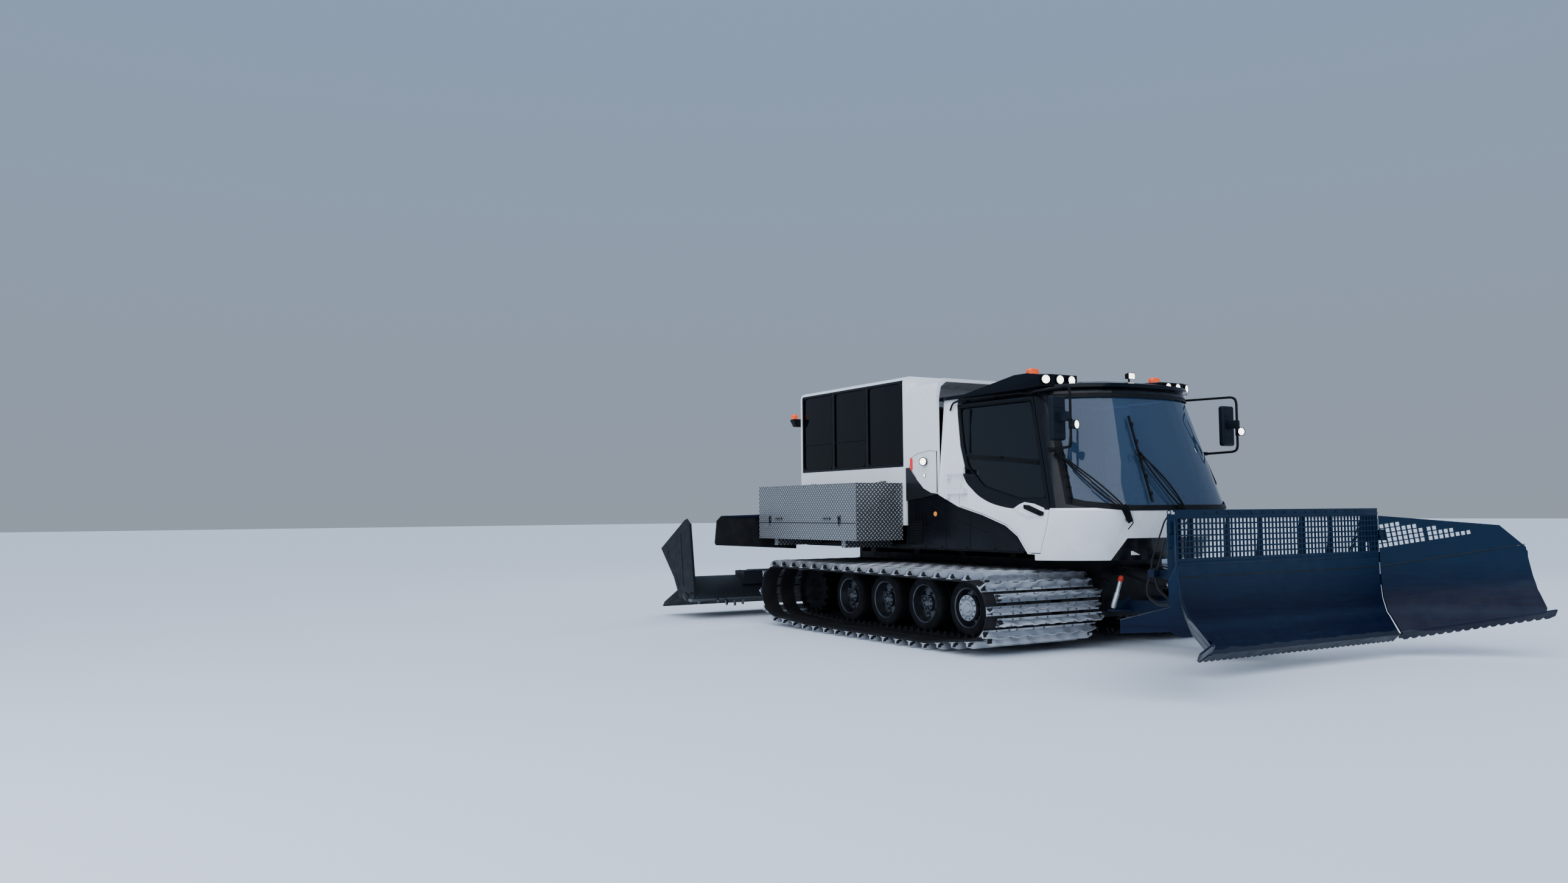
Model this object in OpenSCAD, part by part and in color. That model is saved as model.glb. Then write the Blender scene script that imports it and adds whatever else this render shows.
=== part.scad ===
// Tracked snow groomer with a folding front blade, a passenger cabin and a rear tiller.
// X points forward, Y to the left and Z up. Z is 0 on the ground, under the track shoes.

/* [Tracks] */
// Width over both tracks
track_over = 4170; // [4000:5:4300]
// Width of one track
track_w = 1550; // [1400:5:1600]
// Radius of the road wheels
wheel_r = 310; // [290:1:312]
// Distance from one road wheel to the next
wheel_pitch = 747; // [700:1:760]
// Place of the foremost road wheel along the vehicle
wheel_front_x = 760; // [740:1:790]
// Width of a road wheel's tyre
tyre_w = 240; // [180:5:260]
// Outer face of the road wheels, from the middle of the vehicle
wheel_out_y = 1480; // [1460:1:1490]
// Radius of the front idler
idler_r = 280; // [260:1:290]
// Place of the idler's axle along the vehicle
idler_x = 1466; // [1440:1:1500]
// Height of the idler's axle
idler_z = 450; // [440:1:460]
// Radius of the rear drive wheel
drive_r = 300; // [290:1:310]
// Place of the drive axle along the vehicle
drive_x = -2300; // [-2350:1:-2250]
// Height of the drive axle
drive_z = 440; // [430:1:450]
// Thickness of the rubber belts
belt_t = 18; // [14:1:24]
// Height of a track shoe above the belt
shoe_h = 75; // [60:1:85]
// Width of a track shoe's foot along the belt
shoe_foot = 70; // [60:1:80]
// Number of shoes on one track
shoe_count = 40; // [34:1:44]

/* [Chassis] */
// Gap between the tub and a track
tub_gap = 75; // [60:5:110]
// Underside of the tub
tub_z = 330; // [300:5:380]
// Top of the deck that carries the bodywork
deck_z = 1050; // [1030:1:1060]
// Thickness of the deck
deck_t = 60; // [40:1:80]
// Front end of the tub
tub_front_x = 1640; // [1600:5:1660]
// Rear end of the tub
tub_rear_x = -2660; // [-2700:5:-2600]

/* [Cab] */
// Thickness of the cab's walls and doors
cab_wall = 55; // [40:1:70]
// Underside of the cab
cab_base_z = 925; // [900:5:940]
// Level of the cab's waist, where it is widest
cab_waist_z = 1430; // [1400:5:1460]
// Top of the cab under the roof
cab_top_z = 2700; // [2660:5:2740]
// Rear wall of the cab along the vehicle
cab_rear_x = -30; // [-60:5:0]
// Half width of the cab at the waist
cab_half = 1235; // [1200:1:1245]
// Foremost point of the cab
cab_nose_x = 2430; // [2380:5:2460]
// Gap all round a door
door_gap = 9; // [8:0.5:11]
// Thickness of the glass
glass_t = 8; // [5:1:12]
// Height of the roof above the cab
roof_h = 130; // [100:5:160]

/* [Passenger cabin] */
// Front wall of the passenger cabin
pass_front_x = -640; // [-680:5:-600]
// Rear wall of the passenger cabin
pass_rear_x = -3005; // [-3050:5:-2950]
// Half width of the passenger cabin
pass_half = 1220; // [1180:1:1225]
// Underside of the passenger cabin
pass_base_z = 1270; // [1240:5:1300]
// Top of the passenger cabin
pass_top_z = 3050; // [2980:5:3080]
// Thickness of its walls
pass_wall = 45; // [30:1:60]
// Lower edge of its windows
pass_sill_z = 1995; // [1950:5:2050]
// Upper edge of its windows
pass_head_z = 2985; // [2900:5:2990]
// Radius of its upper edges
pass_round = 70; // [40:5:110]

/* [Side boxes] */
// Length of a side box
box_l = 2275; // [2200:5:2300]
// Rear end of a side box
box_rear_x = -2970; // [-3000:5:-2950]
// Outer face of a side box, from the middle
box_out_y = 1905; // [1850:5:1950]
// Inner face of a side box, from the middle
box_in_y = 1232; // [1230:1:1260]
// Underside of a side box
box_base_z = 1097; // [1080:1:1120]
// Top of a side box
box_top_z = 1774; // [1740:1:1800]
// Height of the lid's seam on the outer face
box_seam_z = 1300; // [1250:5:1350]
// Thickness of its sheet
box_wall = 12; // [8:1:16]

/* [Front lift] */
// Place of the lift frame's lower pivot
lift_x = 1770; // [1760:1:1790]
// Height of that pivot
lift_z = 440; // [420:5:460]
// Distance of a lift arm from the middle
arm_y = 330; // [300:5:360]
// Width of a lift arm
arm_w = 110; // [90:5:130]
// Radius of the pivot pins
pin_r = 30; // [24:1:36]
// Place of the upright swivel pin
swivel_x = 3160; // [3120:5:3180]
// Place of the lift cylinder's upper pivot
lift_cyl_x = 1775; // [1760:1:1800]
// Height of the lift cylinder's upper pivot
lift_cyl_z = 800; // [780:5:810]
// Distance of a lift cylinder from the middle
lift_cyl_y = 200; // [170:5:215]
// Radius of the lift cylinder's barrel
barrel_r = 50; // [40:1:56]
// Radius of the lift cylinder's rod
rod_r = 26; // [20:1:32]
// Place of the rod's eye on the lift frame
lift_eye_x = 2700; // [2650:5:2750]
// Height of the rod's eye
lift_eye_z = 600; // [580:5:620]

// Radius of the pin at a cylinder's rod eye
eye_pin_r = 16; // [12:1:18]

/* [Blade] */
// Front face of the blade's upright plate
blade_x = 3540; // [3520:5:3560]
// Half width of the middle section
blade_half = 1486; // [1440:1:1500]
// Top of the middle section
blade_top_z = 1430; // [1400:5:1460]
// Height where the upright plate meets the curved one
blade_fold_z = 850; // [830:5:870]
// Reach of the cutting edge in front of the upright plate
blade_reach = 255; // [220:5:280]
// Drop from the fold to the cutting edge's front
blade_drop = 637; // [600:1:650]
// Thickness of the blade's plates
blade_t = 14; // [10:1:18]
// Height of the toothed edge
edge_h = 80; // [60:1:85]
// Size of a hole in the grille
hole_w = 37; // [30:1:40]
// Distance from one hole to the next
hole_pitch = 52; // [48:1:52]

/* [Wings] */
// Angle at which a wing is folded forward
wing_fold = 40.4; // [30:0.1:41]
// Length of a wing
wing_l = 1420; // [1350:5:1450]
// Slope of a wing's lower lines
wing_rise = 9.2; // [7:0.1:10]
// Step from the middle section's top down to the wing
wing_step = 75; // [60:1:90]

/* [Rear lift] */
// Place of the rear lift frame's pivot
rear_x = -2800; // [-2820:1:-2780]
// Height of that pivot
rear_z = 560; // [540:5:580]
// Place of the upright swing pin
swing_x = -3330; // [-3360:5:-3300]

/* [Tiller] */
// Half width of the tiller
tiller_half = 2560; // [2500:5:2600]
// Place of the rotor's shaft
rotor_x = -3850; // [-3870:1:-3830]
// Height of the rotor's shaft
rotor_z = 335; // [330:1:350]
// Radius of the rotor's drum
rotor_r = 110; // [90:1:130]
// Radius of the rotor's teeth
tooth_r = 190; // [170:1:200]
// Reach of the finisher behind the rotor
finisher_l = 760; // [700:5:780]

/* [Hidden] */
$fn = 32;

seat_gap = 0.3;
pin_gap = 0.3;
side_gap = 3;
eye_play = 5;
eye_r = 45;
eye_w = 56;
neck_r = 22;
cyl_pin_r = pin_r * 0.8;
cyl_ear_w = 60;
ear_clear = 2 * cyl_pin_r + 12;
far = 4000;

// Track
track_out_y = track_over / 2;
track_in_y = track_out_y - track_w;
tub_half = track_in_y - tub_gap;
belt_in_z = shoe_h + belt_t;
wheel_z = belt_in_z + seat_gap + wheel_r;
wheel_xs = [for (i = [0:3]) wheel_front_x - i * wheel_pitch];
wheel_in_y = wheel_out_y - tyre_w;
belt_gap = 20;
// Belts across one track: inner edge and width
belts = [
  [track_in_y + 10, 230],
  [track_in_y + 310, 230],
  [wheel_in_y - belt_gap, tyre_w + 2 * belt_gap],
  [wheel_out_y + 120, 200],
  [track_out_y - 225, 215]];

function polar(c, r, a) = [c[0] + r * cos(a), c[1] + r * sin(a)];
// Direction of the left-hand tangent from one circle to the next, both on the left of the path
function tangent_turn(a, ra, b, rb) =
  let (d = b - a) atan2(d[1], d[0]) - 90 - asin((rb - ra) / norm(d));
// Circles that the belt runs round, anticlockwise seen from the right side: centre and radius
function loop_circles(add) = [
  [[wheel_xs[3], wheel_z], wheel_r + seat_gap + add],
  [[wheel_xs[0], wheel_z], wheel_r + seat_gap + add],
  [[idler_x, idler_z], idler_r + seat_gap + add],
  [[drive_x, drive_z], drive_r + seat_gap + add]];
arc_steps = 8;
function arc_points(c, r, a0, a1) =
  let (n = max(1, ceil((a1 - a0) / 180 * arc_steps)), step = (a1 - a0) / n)
  [for (i = [0:n - 1]) polar(c, r / cos(step / 2), a0 + (i + 0.5) * step)];
function leave_angle(i, cs) =
  let (a = cs[i], b = cs[(i + 1) % len(cs)]) tangent_turn(a[0], a[1], b[0], b[1]);
function loop_points(add) =
  let (cs = loop_circles(add), n = len(cs))
  [for (i = [0:n - 1])
    let (a_in = leave_angle((i + n - 1) % n, cs), a_out = leave_angle(i, cs),
      turn = (a_out - a_in + 720) % 360)
    each arc_points(cs[i][0], cs[i][1], a_in, a_in + turn)];

// Length along the loop and the point at a length
path = loop_points(belt_t - 1);
path_n = len(path);
function seg_len(i) = norm(path[(i + 1) % path_n] - path[i]);
function len_to(i) = i == 0 ? 0 : len_to(i - 1) + seg_len(i - 1);
starts = [for (i = [0:path_n]) len_to(i)];
path_len = starts[path_n];
function seg_at(s, i = 0) = s < starts[i + 1] || i == path_n - 1 ? i : seg_at(s, i + 1);

module shoe_profile() {
  web = shoe_foot / 8;
  polygon([[-shoe_foot / 2, 0], [shoe_foot / 2, 0], [web, shoe_h / 4], [web * 0.6, shoe_h + 1],
    [-web * 0.6, shoe_h + 1], [-web, shoe_h / 4]]);
}

module shoe(s, y0, w) {
  i = seg_at(s);
  d = path[(i + 1) % path_n] - path[i];
  p = path[i] + d / norm(d) * (s - starts[i]);
  translate([p[0], y0 + w, p[1]]) rotate([90, 180 - atan2(d[1], d[0]), 0])
    linear_extrude(w) mirror([1, 0]) shoe_profile();
}

// One track on the left side
module track() {
  color([0.16, 0.16, 0.17]) {
    for (b = belts) translate([0, b[0] + b[1], 0]) rotate([90, 0, 0])
      linear_extrude(b[1]) difference() {
        polygon(loop_points(belt_t));
        polygon(loop_points(0));
      }
    for (i = [0:shoe_count - 1])
      shoe((i + 0.5) * path_len / shoe_count, track_in_y, track_w);
  }
}
module track_left() track();
module track_right() mirror([0, 1, 0]) track();

module across(x, z, y0, y1, r) {
  translate([x, y1, z]) rotate([90, 0, 0]) cylinder(h = y1 - y0, r = r);
}

hub_r = 90;
axle_r = 45;
rim_inset = 35;
// The road wheels, idler and drive wheel of the left side, each on its axle
module wheels() {
  color([0.12, 0.12, 0.13]) for (x = wheel_xs) {
    difference() {
      across(x, wheel_z, wheel_in_y, wheel_out_y, wheel_r);
      across(x, wheel_z, wheel_out_y - rim_inset, wheel_out_y + 1, wheel_r * 0.62);
    }
    across(x, wheel_z, wheel_out_y - rim_inset, wheel_out_y - 5, hub_r);
    across(x, wheel_z, tub_half + seat_gap, wheel_in_y, axle_r);
  }
  color([0.12, 0.12, 0.13]) {
    across(idler_x, idler_z, wheel_in_y, wheel_out_y, idler_r);
    across(idler_x, idler_z, tub_half + seat_gap, wheel_in_y, axle_r);
    across(drive_x, drive_z, wheel_in_y, wheel_out_y, drive_r);
    across(drive_x, drive_z, tub_half + seat_gap, wheel_in_y, hub_r * 1.6);
  }
}
module wheels_left() wheels();
module wheels_right() mirror([0, 1, 0]) wheels();

module both_sides() {
  children();
  mirror([0, 1, 0]) children();
}

// A box from its low corner to its high corner
module block(low, high) {
  translate(low) cube(high - low);
}

// A side profile in X and Z, between two Y values
module slab(points, y0, y1) {
  translate([0, y1, 0]) rotate([90, 0, 0]) linear_extrude(y1 - y0) polygon(points);
}

// Chassis
ear_t = 30;
ear_gap = 4;
carrier_t = 60;
deck_rear_x = pass_rear_x + 40;
deck_front_x = 1480;
sill_x = 1300;
floor_half = 1100;
deck_half = pass_half - 60;
module pivot_ears(x, z, y, w, r, wall_x) {
  for (s = [-1, 1]) {
    y0 = y + s * (w / 2 + ear_gap + ear_t / 2) - ear_t / 2;
    difference() {
      union() {
        across(x, z, y0, y0 + ear_t, r * 2);
        block([min(x, wall_x), y0, z - r * 2], [max(x, wall_x), y0 + ear_t, z + r * 2]);
      }
      across(x, z, y0 - 1, y0 + ear_t + 1, r);
    }
  }
}
module pivot_pin(x, z, y, w, r) {
  across(x, z, y - w / 2 - ear_gap - ear_t, y + w / 2 + ear_gap + ear_t, r);
}

lash_x = tub_front_x + carrier_t + 45;
lash_z = 680;
lash_t = 30;
lash_r = 22;
module frame() {
  color([0.1, 0.1, 0.11]) {
    slab([[tub_rear_x, tub_z + 200], [tub_rear_x + 260, tub_z], [tub_front_x - 220, tub_z],
      [tub_front_x, tub_z + 40], [tub_front_x, cab_base_z - 25], [tub_rear_x, cab_base_z - 25]],
      -tub_half, tub_half);
    block([deck_rear_x, -deck_half, deck_z - deck_t], [sill_x, deck_half, deck_z]);
    block([sill_x - 1, -floor_half, deck_z - deck_t], [deck_front_x, floor_half, deck_z]);
    for (x = [-2450, -1500, -600, 300, 1150])
      block([x, -tub_half, cab_base_z - 26], [x + 110, tub_half, deck_z - deck_t]);
    for (x = [-2700, -1700])
      block([x, -deck_half, deck_z - 1], [x + 90, deck_half, pass_base_z]);
    block([pass_front_x - 80, -deck_half, deck_z - 1], [pass_front_x - 20, deck_half, pass_base_z]);
    block([tub_front_x - 1, -tub_half, lift_z - 120],
      [tub_front_x + carrier_t, tub_half, cab_base_z - 10]);
    block([tub_rear_x - carrier_t, -tub_half, rear_z - 100], [tub_rear_x + 1, tub_half, deck_z - 1]);
    both_sides() difference() {
      union() {
        block([tub_front_x, tub_half - lash_t, lash_z - 40], [lash_x, tub_half, lash_z + 40]);
        across(lash_x, lash_z, tub_half - lash_t, tub_half, 40);
      }
      across(lash_x, lash_z, 0, tub_half + 1, lash_r);
    }
    both_sides() {
      pivot_ears(lift_x, lift_z, arm_y, arm_w, pin_r, tub_front_x);
      pivot_pin(lift_x, lift_z, arm_y, arm_w, pin_r);
      pivot_ears(lift_cyl_x, lift_cyl_z, lift_cyl_y, cyl_ear_w, cyl_pin_r, tub_front_x);
      pivot_pin(lift_cyl_x, lift_cyl_z, lift_cyl_y, cyl_ear_w, cyl_pin_r);
      pivot_ears(rear_x, rear_z, arm_y, arm_w, pin_r, tub_rear_x);
      pivot_pin(rear_x, rear_z, arm_y, arm_w, pin_r);
      pivot_ears(rear_cyl_x, rear_cyl_z, lift_cyl_y, cyl_ear_w, cyl_pin_r, tub_rear_x);
      pivot_pin(rear_cyl_x, rear_cyl_z, lift_cyl_y, cyl_ear_w, cyl_pin_r);
    }
  }
}

// Engine
engine_half = 600;
engine_top_z = 1850;
module engine_block() {
  color([0.3, 0.3, 0.32])
    block([pass_front_x + 40, -engine_half, deck_z + seat_gap],
      [cab_rear_x - 50, engine_half, engine_top_z]);
}

// Swoosh line between the white cab and the black lower panels: x and z
swoosh = [[-632, 1560], [-39, 1626], [320, 1486], [725, 1390], [1083, 1277], [1260, 1165],
  [1340, 1060], [1400, 985], [1563, 960]];
side_t = 45;
panel_gap = 3;
side_front_x = 1500;
// Area under the swoosh line back from the front edge of the side panel
function under_swoosh(down, front_x) = concat([[front_x, cab_base_z - 20], [-700, cab_base_z - 20],
  [-700, swoosh[0][1] - down]], [for (p = swoosh) if (p[0] < side_front_x) [p[0], p[1] - down]],
  [[front_x, swoosh[7][1] - down]]);
module engine_housing() {
  color([0.03, 0.03, 0.035]) both_sides() difference() {
    slab(under_swoosh(panel_gap, side_front_x - panel_gap), deck_half + seat_gap,
      deck_half + seat_gap + side_t);
    block([-far, 0, 0], [swoosh[0][0], far, far]);
    block([-far, 0, 0], [far, far, deck_z - 40]);
    for (i = [0:3]) slab([[-500 + i * 60, 1420], [-480 + i * 60, 1420], [-430 + i * 60, 1260],
      [-450 + i * 60, 1260]], deck_half - 1, cab_half);
  }
}

// Cab outline by level: height, rear half width, pillar x, pillar half width,
// control x and half width of the corner, nose x
cab_levels = [
  [cab_base_z, cab_half - 35, 1560, cab_half - 45, cab_nose_x - 240, 840, cab_nose_x - 290],
  [cab_waist_z, cab_half, 1828, cab_half - 35, cab_nose_x + 90, 840, cab_nose_x],
  [cab_top_z, cab_half - 125, 1400, cab_half - 225, cab_nose_x - 380, 780, cab_nose_x - 425]];
corner_steps = 8;
function bezier(a, b, c, t) = a * (1 - t) * (1 - t) + 2 * b * t * (1 - t) + c * t * t;
function cab_side(v, inset) = concat([[cab_rear_x + inset, v[1] - inset]],
  [for (i = [0:corner_steps]) bezier([v[2] - inset / 2, v[3] - inset],
    [v[4] - inset, v[5] - inset], [v[6] - inset, 0], i / corner_steps)]);
function cab_plan(v, inset) =
  let (s = cab_side(v, inset), n = len(s))
  concat(s, [for (i = [n - 2:-1:0]) [s[i][0], -s[i][1]]]);
module cab_volume(inset) {
  hull() for (i = [0:2]) {
    v = cab_levels[i];
    lift = i == 0 ? inset : i == 2 ? -inset - 1 : 0;
    translate([0, 0, v[0] + lift]) linear_extrude(1) polygon(cab_plan(v, inset));
  }
}
module cab_skin(outer, inner) {
  difference() {
    cab_volume(outer);
    cab_volume(inner);
  }
}

// Door outline in X and Z, and its window
door_top_z = 2650;
door_foot_z = cab_base_z + cab_wall + 12;
door_relief = 11;
door_points = concat([[1745, 1484], [1345, door_top_z], [190, door_top_z], [296, 2159],
  [391, 1930], [330, 1640]],
  [for (i = [2:8]) [swoosh[i][0] + 20, max(swoosh[i][1] + 4, door_foot_z)]], [[1700, 1300]]);
window_points = [[1670, 1560], [1315, 2600], [245, 2600], [345, 2170], [440, 1930],
  [718, 1700], [1278, 1560]];
module door_area(inset) {
  offset(delta = -inset) polygon(door_points);
}
module window_area(inset) {
  offset(delta = -inset) polygon(window_points);
}
// A flat shape in X and Z, pushed through the right side
module through_right() {
  translate([0, -500, 0]) rotate([90, 0, 0]) linear_extrude(1500) children();
}
windscreen_points = [[1900, 1500], [1490, 2640], [2700, 2640], [2700, 1425], [2330, 1425]];
module through_cab() {
  rotate([90, 0, 0]) linear_extrude(2 * far, center = true) children();
}
rear_window = [[-700, 1900], [700, 2500]];

hinge_x = 180;
hinge_y = cab_half + 30;
door_hinge_zs = [1575, 1795];
knuckle_r = 16;
knuckle_h = 50;
strap_x = 480;

module cab_shell() {
  color([0.93, 0.93, 0.93]) {
    difference() {
      cab_skin(0, cab_wall);
      both_sides() through_right() door_area(0);
      through_cab() polygon(windscreen_points);
      block([cab_rear_x - 10, rear_window[0][0], rear_window[0][1]],
        [cab_rear_x + 100, rear_window[1][0], rear_window[1][1]]);
      both_sides() slab(under_swoosh(0, side_front_x), deck_half - cab_wall, cab_half + 1);
      block([-200, -deck_half, cab_base_z - 20], [deck_front_x + 10, deck_half, deck_z]);
    }
    both_sides() for (z = door_hinge_zs) difference() {
      union() {
        translate([hinge_x, -hinge_y, z]) cylinder(h = knuckle_h, r = knuckle_r);
        block([hinge_x - 40, -hinge_y - 6, z], [hinge_x, -cab_half + 60, z + knuckle_h]);
      }
      translate([hinge_x, -hinge_y, z - 1]) cylinder(h = knuckle_h + 2, r = 8);
    }
  }
}

module door() {
  color([0.9, 0.9, 0.9]) {
    difference() {
      intersection() {
        cab_skin(0, cab_wall);
        through_right() door_area(door_gap);
      }
      through_right() window_area(0);
      intersection() {
        cab_volume(20);
        through_right() difference() {
          door_area(0);
          translate([-door_relief, 0]) door_area(door_gap);
        }
      }
      block([1380, -1300, 1395], [1560, -cab_half + 12, 1440]);
    }
    for (z = door_hinge_zs) {
      translate([hinge_x, -hinge_y, z + knuckle_h + side_gap]) cylinder(h = knuckle_h, r = knuckle_r);
      translate([hinge_x, -hinge_y, z - 5]) cylinder(h = knuckle_h + 20, r = 8 - pin_gap);
      block([hinge_x, -hinge_y - 8, z + knuckle_h + side_gap],
        [strap_x, -hinge_y + 8, z + 2 * knuckle_h + side_gap]);
      block([strap_x - 60, -hinge_y - 8, z + knuckle_h + side_gap],
        [strap_x, -cab_half + 60, z + 2 * knuckle_h + side_gap]);
    }
  }
}
module door_right() door();
module door_left() mirror([0, 1, 0]) door();

module door_glass() {
  color([0.1, 0.13, 0.16, 0.5]) intersection() {
    cab_skin(18, 18 + glass_t);
    through_right() window_area(seat_gap);
  }
}
module door_glass_right() door_glass();
module door_glass_left() mirror([0, 1, 0]) door_glass();

module windscreen() {
  color([0.1, 0.15, 0.2, 0.5]) intersection() {
    cab_skin(10, 10 + glass_t);
    through_cab() offset(delta = -seat_gap) polygon(windscreen_points);
  }
}
module glazing() {
  color([0.1, 0.15, 0.2, 0.5]) {
    block([cab_rear_x + 20, rear_window[0][0] + seat_gap, rear_window[0][1] + seat_gap],
      [cab_rear_x + 20 + glass_t, rear_window[1][0] - seat_gap, rear_window[1][1] - seat_gap]);
    both_sides() for (p = pass_panes)
      block([p[0] + seat_gap, -pass_half + 15, pass_sill_z + seat_gap],
        [p[1] - seat_gap, -pass_half + 15 + glass_t, pass_head_z - seat_gap]);
    block([pass_front_x - 15 - glass_t, -900 + seat_gap, 2000 + seat_gap],
      [pass_front_x - 15, 900 - seat_gap, 2700 - seat_gap]);
  }
}
module passenger_door_glass() {
  color([0.1, 0.15, 0.2, 0.5])
    block([pass_rear_x + 15, pass_light[0][0] + seat_gap, pass_light[0][1] + seat_gap],
      [pass_rear_x + 15 + glass_t, pass_light[1][0] - seat_gap, pass_light[1][1] - seat_gap]);
}

// Roof lamps on the left side: x, y and the turn outward
lamp_z = 2790;
lamp_r = 50;
roof_lamps = [[1585, 735, 4], [1580, 892, 8], [1555, 1059, 20]];
pod_x0 = 330;
pod_x1 = 1600;
module at_lamp(l) {
  translate([l[0], l[1], lamp_z]) rotate([0, 90, l[2]]) children();
}
module cab_roof() {
  color([0.04, 0.05, 0.08]) difference() {
    union() {
      hull() {
        translate([0, 0, cab_top_z]) linear_extrude(1) polygon(cab_plan(cab_levels[2], -45));
        translate([0, 0, cab_top_z + roof_h * 0.3]) linear_extrude(1)
          polygon(cab_plan(cab_levels[2], -35));
        translate([0, 0, cab_top_z + roof_h * 0.7]) linear_extrude(1)
          polygon(cab_plan(cab_levels[2], 260));
      }
      both_sides() hull() {
        block([pod_x0, 900, cab_top_z + 10], [pod_x0 + 20, 1130, cab_top_z + 40]);
        block([1150, 760, cab_top_z + 20], [1350, 1110, cab_top_z + 175]);
        block([1150, 780, cab_top_z + 10], [1350, 1140, cab_top_z + 60]);
        block([pod_x1 - 30, 640, cab_top_z + 20], [pod_x1, 1000, cab_top_z + 145]);
        block([pod_x1 - 60, 640, cab_top_z + 20], [pod_x1 - 50, 1125, cab_top_z + 140]);
      }
    }
    both_sides() for (l = roof_lamps) at_lamp(l) cylinder(h = 200, r = lamp_r + seat_gap);
  }
}

// Cab interior
module seat(x, y, z, w) {
  block([x - 260, y - w / 2, z], [x + 260, y + w / 2, z + 130]);
  slab([[x - 270, z + 60], [x - 160, z + 60], [x - 260, z + 760], [x - 370, z + 760]],
    y - w / 2, y + w / 2);
  block([x - 150, y - w / 5, cab_floor_z], [x + 150, y + w / 5, z]);
}
cab_floor_z = deck_z + 90;
module cab_seats() {
  color([0.07, 0.07, 0.08]) {
    block([150, -floor_half, deck_z + seat_gap], [deck_front_x, floor_half, cab_floor_z]);
    seat(1150, 0, 1500, 520);
    seat(1050, -780, 1480, 440);
    seat(1050, 780, 1480, 440);
  }
}
module dashboard() {
  color([0.1, 0.1, 0.1]) {
    z = cab_base_z + cab_wall + seat_gap;
    slab([[1600, z], [1940, z], [2170, 1330], [2120, 1400], [1950, 1440], [1800, 1180],
      [1600, 1120]], -600, 600);
  }
}

// Fairing between the cab and the passenger cabin
fair_gap = 8;
module fairing() {
  x0 = pass_front_x + seat_gap;
  x1 = cab_rear_x - fair_gap;
  color([0.92, 0.92, 0.92]) difference() {
    along(x0, x1) fair_section(0);
    along(x0 - 1, x1 + 1) fair_section(40);
    both_sides() slab(under_swoosh(-seat_gap, side_front_x), 0, far);
    block([-far, -far, 0], [far, far, swoosh[0][1]]);
  }
}
module fair_section(inset) {
  y = pass_half - inset;
  z1 = 2970 - inset;
  polygon([[-y, 1500], [y, 1500], [y, z1 - 190], [y - 30, z1 - 60], [y - 110, z1],
    [-y + 110, z1], [-y + 30, z1 - 60], [-y, z1 - 190]]);
}

// Passenger cabin
mullion = 45;
pane_margin = 60;
pane_count = 3;
pane_step = (pass_front_x - pass_rear_x - 2 * pane_margin + mullion) / pane_count;
pass_panes = [for (i = [0:pane_count - 1])
  let (x = pass_rear_x + pane_margin + i * pane_step) [x, x + pane_step - mullion]];
pass_door = [[-380, pass_base_z + 60], [380, 2900]];
pass_light = [[-260, 2000], [260, 2800]];
module pass_section(inset) {
  y = pass_half - inset;
  z0 = pass_base_z + inset;
  z1 = pass_top_z - inset;
  r = pass_round;
  polygon([[-y, z0], [y, z0], [y, z1 - r], [y - r * 0.3, z1 - r * 0.3], [y - r, z1],
    [-y + r, z1], [-y + r * 0.3, z1 - r * 0.3], [-y, z1 - r]]);
}
module along(x0, x1) {
  translate([x0, 0, 0]) rotate([90, 0, 90]) linear_extrude(x1 - x0) children();
}
module passenger_cabin() {
  color([0.93, 0.93, 0.93]) {
    difference() {
      along(pass_rear_x, pass_front_x) pass_section(0);
      along(pass_rear_x + pass_wall, pass_front_x - pass_wall) pass_section(pass_wall);
      both_sides() for (p = pass_panes)
        block([p[0], -pass_half - 10, pass_sill_z], [p[1], -pass_half + 100, pass_head_z]);
      block([pass_front_x - 100, -900, 2000], [pass_front_x + 10, 900, 2700]);
      block([pass_rear_x - 10, pass_door[0][0], pass_door[0][1]],
        [pass_rear_x + 100, pass_door[1][0], pass_door[1][1]]);
    }
    for (z = pass_hinge_zs) difference() {
      union() {
        translate([pass_hinge_x, pass_hinge_y, z]) cylinder(h = knuckle_h, r = knuckle_r);
        block([pass_hinge_x, pass_hinge_y, z], [pass_rear_x + 1, pass_hinge_y + 40, z + knuckle_h]);
      }
      translate([pass_hinge_x, pass_hinge_y, z - 1]) cylinder(h = knuckle_h + 2, r = 8);
    }
  }
}
pass_hinge_x = pass_rear_x - 20;
pass_hinge_y = pass_door[1][0] + 20;
pass_hinge_zs = [1600, 2500];
module passenger_door() {
  color([0.93, 0.93, 0.93]) {
    difference() {
      block([pass_rear_x, pass_door[0][0] + door_gap, pass_door[0][1] + door_gap],
        [pass_rear_x + pass_wall, pass_door[1][0] - door_gap, pass_door[1][1] - door_gap]);
      block([pass_rear_x - 10, pass_light[0][0], pass_light[0][1]],
        [pass_rear_x + 100, pass_light[1][0], pass_light[1][1]]);
    }
    for (z = pass_hinge_zs) {
      translate([pass_hinge_x, pass_hinge_y, z + knuckle_h + side_gap])
        cylinder(h = knuckle_h, r = knuckle_r);
      translate([pass_hinge_x, pass_hinge_y, z - 5])
        cylinder(h = knuckle_h + 20, r = 8 - pin_gap);
      block([pass_hinge_x - 8, pass_door[1][0] - 120, z + knuckle_h + side_gap],
        [pass_hinge_x + 12, pass_hinge_y, z + 2 * knuckle_h + side_gap]);
      block([pass_hinge_x, pass_door[1][0] - 120, z + knuckle_h + side_gap],
        [pass_rear_x + 1, pass_door[1][0] - 80, z + 2 * knuckle_h + side_gap]);
    }
  }
}
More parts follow.
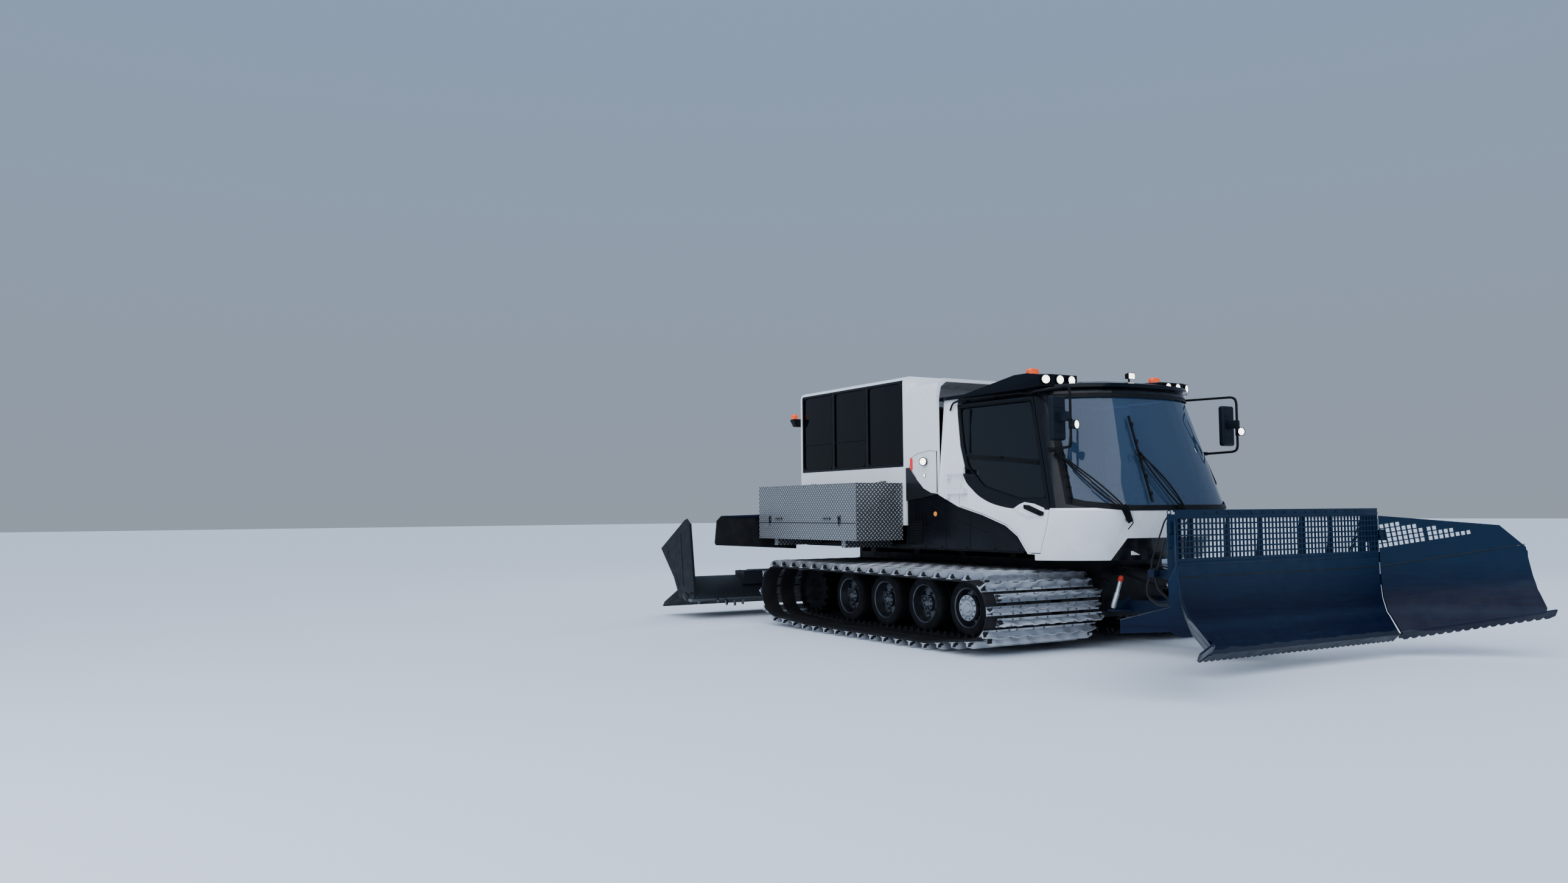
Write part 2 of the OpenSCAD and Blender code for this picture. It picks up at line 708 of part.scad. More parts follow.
module passenger_benches() {
  color([0.1, 0.12, 0.2]) both_sides() {
    y0 = pass_half - pass_wall;
    block([pass_rear_x + 120, y0 - 480, pass_base_z + pass_wall + seat_gap],
      [pass_front_x - 120, y0 - 30, pass_base_z + 480]);
    block([pass_rear_x + 120, y0 - 100, pass_base_z + 480],
      [pass_front_x - 120, y0 - 5, pass_base_z + 700]);
  }
}

// Side boxes over the tracks, on the left side
lid_gap = 7;
box_front_x = box_rear_x + box_l;
module box_solid(inset) {
  translate([box_rear_x + inset, 0, 0]) rotate([90, 0, 90]) linear_extrude(box_l - 2 * inset)
    polygon([[box_in_y + inset, box_base_z + inset], [box_out_y - inset, box_base_z + inset],
      [box_out_y - inset, box_top_z - inset], [box_in_y + inset, box_top_z - inset]]);
}
// The part of the box above the slanting seam, grown by a gap
module lid_side(grow) {
  slope_y = box_out_y - box_in_y;
  translate([box_rear_x - 10, 0, 0]) rotate([90, 0, 90]) linear_extrude(box_l + 20)
    polygon([[box_out_y + 20, box_seam_z - grow], [box_out_y, box_seam_z - grow],
      [box_in_y + 60, box_top_z - 60 - grow], [box_in_y + 60, box_top_z + 20],
      [box_out_y + 20, box_top_z + 20]]);
}
module side_box() {
  color([0.75, 0.77, 0.8]) {
    difference() {
      box_solid(0);
      box_solid(box_wall);
      lid_side(0);
    }
    for (x = [box_rear_x + 300, box_front_x - 400]) {
      block([x, deck_half + seat_gap, deck_z - 40], [x + 90, box_out_y - 60, box_base_z + 1]);
      difference() {
        union() {
          across_x(x, lid_hinge_y, lid_hinge_z, 50, knuckle_r);
          block([x, box_in_y, box_top_z - 30], [x + 50, lid_hinge_y, lid_hinge_z]);
        }
        across_x(x - 1, lid_hinge_y, lid_hinge_z, 52, 8);
      }
    }
  }
}
module across_x(x, y, z, l, r) {
  translate([x, y, z]) rotate([0, 90, 0]) cylinder(h = l, r = r);
}
lid_hinge_y = box_in_y + 35;
lid_hinge_z = box_top_z + 18;
module lid() {
  color([0.75, 0.77, 0.8]) {
    difference() {
      intersection() {
        box_solid(0);
        lid_side(-lid_gap);
      }
      box_solid(box_wall);
      block([box_rear_x - 1, 0, 0], [box_front_x + 1, box_in_y + 67, far]);
    }
    for (x = [box_rear_x + 300, box_front_x - 400]) {
      across_x(x + 53, lid_hinge_y, lid_hinge_z, 50, knuckle_r);
      across_x(x - 5, lid_hinge_y, lid_hinge_z, 80, 8 - pin_gap);
      block([x + 53, lid_hinge_y, box_top_z + 5], [x + 103, lid_hinge_y + 110, box_top_z + 16]);
      block([x + 53, box_in_y + 70, box_top_z - 1], [x + 103, lid_hinge_y + 110, box_top_z + 6]);
    }
    lid_fittings();
  }
}
// Latches and slot handles on the outer face of a lid: place along the vehicle
latch_xs = [-2674, -1043];
handle_xs = [-2452, -1318];
module lid_fittings() {
  for (x = latch_xs) {
    block([x - 20, box_out_y - 1, box_seam_z + 12], [x + 20, box_out_y + 8, box_seam_z + 95]);
    block([x - 8, box_out_y + 7, box_seam_z - 30], [x + 8, box_out_y + 18, box_seam_z + 80]);
  }
  for (x = handle_xs)
    block([x - 75, box_out_y - 1, box_seam_z + 44], [x + 75, box_out_y + 16, box_seam_z + 66]);
}
module side_box_left() side_box();
module side_box_right() mirror([0, 1, 0]) side_box();
module lid_left() lid();
module lid_right() mirror([0, 1, 0]) lid();

// Rubber flaps behind the tracks
flap_x = -3120;
module snow_flaps() {
  color([0.05, 0.05, 0.05]) both_sides() {
    translate([flap_x, 0, 0]) rotate([90, 0, 90]) linear_extrude(20)
      polygon([[1250, 940], [2480, 1010], [2500, 1040], [2470, 1330], [2400, 1395],
        [1250, 1420]]);
    block([flap_x + 19, 1500, 1150], [box_rear_x - seat_gap, 1560, 1200]);
  }
}

// Lamps on the roof, and a work lamp over a marker on each side of the fairing: height, length, radius
lamp_l = 40;
side_lamp_x = -267;
side_lamps = [[2010, 60, 45], [1850, 25, 40]];
module lamps() {
  color([0.95, 0.95, 0.9]) both_sides() {
    for (l = roof_lamps) at_lamp(l) translate([0, 0, seat_gap]) cylinder(h = lamp_l, r = lamp_r);
    for (l = side_lamps) translate([side_lamp_x, pass_half + seat_gap, l[0]]) rotate([-90, 0, 0])
      cylinder(h = l[1], r = l[2]);
  }
}
beacon_x = 1250;
beacon_ys = [900, 970];
beacon_r = 45;
beacon_h = 70;
beacon_z = cab_top_z + 175;
shelf_z = 2600;
shelf_t = 100;
module beacons() {
  color([1, 0.45, 0.05]) both_sides() {
    for (y = beacon_ys) translate([beacon_x, y, beacon_z + seat_gap]) cylinder(h = beacon_h, r = beacon_r);
    block([beacon_x - beacon_r, beacon_ys[0], beacon_z + seat_gap],
      [beacon_x + beacon_r, beacon_ys[1], beacon_z + beacon_h]);
    translate([pass_rear_x - 65, pass_half + 60, shelf_z + shelf_t - 1]) cylinder(h = beacon_h + 11, r = beacon_r);
    block([pass_rear_x - 120, pass_half - 80, shelf_z],
      [pass_rear_x - seat_gap, pass_half + 110, shelf_z + shelf_t]);
  }
}

// A round bar from one point to another
module bar(a, b, r) {
  d = b - a;
  translate(a) rotate([0, acos(d[2] / norm(d)), atan2(d[1], d[0])]) cylinder(h = norm(d), r = r);
}
// A bent tube through a list of points, none of its stretches along Y
tube_sides = 8;
function unit(v) = v / norm(v);
function heading(points, i) =
  let (n = len(points) - 1)
  unit((i < n ? unit(points[i + 1] - points[i]) : [0, 0, 0])
    + (i > 0 ? unit(points[i] - points[i - 1]) : [0, 0, 0]));
function ring(p, t, r) =
  let (u = unit(cross(t, [0, 1, 0])), w = cross(t, u))
  [for (k = [0:tube_sides - 1]) let (a = 360 * k / tube_sides) p + r * (cos(a) * u + sin(a) * w)];
module tube(points, r) {
  n = len(points);
  m = tube_sides;
  polyhedron([for (i = [0:n - 1]) each ring(points[i], heading(points, i), r)],
    concat([[for (k = [0:m - 1]) k]],
      [for (i = [0:n - 2], k = [0:m - 1])
        let (a = i * m + k, b = i * m + (k + 1) % m) [a, a + m, b + m, b]],
      [[for (k = [0:m - 1]) n * m - 1 - k]]));
}
mirror_low = [1905, 1180, 2125];
mirror_high = [1985, 1375, 2575];
module mirrors() {
  color([0.06, 0.07, 0.09]) both_sides() {
    block(mirror_low, mirror_high);
    block([1290, 1026, 2660], [1370, 1056, cab_top_z - seat_gap]);
    tube([[1330, 1045, 2665], [1500, 1150, 2668], [2080, 1240, 2660], [2105, 1250, 2620],
      [2105, 1250, 2090], [2080, 1240, 2060], [1760, 1170, 2050]], 14);
    for (z = [2200, 2500]) block([1984, 1245, z], [2106, 1275, z + 20]);
    translate([2118, 1244, 2275]) rotate([0, 90, -12]) cylinder(h = 60, r = 48);
  }
}

// A point on the cab's skin: share from the pillar to the nose, height, and distance outside
function skin_point(t, z, out) =
  let (i = z < cab_waist_z ? 0 : 1, f = (z - cab_levels[i][0]) / (cab_levels[i + 1][0] - cab_levels[i][0]),
    v = cab_levels[i] * (1 - f) + cab_levels[i + 1] * f,
    p = bezier([v[2], v[3]], [v[4], v[5]], [v[6], 0], t))
  [p[0] + out, p[1] + out * (1 - t), z];

// Each wiper: share across the screen and height of its hub, the same of its joint, the blade's ends
wiper_list = [[0.53, 1340, 0.11, 1980, 1515, 2070], [0.98, 1360, 0.70, 2000, 1510, 2390]];
wiper_out = 40;
wiper_steps = 5;
arm_gap = 0.035;
function arm_path(w, shift) =
  [for (k = [0:wiper_steps]) let (f = k / wiper_steps)
    skin_point(w[0] + (w[2] - w[0]) * f + shift * sin(180 * f), w[1] + (w[3] - w[1]) * f,
      wiper_out - (k == wiper_steps ? 14 : 0))];
module wiper(w) {
  bar(skin_point(w[0], w[1], -20), skin_point(w[0], w[1], wiper_out + 8), 24);
  for (shift = [-arm_gap, arm_gap]) tube(arm_path(w, shift), 8);
  bar(skin_point(w[2], w[4], wiper_out - 14), skin_point(w[2], w[5], wiper_out - 14), 11);
}
module wipers() {
  color([0.03, 0.03, 0.03]) mirror([0, 1, 0]) difference() {
    for (w = wiper_list) wiper(w);
    cab_volume(-seat_gap);
  }
}

// Front lift frame, at rest with its pivot on the chassis
swivel_r = 60;
module eye(x, z, y, w, r_out, r_in) {
  difference() {
    across(x, z, y - w / 2, y + w / 2, r_out);
    across(x, z, y - w / 2 - 1, y + w / 2 + 1, r_in);
  }
}
swivel_pin_r = 35;
yoke_x = swivel_x - swivel_r - 20;
// Two ears for a rod's eye, standing on the frame at a foot point in X and Z
module rod_ears(x, z, foot) {
  for (s = [-1, 1]) {
    y0 = lift_cyl_y + s * (cyl_ear_w / 2 + ear_gap + ear_t / 2) - ear_t / 2;
    across(x, z, y0, y0 + ear_t, eye_r);
    slab([[x - eye_r, z], [x + eye_r, z], [foot[0] + eye_r, foot[1]], [foot[0] - eye_r, foot[1]]],
      y0, y0 + ear_t);
  }
}
module lift_frame() {
  color([0.08, 0.09, 0.12]) difference() {
    union() {
      both_sides() {
        across(lift_x, lift_z, arm_y - arm_w / 2, arm_y + arm_w / 2, pin_r * 2);
        slab([[lift_x, lift_z - 60], [lift_x + 1180, lift_z - 20], [lift_x + 1180, lift_z + 110],
          [lift_x, lift_z + 60]], arm_y - arm_w / 2, arm_y + arm_w / 2);
      }
      block([2560, -arm_y, lift_z - 10], [2700, arm_y, lift_z + 90]);
      slab([[2860, lift_z - 30], [yoke_x, lift_z - 30], [yoke_x, lift_z + 230],
        [yoke_x - 60, lift_z + 230], [2860, lift_z + 120]], -arm_y - arm_w / 2, arm_y + arm_w / 2);
      for (z = [lift_z - 60, lift_z + 200])
        hull() {
          translate([swivel_x, 0, z]) cylinder(h = 50, r = swivel_r * 1.6);
          block([yoke_x - 40, -200, z], [yoke_x, 200, z + 50]);
        }
      both_sides() {
        rod_ears(lift_eye_x, lift_eye_z, [lift_eye_x - 60, lift_z + 80]);
        pivot_pin(lift_eye_x, lift_eye_z, lift_cyl_y, cyl_ear_w, eye_pin_r);
      }
    }
    both_sides() across(lift_x, lift_z, 0, arm_y + arm_w, pin_r + pin_gap);
    translate([swivel_x, 0, 0]) cylinder(h = far, r = swivel_pin_r);
  }
}

// Lift cylinders
cyl_dx = lift_eye_x - lift_cyl_x;
cyl_dz = lift_eye_z - lift_cyl_z;
cyl_len = norm([cyl_dx, cyl_dz]);
cyl_turn = atan2(-cyl_dz, cyl_dx);
barrel_l = cyl_len * 0.6;
module on_cylinder(y) {
  translate([lift_cyl_x, y, lift_cyl_z]) rotate([0, cyl_turn, 0]) children();
}
module lift_barrels() {
  color([0.1, 0.1, 0.1]) both_sides() on_cylinder(lift_cyl_y) {
    eye(0, 0, 0, eye_w, eye_r, cyl_pin_r + pin_gap);
    difference() {
      union() {
        translate([40, 0, 0]) rotate([0, 90, 0]) cylinder(h = 30, r = neck_r);
        translate([ear_clear, 0, 0]) rotate([0, 90, 0]) cylinder(h = barrel_l - ear_clear, r = barrel_r);
      }
      translate([80, 0, 0]) rotate([0, 90, 0]) cylinder(h = barrel_l, r = rod_r + pin_gap);
      across(0, 0, -60, 60, eye_r - 1);
    }
  }
}
module lift_rods() {
  color([0.8, 0.8, 0.82]) both_sides() on_cylinder(lift_cyl_y) {
    difference() {
      translate([cyl_len * 0.3, 0, 0]) rotate([0, 90, 0]) cylinder(h = cyl_len * 0.7 - 30, r = rod_r);
      across(cyl_len, 0, -60, 60, eye_r - 1);
    }
    eye(cyl_len, 0, 0, eye_w, eye_r, eye_pin_r + eye_play);
  }
}

// Heads between the lift frame and the blade
head_z0 = lift_z - 60 + 50 + side_gap;
head_z1 = lift_z + 200 - side_gap;
tilt_z = (head_z0 + head_z1) / 2;
tilt_x0 = swivel_x + 190;
pitch_x = 3450;
pitch_z = 470;
module swivel_head() {
  color([0.08, 0.09, 0.12]) {
    translate([swivel_x, 0, head_z0]) cylinder(h = head_z1 - head_z0, r = swivel_r);
    translate([swivel_x, 0, lift_z - 70]) cylinder(h = 300, r = swivel_pin_r - pin_gap);
    block([swivel_x, -55, tilt_z - 60], [tilt_x0 - side_gap, 55, tilt_z + 60]);
    translate([tilt_x0 - side_gap - 30, 0, tilt_z]) rotate([0, 90, 0]) cylinder(h = 30, r = 110);
    translate([tilt_x0 - side_gap - 1, 0, tilt_z]) rotate([0, 90, 0]) cylinder(h = 60, r = 40);
  }
}
module tilt_head() {
  color([0.08, 0.09, 0.12]) {
    difference() {
      block([tilt_x0, -420, tilt_z - 120], [tilt_x0 + 40, 420, tilt_z + 120]);
      translate([tilt_x0 - 1, 0, tilt_z]) rotate([0, 90, 0]) cylinder(h = 90, r = 40 + pin_gap);
    }
    both_sides() pivot_ears(pitch_x, pitch_z, 360, cyl_ear_w, cyl_pin_r, tilt_x0 + 20);
    both_sides() pivot_pin(pitch_x, pitch_z, 360, cyl_ear_w, cyl_pin_r);
  }
}

// Curved part of the blade as [reach, drop] shares, from the fold to the cutting edge
curve = [[0, 0], [0.04, 0.25], [0.12, 0.48], [0.31, 0.68], [0.45, 0.74], [0.92, 0.98], [1, 1]];
function front_line(fold_z) = [for (c = curve) [c[0] * blade_reach, fold_z - c[1] * blade_drop]];
function back_line(fold_z) = [for (i = [len(curve) - 1:-1:0])
  [curve[i][0] * blade_reach - blade_t, fold_z - curve[i][1] * blade_drop - blade_t * curve[i][0]]];
module blade_profile(fold_z, top_z) {
  polygon(concat([[0, top_z]], front_line(fold_z), back_line(fold_z), [[-blade_t, top_z]]));
}

// Toothed strip that slopes back and down from the cutting edge, between two Y values
edge_back = 100;
edge_t = 16;
tooth_pitch = 80;
tooth_depth = 34;
function tooth(y, l) = [[y, l - tooth_depth], [y + tooth_pitch * 0.3, l], [y + tooth_pitch * 0.7, l]];
module toothed_edge(fold_z, y0, y1) {
  l = norm([edge_back, edge_h]);
  n = floor((y1 - y0) / tooth_pitch);
  start = (y0 + y1 - n * tooth_pitch) / 2;
  translate([blade_reach - 8, 0, fold_z - blade_drop + 2])
    rotate([0, -atan2(edge_h, edge_back), 0]) rotate([0, 0, 90]) linear_extrude(edge_t)
      polygon(concat([[y0, 0], [y0, l - tooth_depth]],
        [for (i = [0:n - 1]) each tooth(start + i * tooth_pitch, l)],
        [[y1, l - tooth_depth], [y1, 0]]));
}

// Square holes of a grille: centres in a flat plane
module holes(centres) {
  n = len(centres);
  h = hole_w / 2;
  polygon([for (c = centres) each [[c[0] - h, c[1] - h], [c[0] + h, c[1] - h],
    [c[0] + h, c[1] + h], [c[0] - h, c[1] + h]]],
    [for (i = [0:n - 1]) [4 * i, 4 * i + 1, 4 * i + 2, 4 * i + 3]]);
}

hinge_back = 45;
hinge_clear = 24;
mitre = 22;
grille_z0 = 985;
grille_z1 = 1368;
grille_t = 12;
grille_cols = 56;
grille_rows = 7;
grille_row_pitch = 51;
grille_mid_z = 1182;
knuckle_z0 = 560;
knuckle_step = 110;
knuckle_count = 7;
wing_knuckle_r = 30;
grille_knuckle = 3;
wing_pin_r = 15;
module past_mitre() {
  linear_extrude(far)
    polygon([[0, hinge_clear], [0, 0], [400, 0], [400, hinge_clear + 400 * tan(mitre)]]);
}
module blade_middle() {
  color([0.03, 0.12, 0.28]) translate([blade_x, 0, 0]) {
    difference() {
      rotate([90, 0, 0]) linear_extrude(2 * (blade_half - hinge_clear), center = true)
        blade_profile(blade_fold_z, blade_top_z);
      block([-30, -blade_half, grille_z0], [30, blade_half, grille_z1]);
      both_sides() translate([0, blade_half, 0]) mirror([0, 1, 0]) past_mitre();
    }
    difference() {
      toothed_edge(blade_fold_z, -blade_half + hinge_clear, blade_half - hinge_clear);
      both_sides() translate([0, blade_half, 0]) mirror([0, 1, 0]) past_mitre();
    }
    for (y = [-1250, -750, -300, 300, 750, 1250])
      slab([[-blade_t + 1, 1420], [-blade_t + 1, 560], [-80, 560], [-80, 1000], [-40, 1420]],
        y - 8, y + 8);
    block([-80, -1262, 640], [-3, 1262, 760]);
    both_sides() {
      translate([pitch_x - blade_x, 0, 0]) eye(0, pitch_z, 360, eye_w, 50, cyl_pin_r + pin_gap);
      slab([[pitch_x - blade_x + 35, pitch_z - 30], [blade_reach * 0.3, pitch_z - 60],
        [-5, pitch_z + 170], [pitch_x - blade_x + 30, pitch_z + 34]], 330, 390);
      translate([0, blade_half, 0]) for (i = [0:2:knuckle_count - 1]) wing_knuckle(i, 0);
      translate([-hinge_back, blade_half, knuckle_z0])
        cylinder(h = knuckle_count * knuckle_step, r = wing_pin_r);
    }
  }
}
// Hinge knuckle number i behind the plates, for the section on the right of the hinge line
module wing_knuckle(i, bore) {
  translate([0, 0, knuckle_z0 + i * knuckle_step]) difference() {
    union() {
      translate([-hinge_back, 0, 0]) cylinder(h = knuckle_step - side_gap, r = wing_knuckle_r);
      block([-hinge_back - 10, -90, 0], [-hinge_back + 10, 0, knuckle_step - side_gap]);
      block([-hinge_back - 10, -90, 0],
        [i < grille_knuckle ? -4 : -blade_t + 1, -wing_knuckle_r - 12, knuckle_step - side_gap]);
    }
    if (bore > 0) translate([-hinge_back, 0, -1]) cylinder(h = knuckle_step + 2, r = bore);
  }
}
module blade_grille() {
  color([0.03, 0.12, 0.28]) translate([blade_x, 0, 0]) rotate([90, 0, -90])
    linear_extrude(grille_t) difference() {
      translate([-blade_half + hinge_clear, grille_z0 + seat_gap])
        square([2 * (blade_half - hinge_clear), grille_z1 - grille_z0 - 2 * seat_gap]);
      holes([for (i = [0:grille_cols - 1], k = [0:grille_rows - 1])
        [(i - (grille_cols - 1) / 2) * hole_pitch,
          grille_mid_z + (k - (grille_rows - 1) / 2) * grille_row_pitch]]);
    }
}

// A wing on the left side, built straight and turned about its hinge pin
module on_wing_hinge() {
  translate([blade_x - hinge_back, blade_half, 0]) rotate([0, 0, -wing_fold])
    translate([hinge_back, 0, 0]) children();
}
wing_outline = [[hinge_clear, 100], [wing_l * 0.93, 300], [wing_l, 470], [wing_l * 0.985, 700],
  [wing_l * 0.95, 1045], [wing_l * 0.79, 1256], [hinge_clear, blade_top_z - wing_step]];
// Holes in a wing by row from the top: first column, number of columns
wing_hole_rows = [[0, 1], [0, 5], [0, 8], [0, 9], [0, 9], [0, 9]];
wing_far_rows = [[9.5, 2], [9.5, 5], [9.5, 8]];
wing_hole_y = 62;
wing_hole_pitch = 50;
wing_hole_row_pitch = 47;
wing_hole_low = 198;
module wing_holes() {
  function at(first, n, row) = [for (k = [0:n - 1])
    [wing_hole_y + (first + k) * wing_hole_pitch, wing_hole_low + (5 - row) * wing_hole_row_pitch]];
  holes(concat([for (r = [0:5]) each at(wing_hole_rows[r][0], wing_hole_rows[r][1], r)],
    [for (r = [0:2]) each at(wing_far_rows[r][0], wing_far_rows[r][1], r + 3)]));
}
// The slope that a wing's lines have, with the fold line through the hinge
module wing_slope() {
  translate([0, 0, blade_fold_z]) rotate([wing_rise, 0, 0]) children();
}
horn_y = wing_l * 0.9;
horn_w = 90;
module wing() {
  color([0.03, 0.12, 0.28]) on_wing_hinge() {
    difference() {
      intersection() {
        wing_slope() translate([0, wing_l + 200, 0]) rotate([90, 0, 0])
          linear_extrude(wing_l + 400) blade_profile(0, 600);
        translate([-500, 0, 0]) rotate([90, 0, 90]) linear_extrude(1000) polygon(wing_outline);
      }
      past_mitre();
      wing_slope() translate([-50, 0, 0]) rotate([90, 0, 90]) linear_extrude(100) wing_holes();
    }
    difference() {
      wing_slope() toothed_edge(0, 0, wing_l - 8);
      past_mitre();
      translate([-500, 0, -far]) cube([1000, hinge_clear, 2 * far]);
    }
    wing_slope() for (y = [0.38, 0.72])
      slab([[-blade_t + 1, 150], [-blade_t + 1, 0], [-2, -155], [-70, -200], [-70, 60]],
        wing_l * y - 8, wing_l * y + 8);
    slab([[-8, 1010], [-60, 900], [-60, 700], [-420, 600], [-420, 500], [-60, 520], [20, 480],
      [95, 486], [45, 620], [8, 760]], horn_y, horn_y + horn_w);
    for (i = [1:2:knuckle_count - 2]) mirror([0, 1, 0]) wing_knuckle(i, wing_pin_r + pin_gap);
  }
}
module wing_left() wing();
module wing_right() mirror([0, 1, 0]) wing();

// Rear lift frame
rear_cyl_x = tub_rear_x - carrier_t - 60;
rear_cyl_z = 930;
rear_eye_x = -3210;
rear_eye_z = 740;
rear_barrel_r = 42;
rear_rod_r = 22;
module rear_frame() {
  color([0.08, 0.09, 0.12]) difference() {
    union() {
      both_sides() {
        across(rear_x, rear_z, arm_y - arm_w / 2, arm_y + arm_w / 2, pin_r * 2);
        slab([[rear_x, rear_z - 60], [rear_x, rear_z + 60], [swing_x + 80, rear_z + 70],
          [swing_x + 80, rear_z - 70]], arm_y - arm_w / 2, arm_y + arm_w / 2);
      }
      block([swing_x + 80, -arm_y - arm_w / 2, rear_z - 70], [swing_x + 160, arm_y + arm_w / 2, rear_z + 70]);
      for (z = [rear_z - 110, rear_z + 60])
        hull() {
          translate([swing_x, 0, z]) cylinder(h = 50, r = swivel_r * 1.6);
          block([swing_x + 100, -200, z], [swing_x + 120, 200, z + 50]);
        }
      both_sides() {
        rod_ears(rear_eye_x, rear_eye_z, [rear_eye_x, rear_z + 60]);
        pivot_pin(rear_eye_x, rear_eye_z, lift_cyl_y, cyl_ear_w, eye_pin_r);
      }
    }
    both_sides() across(rear_x, rear_z, 0, arm_y + arm_w, pin_r + pin_gap);
    translate([swing_x, 0, 0]) cylinder(h = far, r = swivel_pin_r);
  }
}
rcyl_dx = rear_eye_x - rear_cyl_x;
rcyl_dz = rear_eye_z - rear_cyl_z;
rcyl_len = norm([rcyl_dx, rcyl_dz]);
rcyl_turn = atan2(-rcyl_dz, rcyl_dx);
module on_rear_cylinder(y) {
  translate([rear_cyl_x, y, rear_cyl_z]) rotate([0, rcyl_turn, 0]) children();
}
module rear_barrels() {
  color([0.1, 0.1, 0.1]) both_sides() on_rear_cylinder(lift_cyl_y) {
    eye(0, 0, 0, eye_w, eye_r, cyl_pin_r + pin_gap);
    difference() {
      union() {
        translate([40, 0, 0]) rotate([0, 90, 0]) cylinder(h = 30, r = neck_r);
        translate([ear_clear, 0, 0]) rotate([0, 90, 0])
          cylinder(h = rcyl_len * 0.56 - ear_clear, r = rear_barrel_r);
      }
      translate([75, 0, 0]) rotate([0, 90, 0]) cylinder(h = rcyl_len, r = rear_rod_r + pin_gap);
      across(0, 0, -60, 60, eye_r - 1);
    }
  }
}
module rear_rods() {
  color([0.8, 0.8, 0.82]) both_sides() on_rear_cylinder(lift_cyl_y) {
    difference() {
      translate([rcyl_len * 0.5, 0, 0]) rotate([0, 90, 0]) cylinder(h = rcyl_len * 0.5 - 30, r = rear_rod_r);
      across(rcyl_len, 0, -60, 60, eye_r - 1);
    }
    eye(rcyl_len, 0, 0, eye_w, eye_r, eye_pin_r + eye_play);
  }
}

depth_x = swing_x - 160;
depth_z = rear_z;
module swing_head() {
  color([0.08, 0.09, 0.12]) {
    translate([swing_x, 0, rear_z - 60 + side_gap]) cylinder(h = 120 - 2 * side_gap, r = swivel_r);
    translate([swing_x, 0, rear_z - 120]) cylinder(h = 240, r = swivel_pin_r - pin_gap);
    block([depth_x + 60, -55, rear_z - 50], [swing_x, 55, rear_z + 50]);
    block([depth_x + 60, -420, rear_z - 50], [depth_x + 90, 420, rear_z + 50]);
    both_sides() pivot_ears(depth_x, depth_z, 360, cyl_ear_w, cyl_pin_r, depth_x + 70);
    both_sides() pivot_pin(depth_x, depth_z, 360, cyl_ear_w, cyl_pin_r);
  }
}

// Tiller
housing_t = 12;
house_r = tooth_r + 35;
module tiller_housing() {
  color([0.05, 0.05, 0.06]) {
    difference() {
      union() {
        across(rotor_x, rotor_z, -tiller_half, tiller_half, house_r + housing_t);
        slab([[rotor_x, rotor_z + 120], [rotor_x + 260, rotor_z + 120], [rotor_x + 260, rotor_z + 300],
          [rotor_x, rotor_z + 300]], -1800, 1800);
      }
      across(rotor_x, rotor_z, -tiller_half + housing_t, tiller_half - housing_t, house_r);
      block([rotor_x - 400, -far, -far], [rotor_x + 400, far, rotor_z - 60]);
      slab([[rotor_x + 12, rotor_z + 132], [rotor_x + 248, rotor_z + 132],
        [rotor_x + 248, rotor_z + 288], [rotor_x + 12, rotor_z + 288]], -1788, 1788);
    }
    both_sides() for (x = side_hinge_xs) difference() {
      union() {
        across_x(x, side_hinge_y, side_hinge_z, 50, knuckle_r);
        block([x, tiller_half - 5, side_hinge_z - 10], [x + 50, side_hinge_y, side_hinge_z + 10]);
      }
      across_x(x - 1, side_hinge_y, side_hinge_z, 52, 8);
    }
    both_sides() {
      eye(depth_x, depth_z, 360, eye_w, 50, cyl_pin_r + pin_gap);
      slab([[depth_x - 30, depth_z - 34], [depth_x - 30, depth_z + 34], [rotor_x + 259, rotor_z + 260],
        [rotor_x + 259, rotor_z + 160]], 330, 390);
    }
  }
}
tooth_row_pitch = 165;
tooth_rows = floor((tiller_half - 140) / tooth_row_pitch);
module tiller_rotor() {
  color([0.2, 0.2, 0.2]) {
    across(rotor_x, rotor_z, -tiller_half + 60, tiller_half - 60, rotor_r);
    across(rotor_x, rotor_z, -tiller_half + housing_t + pin_gap, tiller_half - housing_t - pin_gap, 40);
    for (k = [-tooth_rows:tooth_rows]) translate([rotor_x, k * tooth_row_pitch, rotor_z])
      for (a = [0, 120, 240]) rotate([0, a + k * 25, 0]) block([rotor_r - 20, -10, -20], [tooth_r, 10, 20]);
  }
}
module finisher() {
  color([0.05, 0.05, 0.06]) difference() {
    slab([[rotor_x - house_r + 20, rotor_z + 40], [rotor_x - house_r - 8, rotor_z + 60],
      [rotor_x - finisher_l + 60, 190], [rotor_x - finisher_l, 130], [rotor_x - finisher_l + 20, 120],
      [rotor_x - finisher_l + 90, 170]], -tiller_half, tiller_half);
    across(rotor_x, rotor_z, -far, far, house_r + housing_t + seat_gap);
  }
}

// Side finishers, folded up at the tiller's ends, on the left side
side_hinge_y = tiller_half + 30;
side_hinge_z = rotor_z + 30;
side_hinge_xs = [-3720, -3900];
side_plate_y = side_hinge_y + knuckle_r + 6;
side_plate_t = 14;
side_points = [[-3460, 380], [-3960, 350], [-4100, 560], [-4510, 945], [-3760, 1340],
  [-3690, 1358], [-3600, 1300]];
module side_finisher() {
  color([0.05, 0.05, 0.06]) {
    slab(side_points, side_plate_y, side_plate_y + side_plate_t);
    for (x = side_hinge_xs) {
      across_x(x + 53, side_hinge_y, side_hinge_z, 50, knuckle_r);
      across_x(x - 5, side_hinge_y, side_hinge_z, 80, 8 - pin_gap);
      block([x + 53, side_hinge_y, side_hinge_z],
        [x + 103, side_plate_y + 1, side_hinge_z + knuckle_r]);
      block([x + 53, side_plate_y - 4, side_hinge_z], [x + 103, side_plate_y + 1, side_hinge_z + 60]);
    }
  }
}
module side_finisher_left() side_finisher();
module side_finisher_right() mirror([0, 1, 0]) side_finisher();

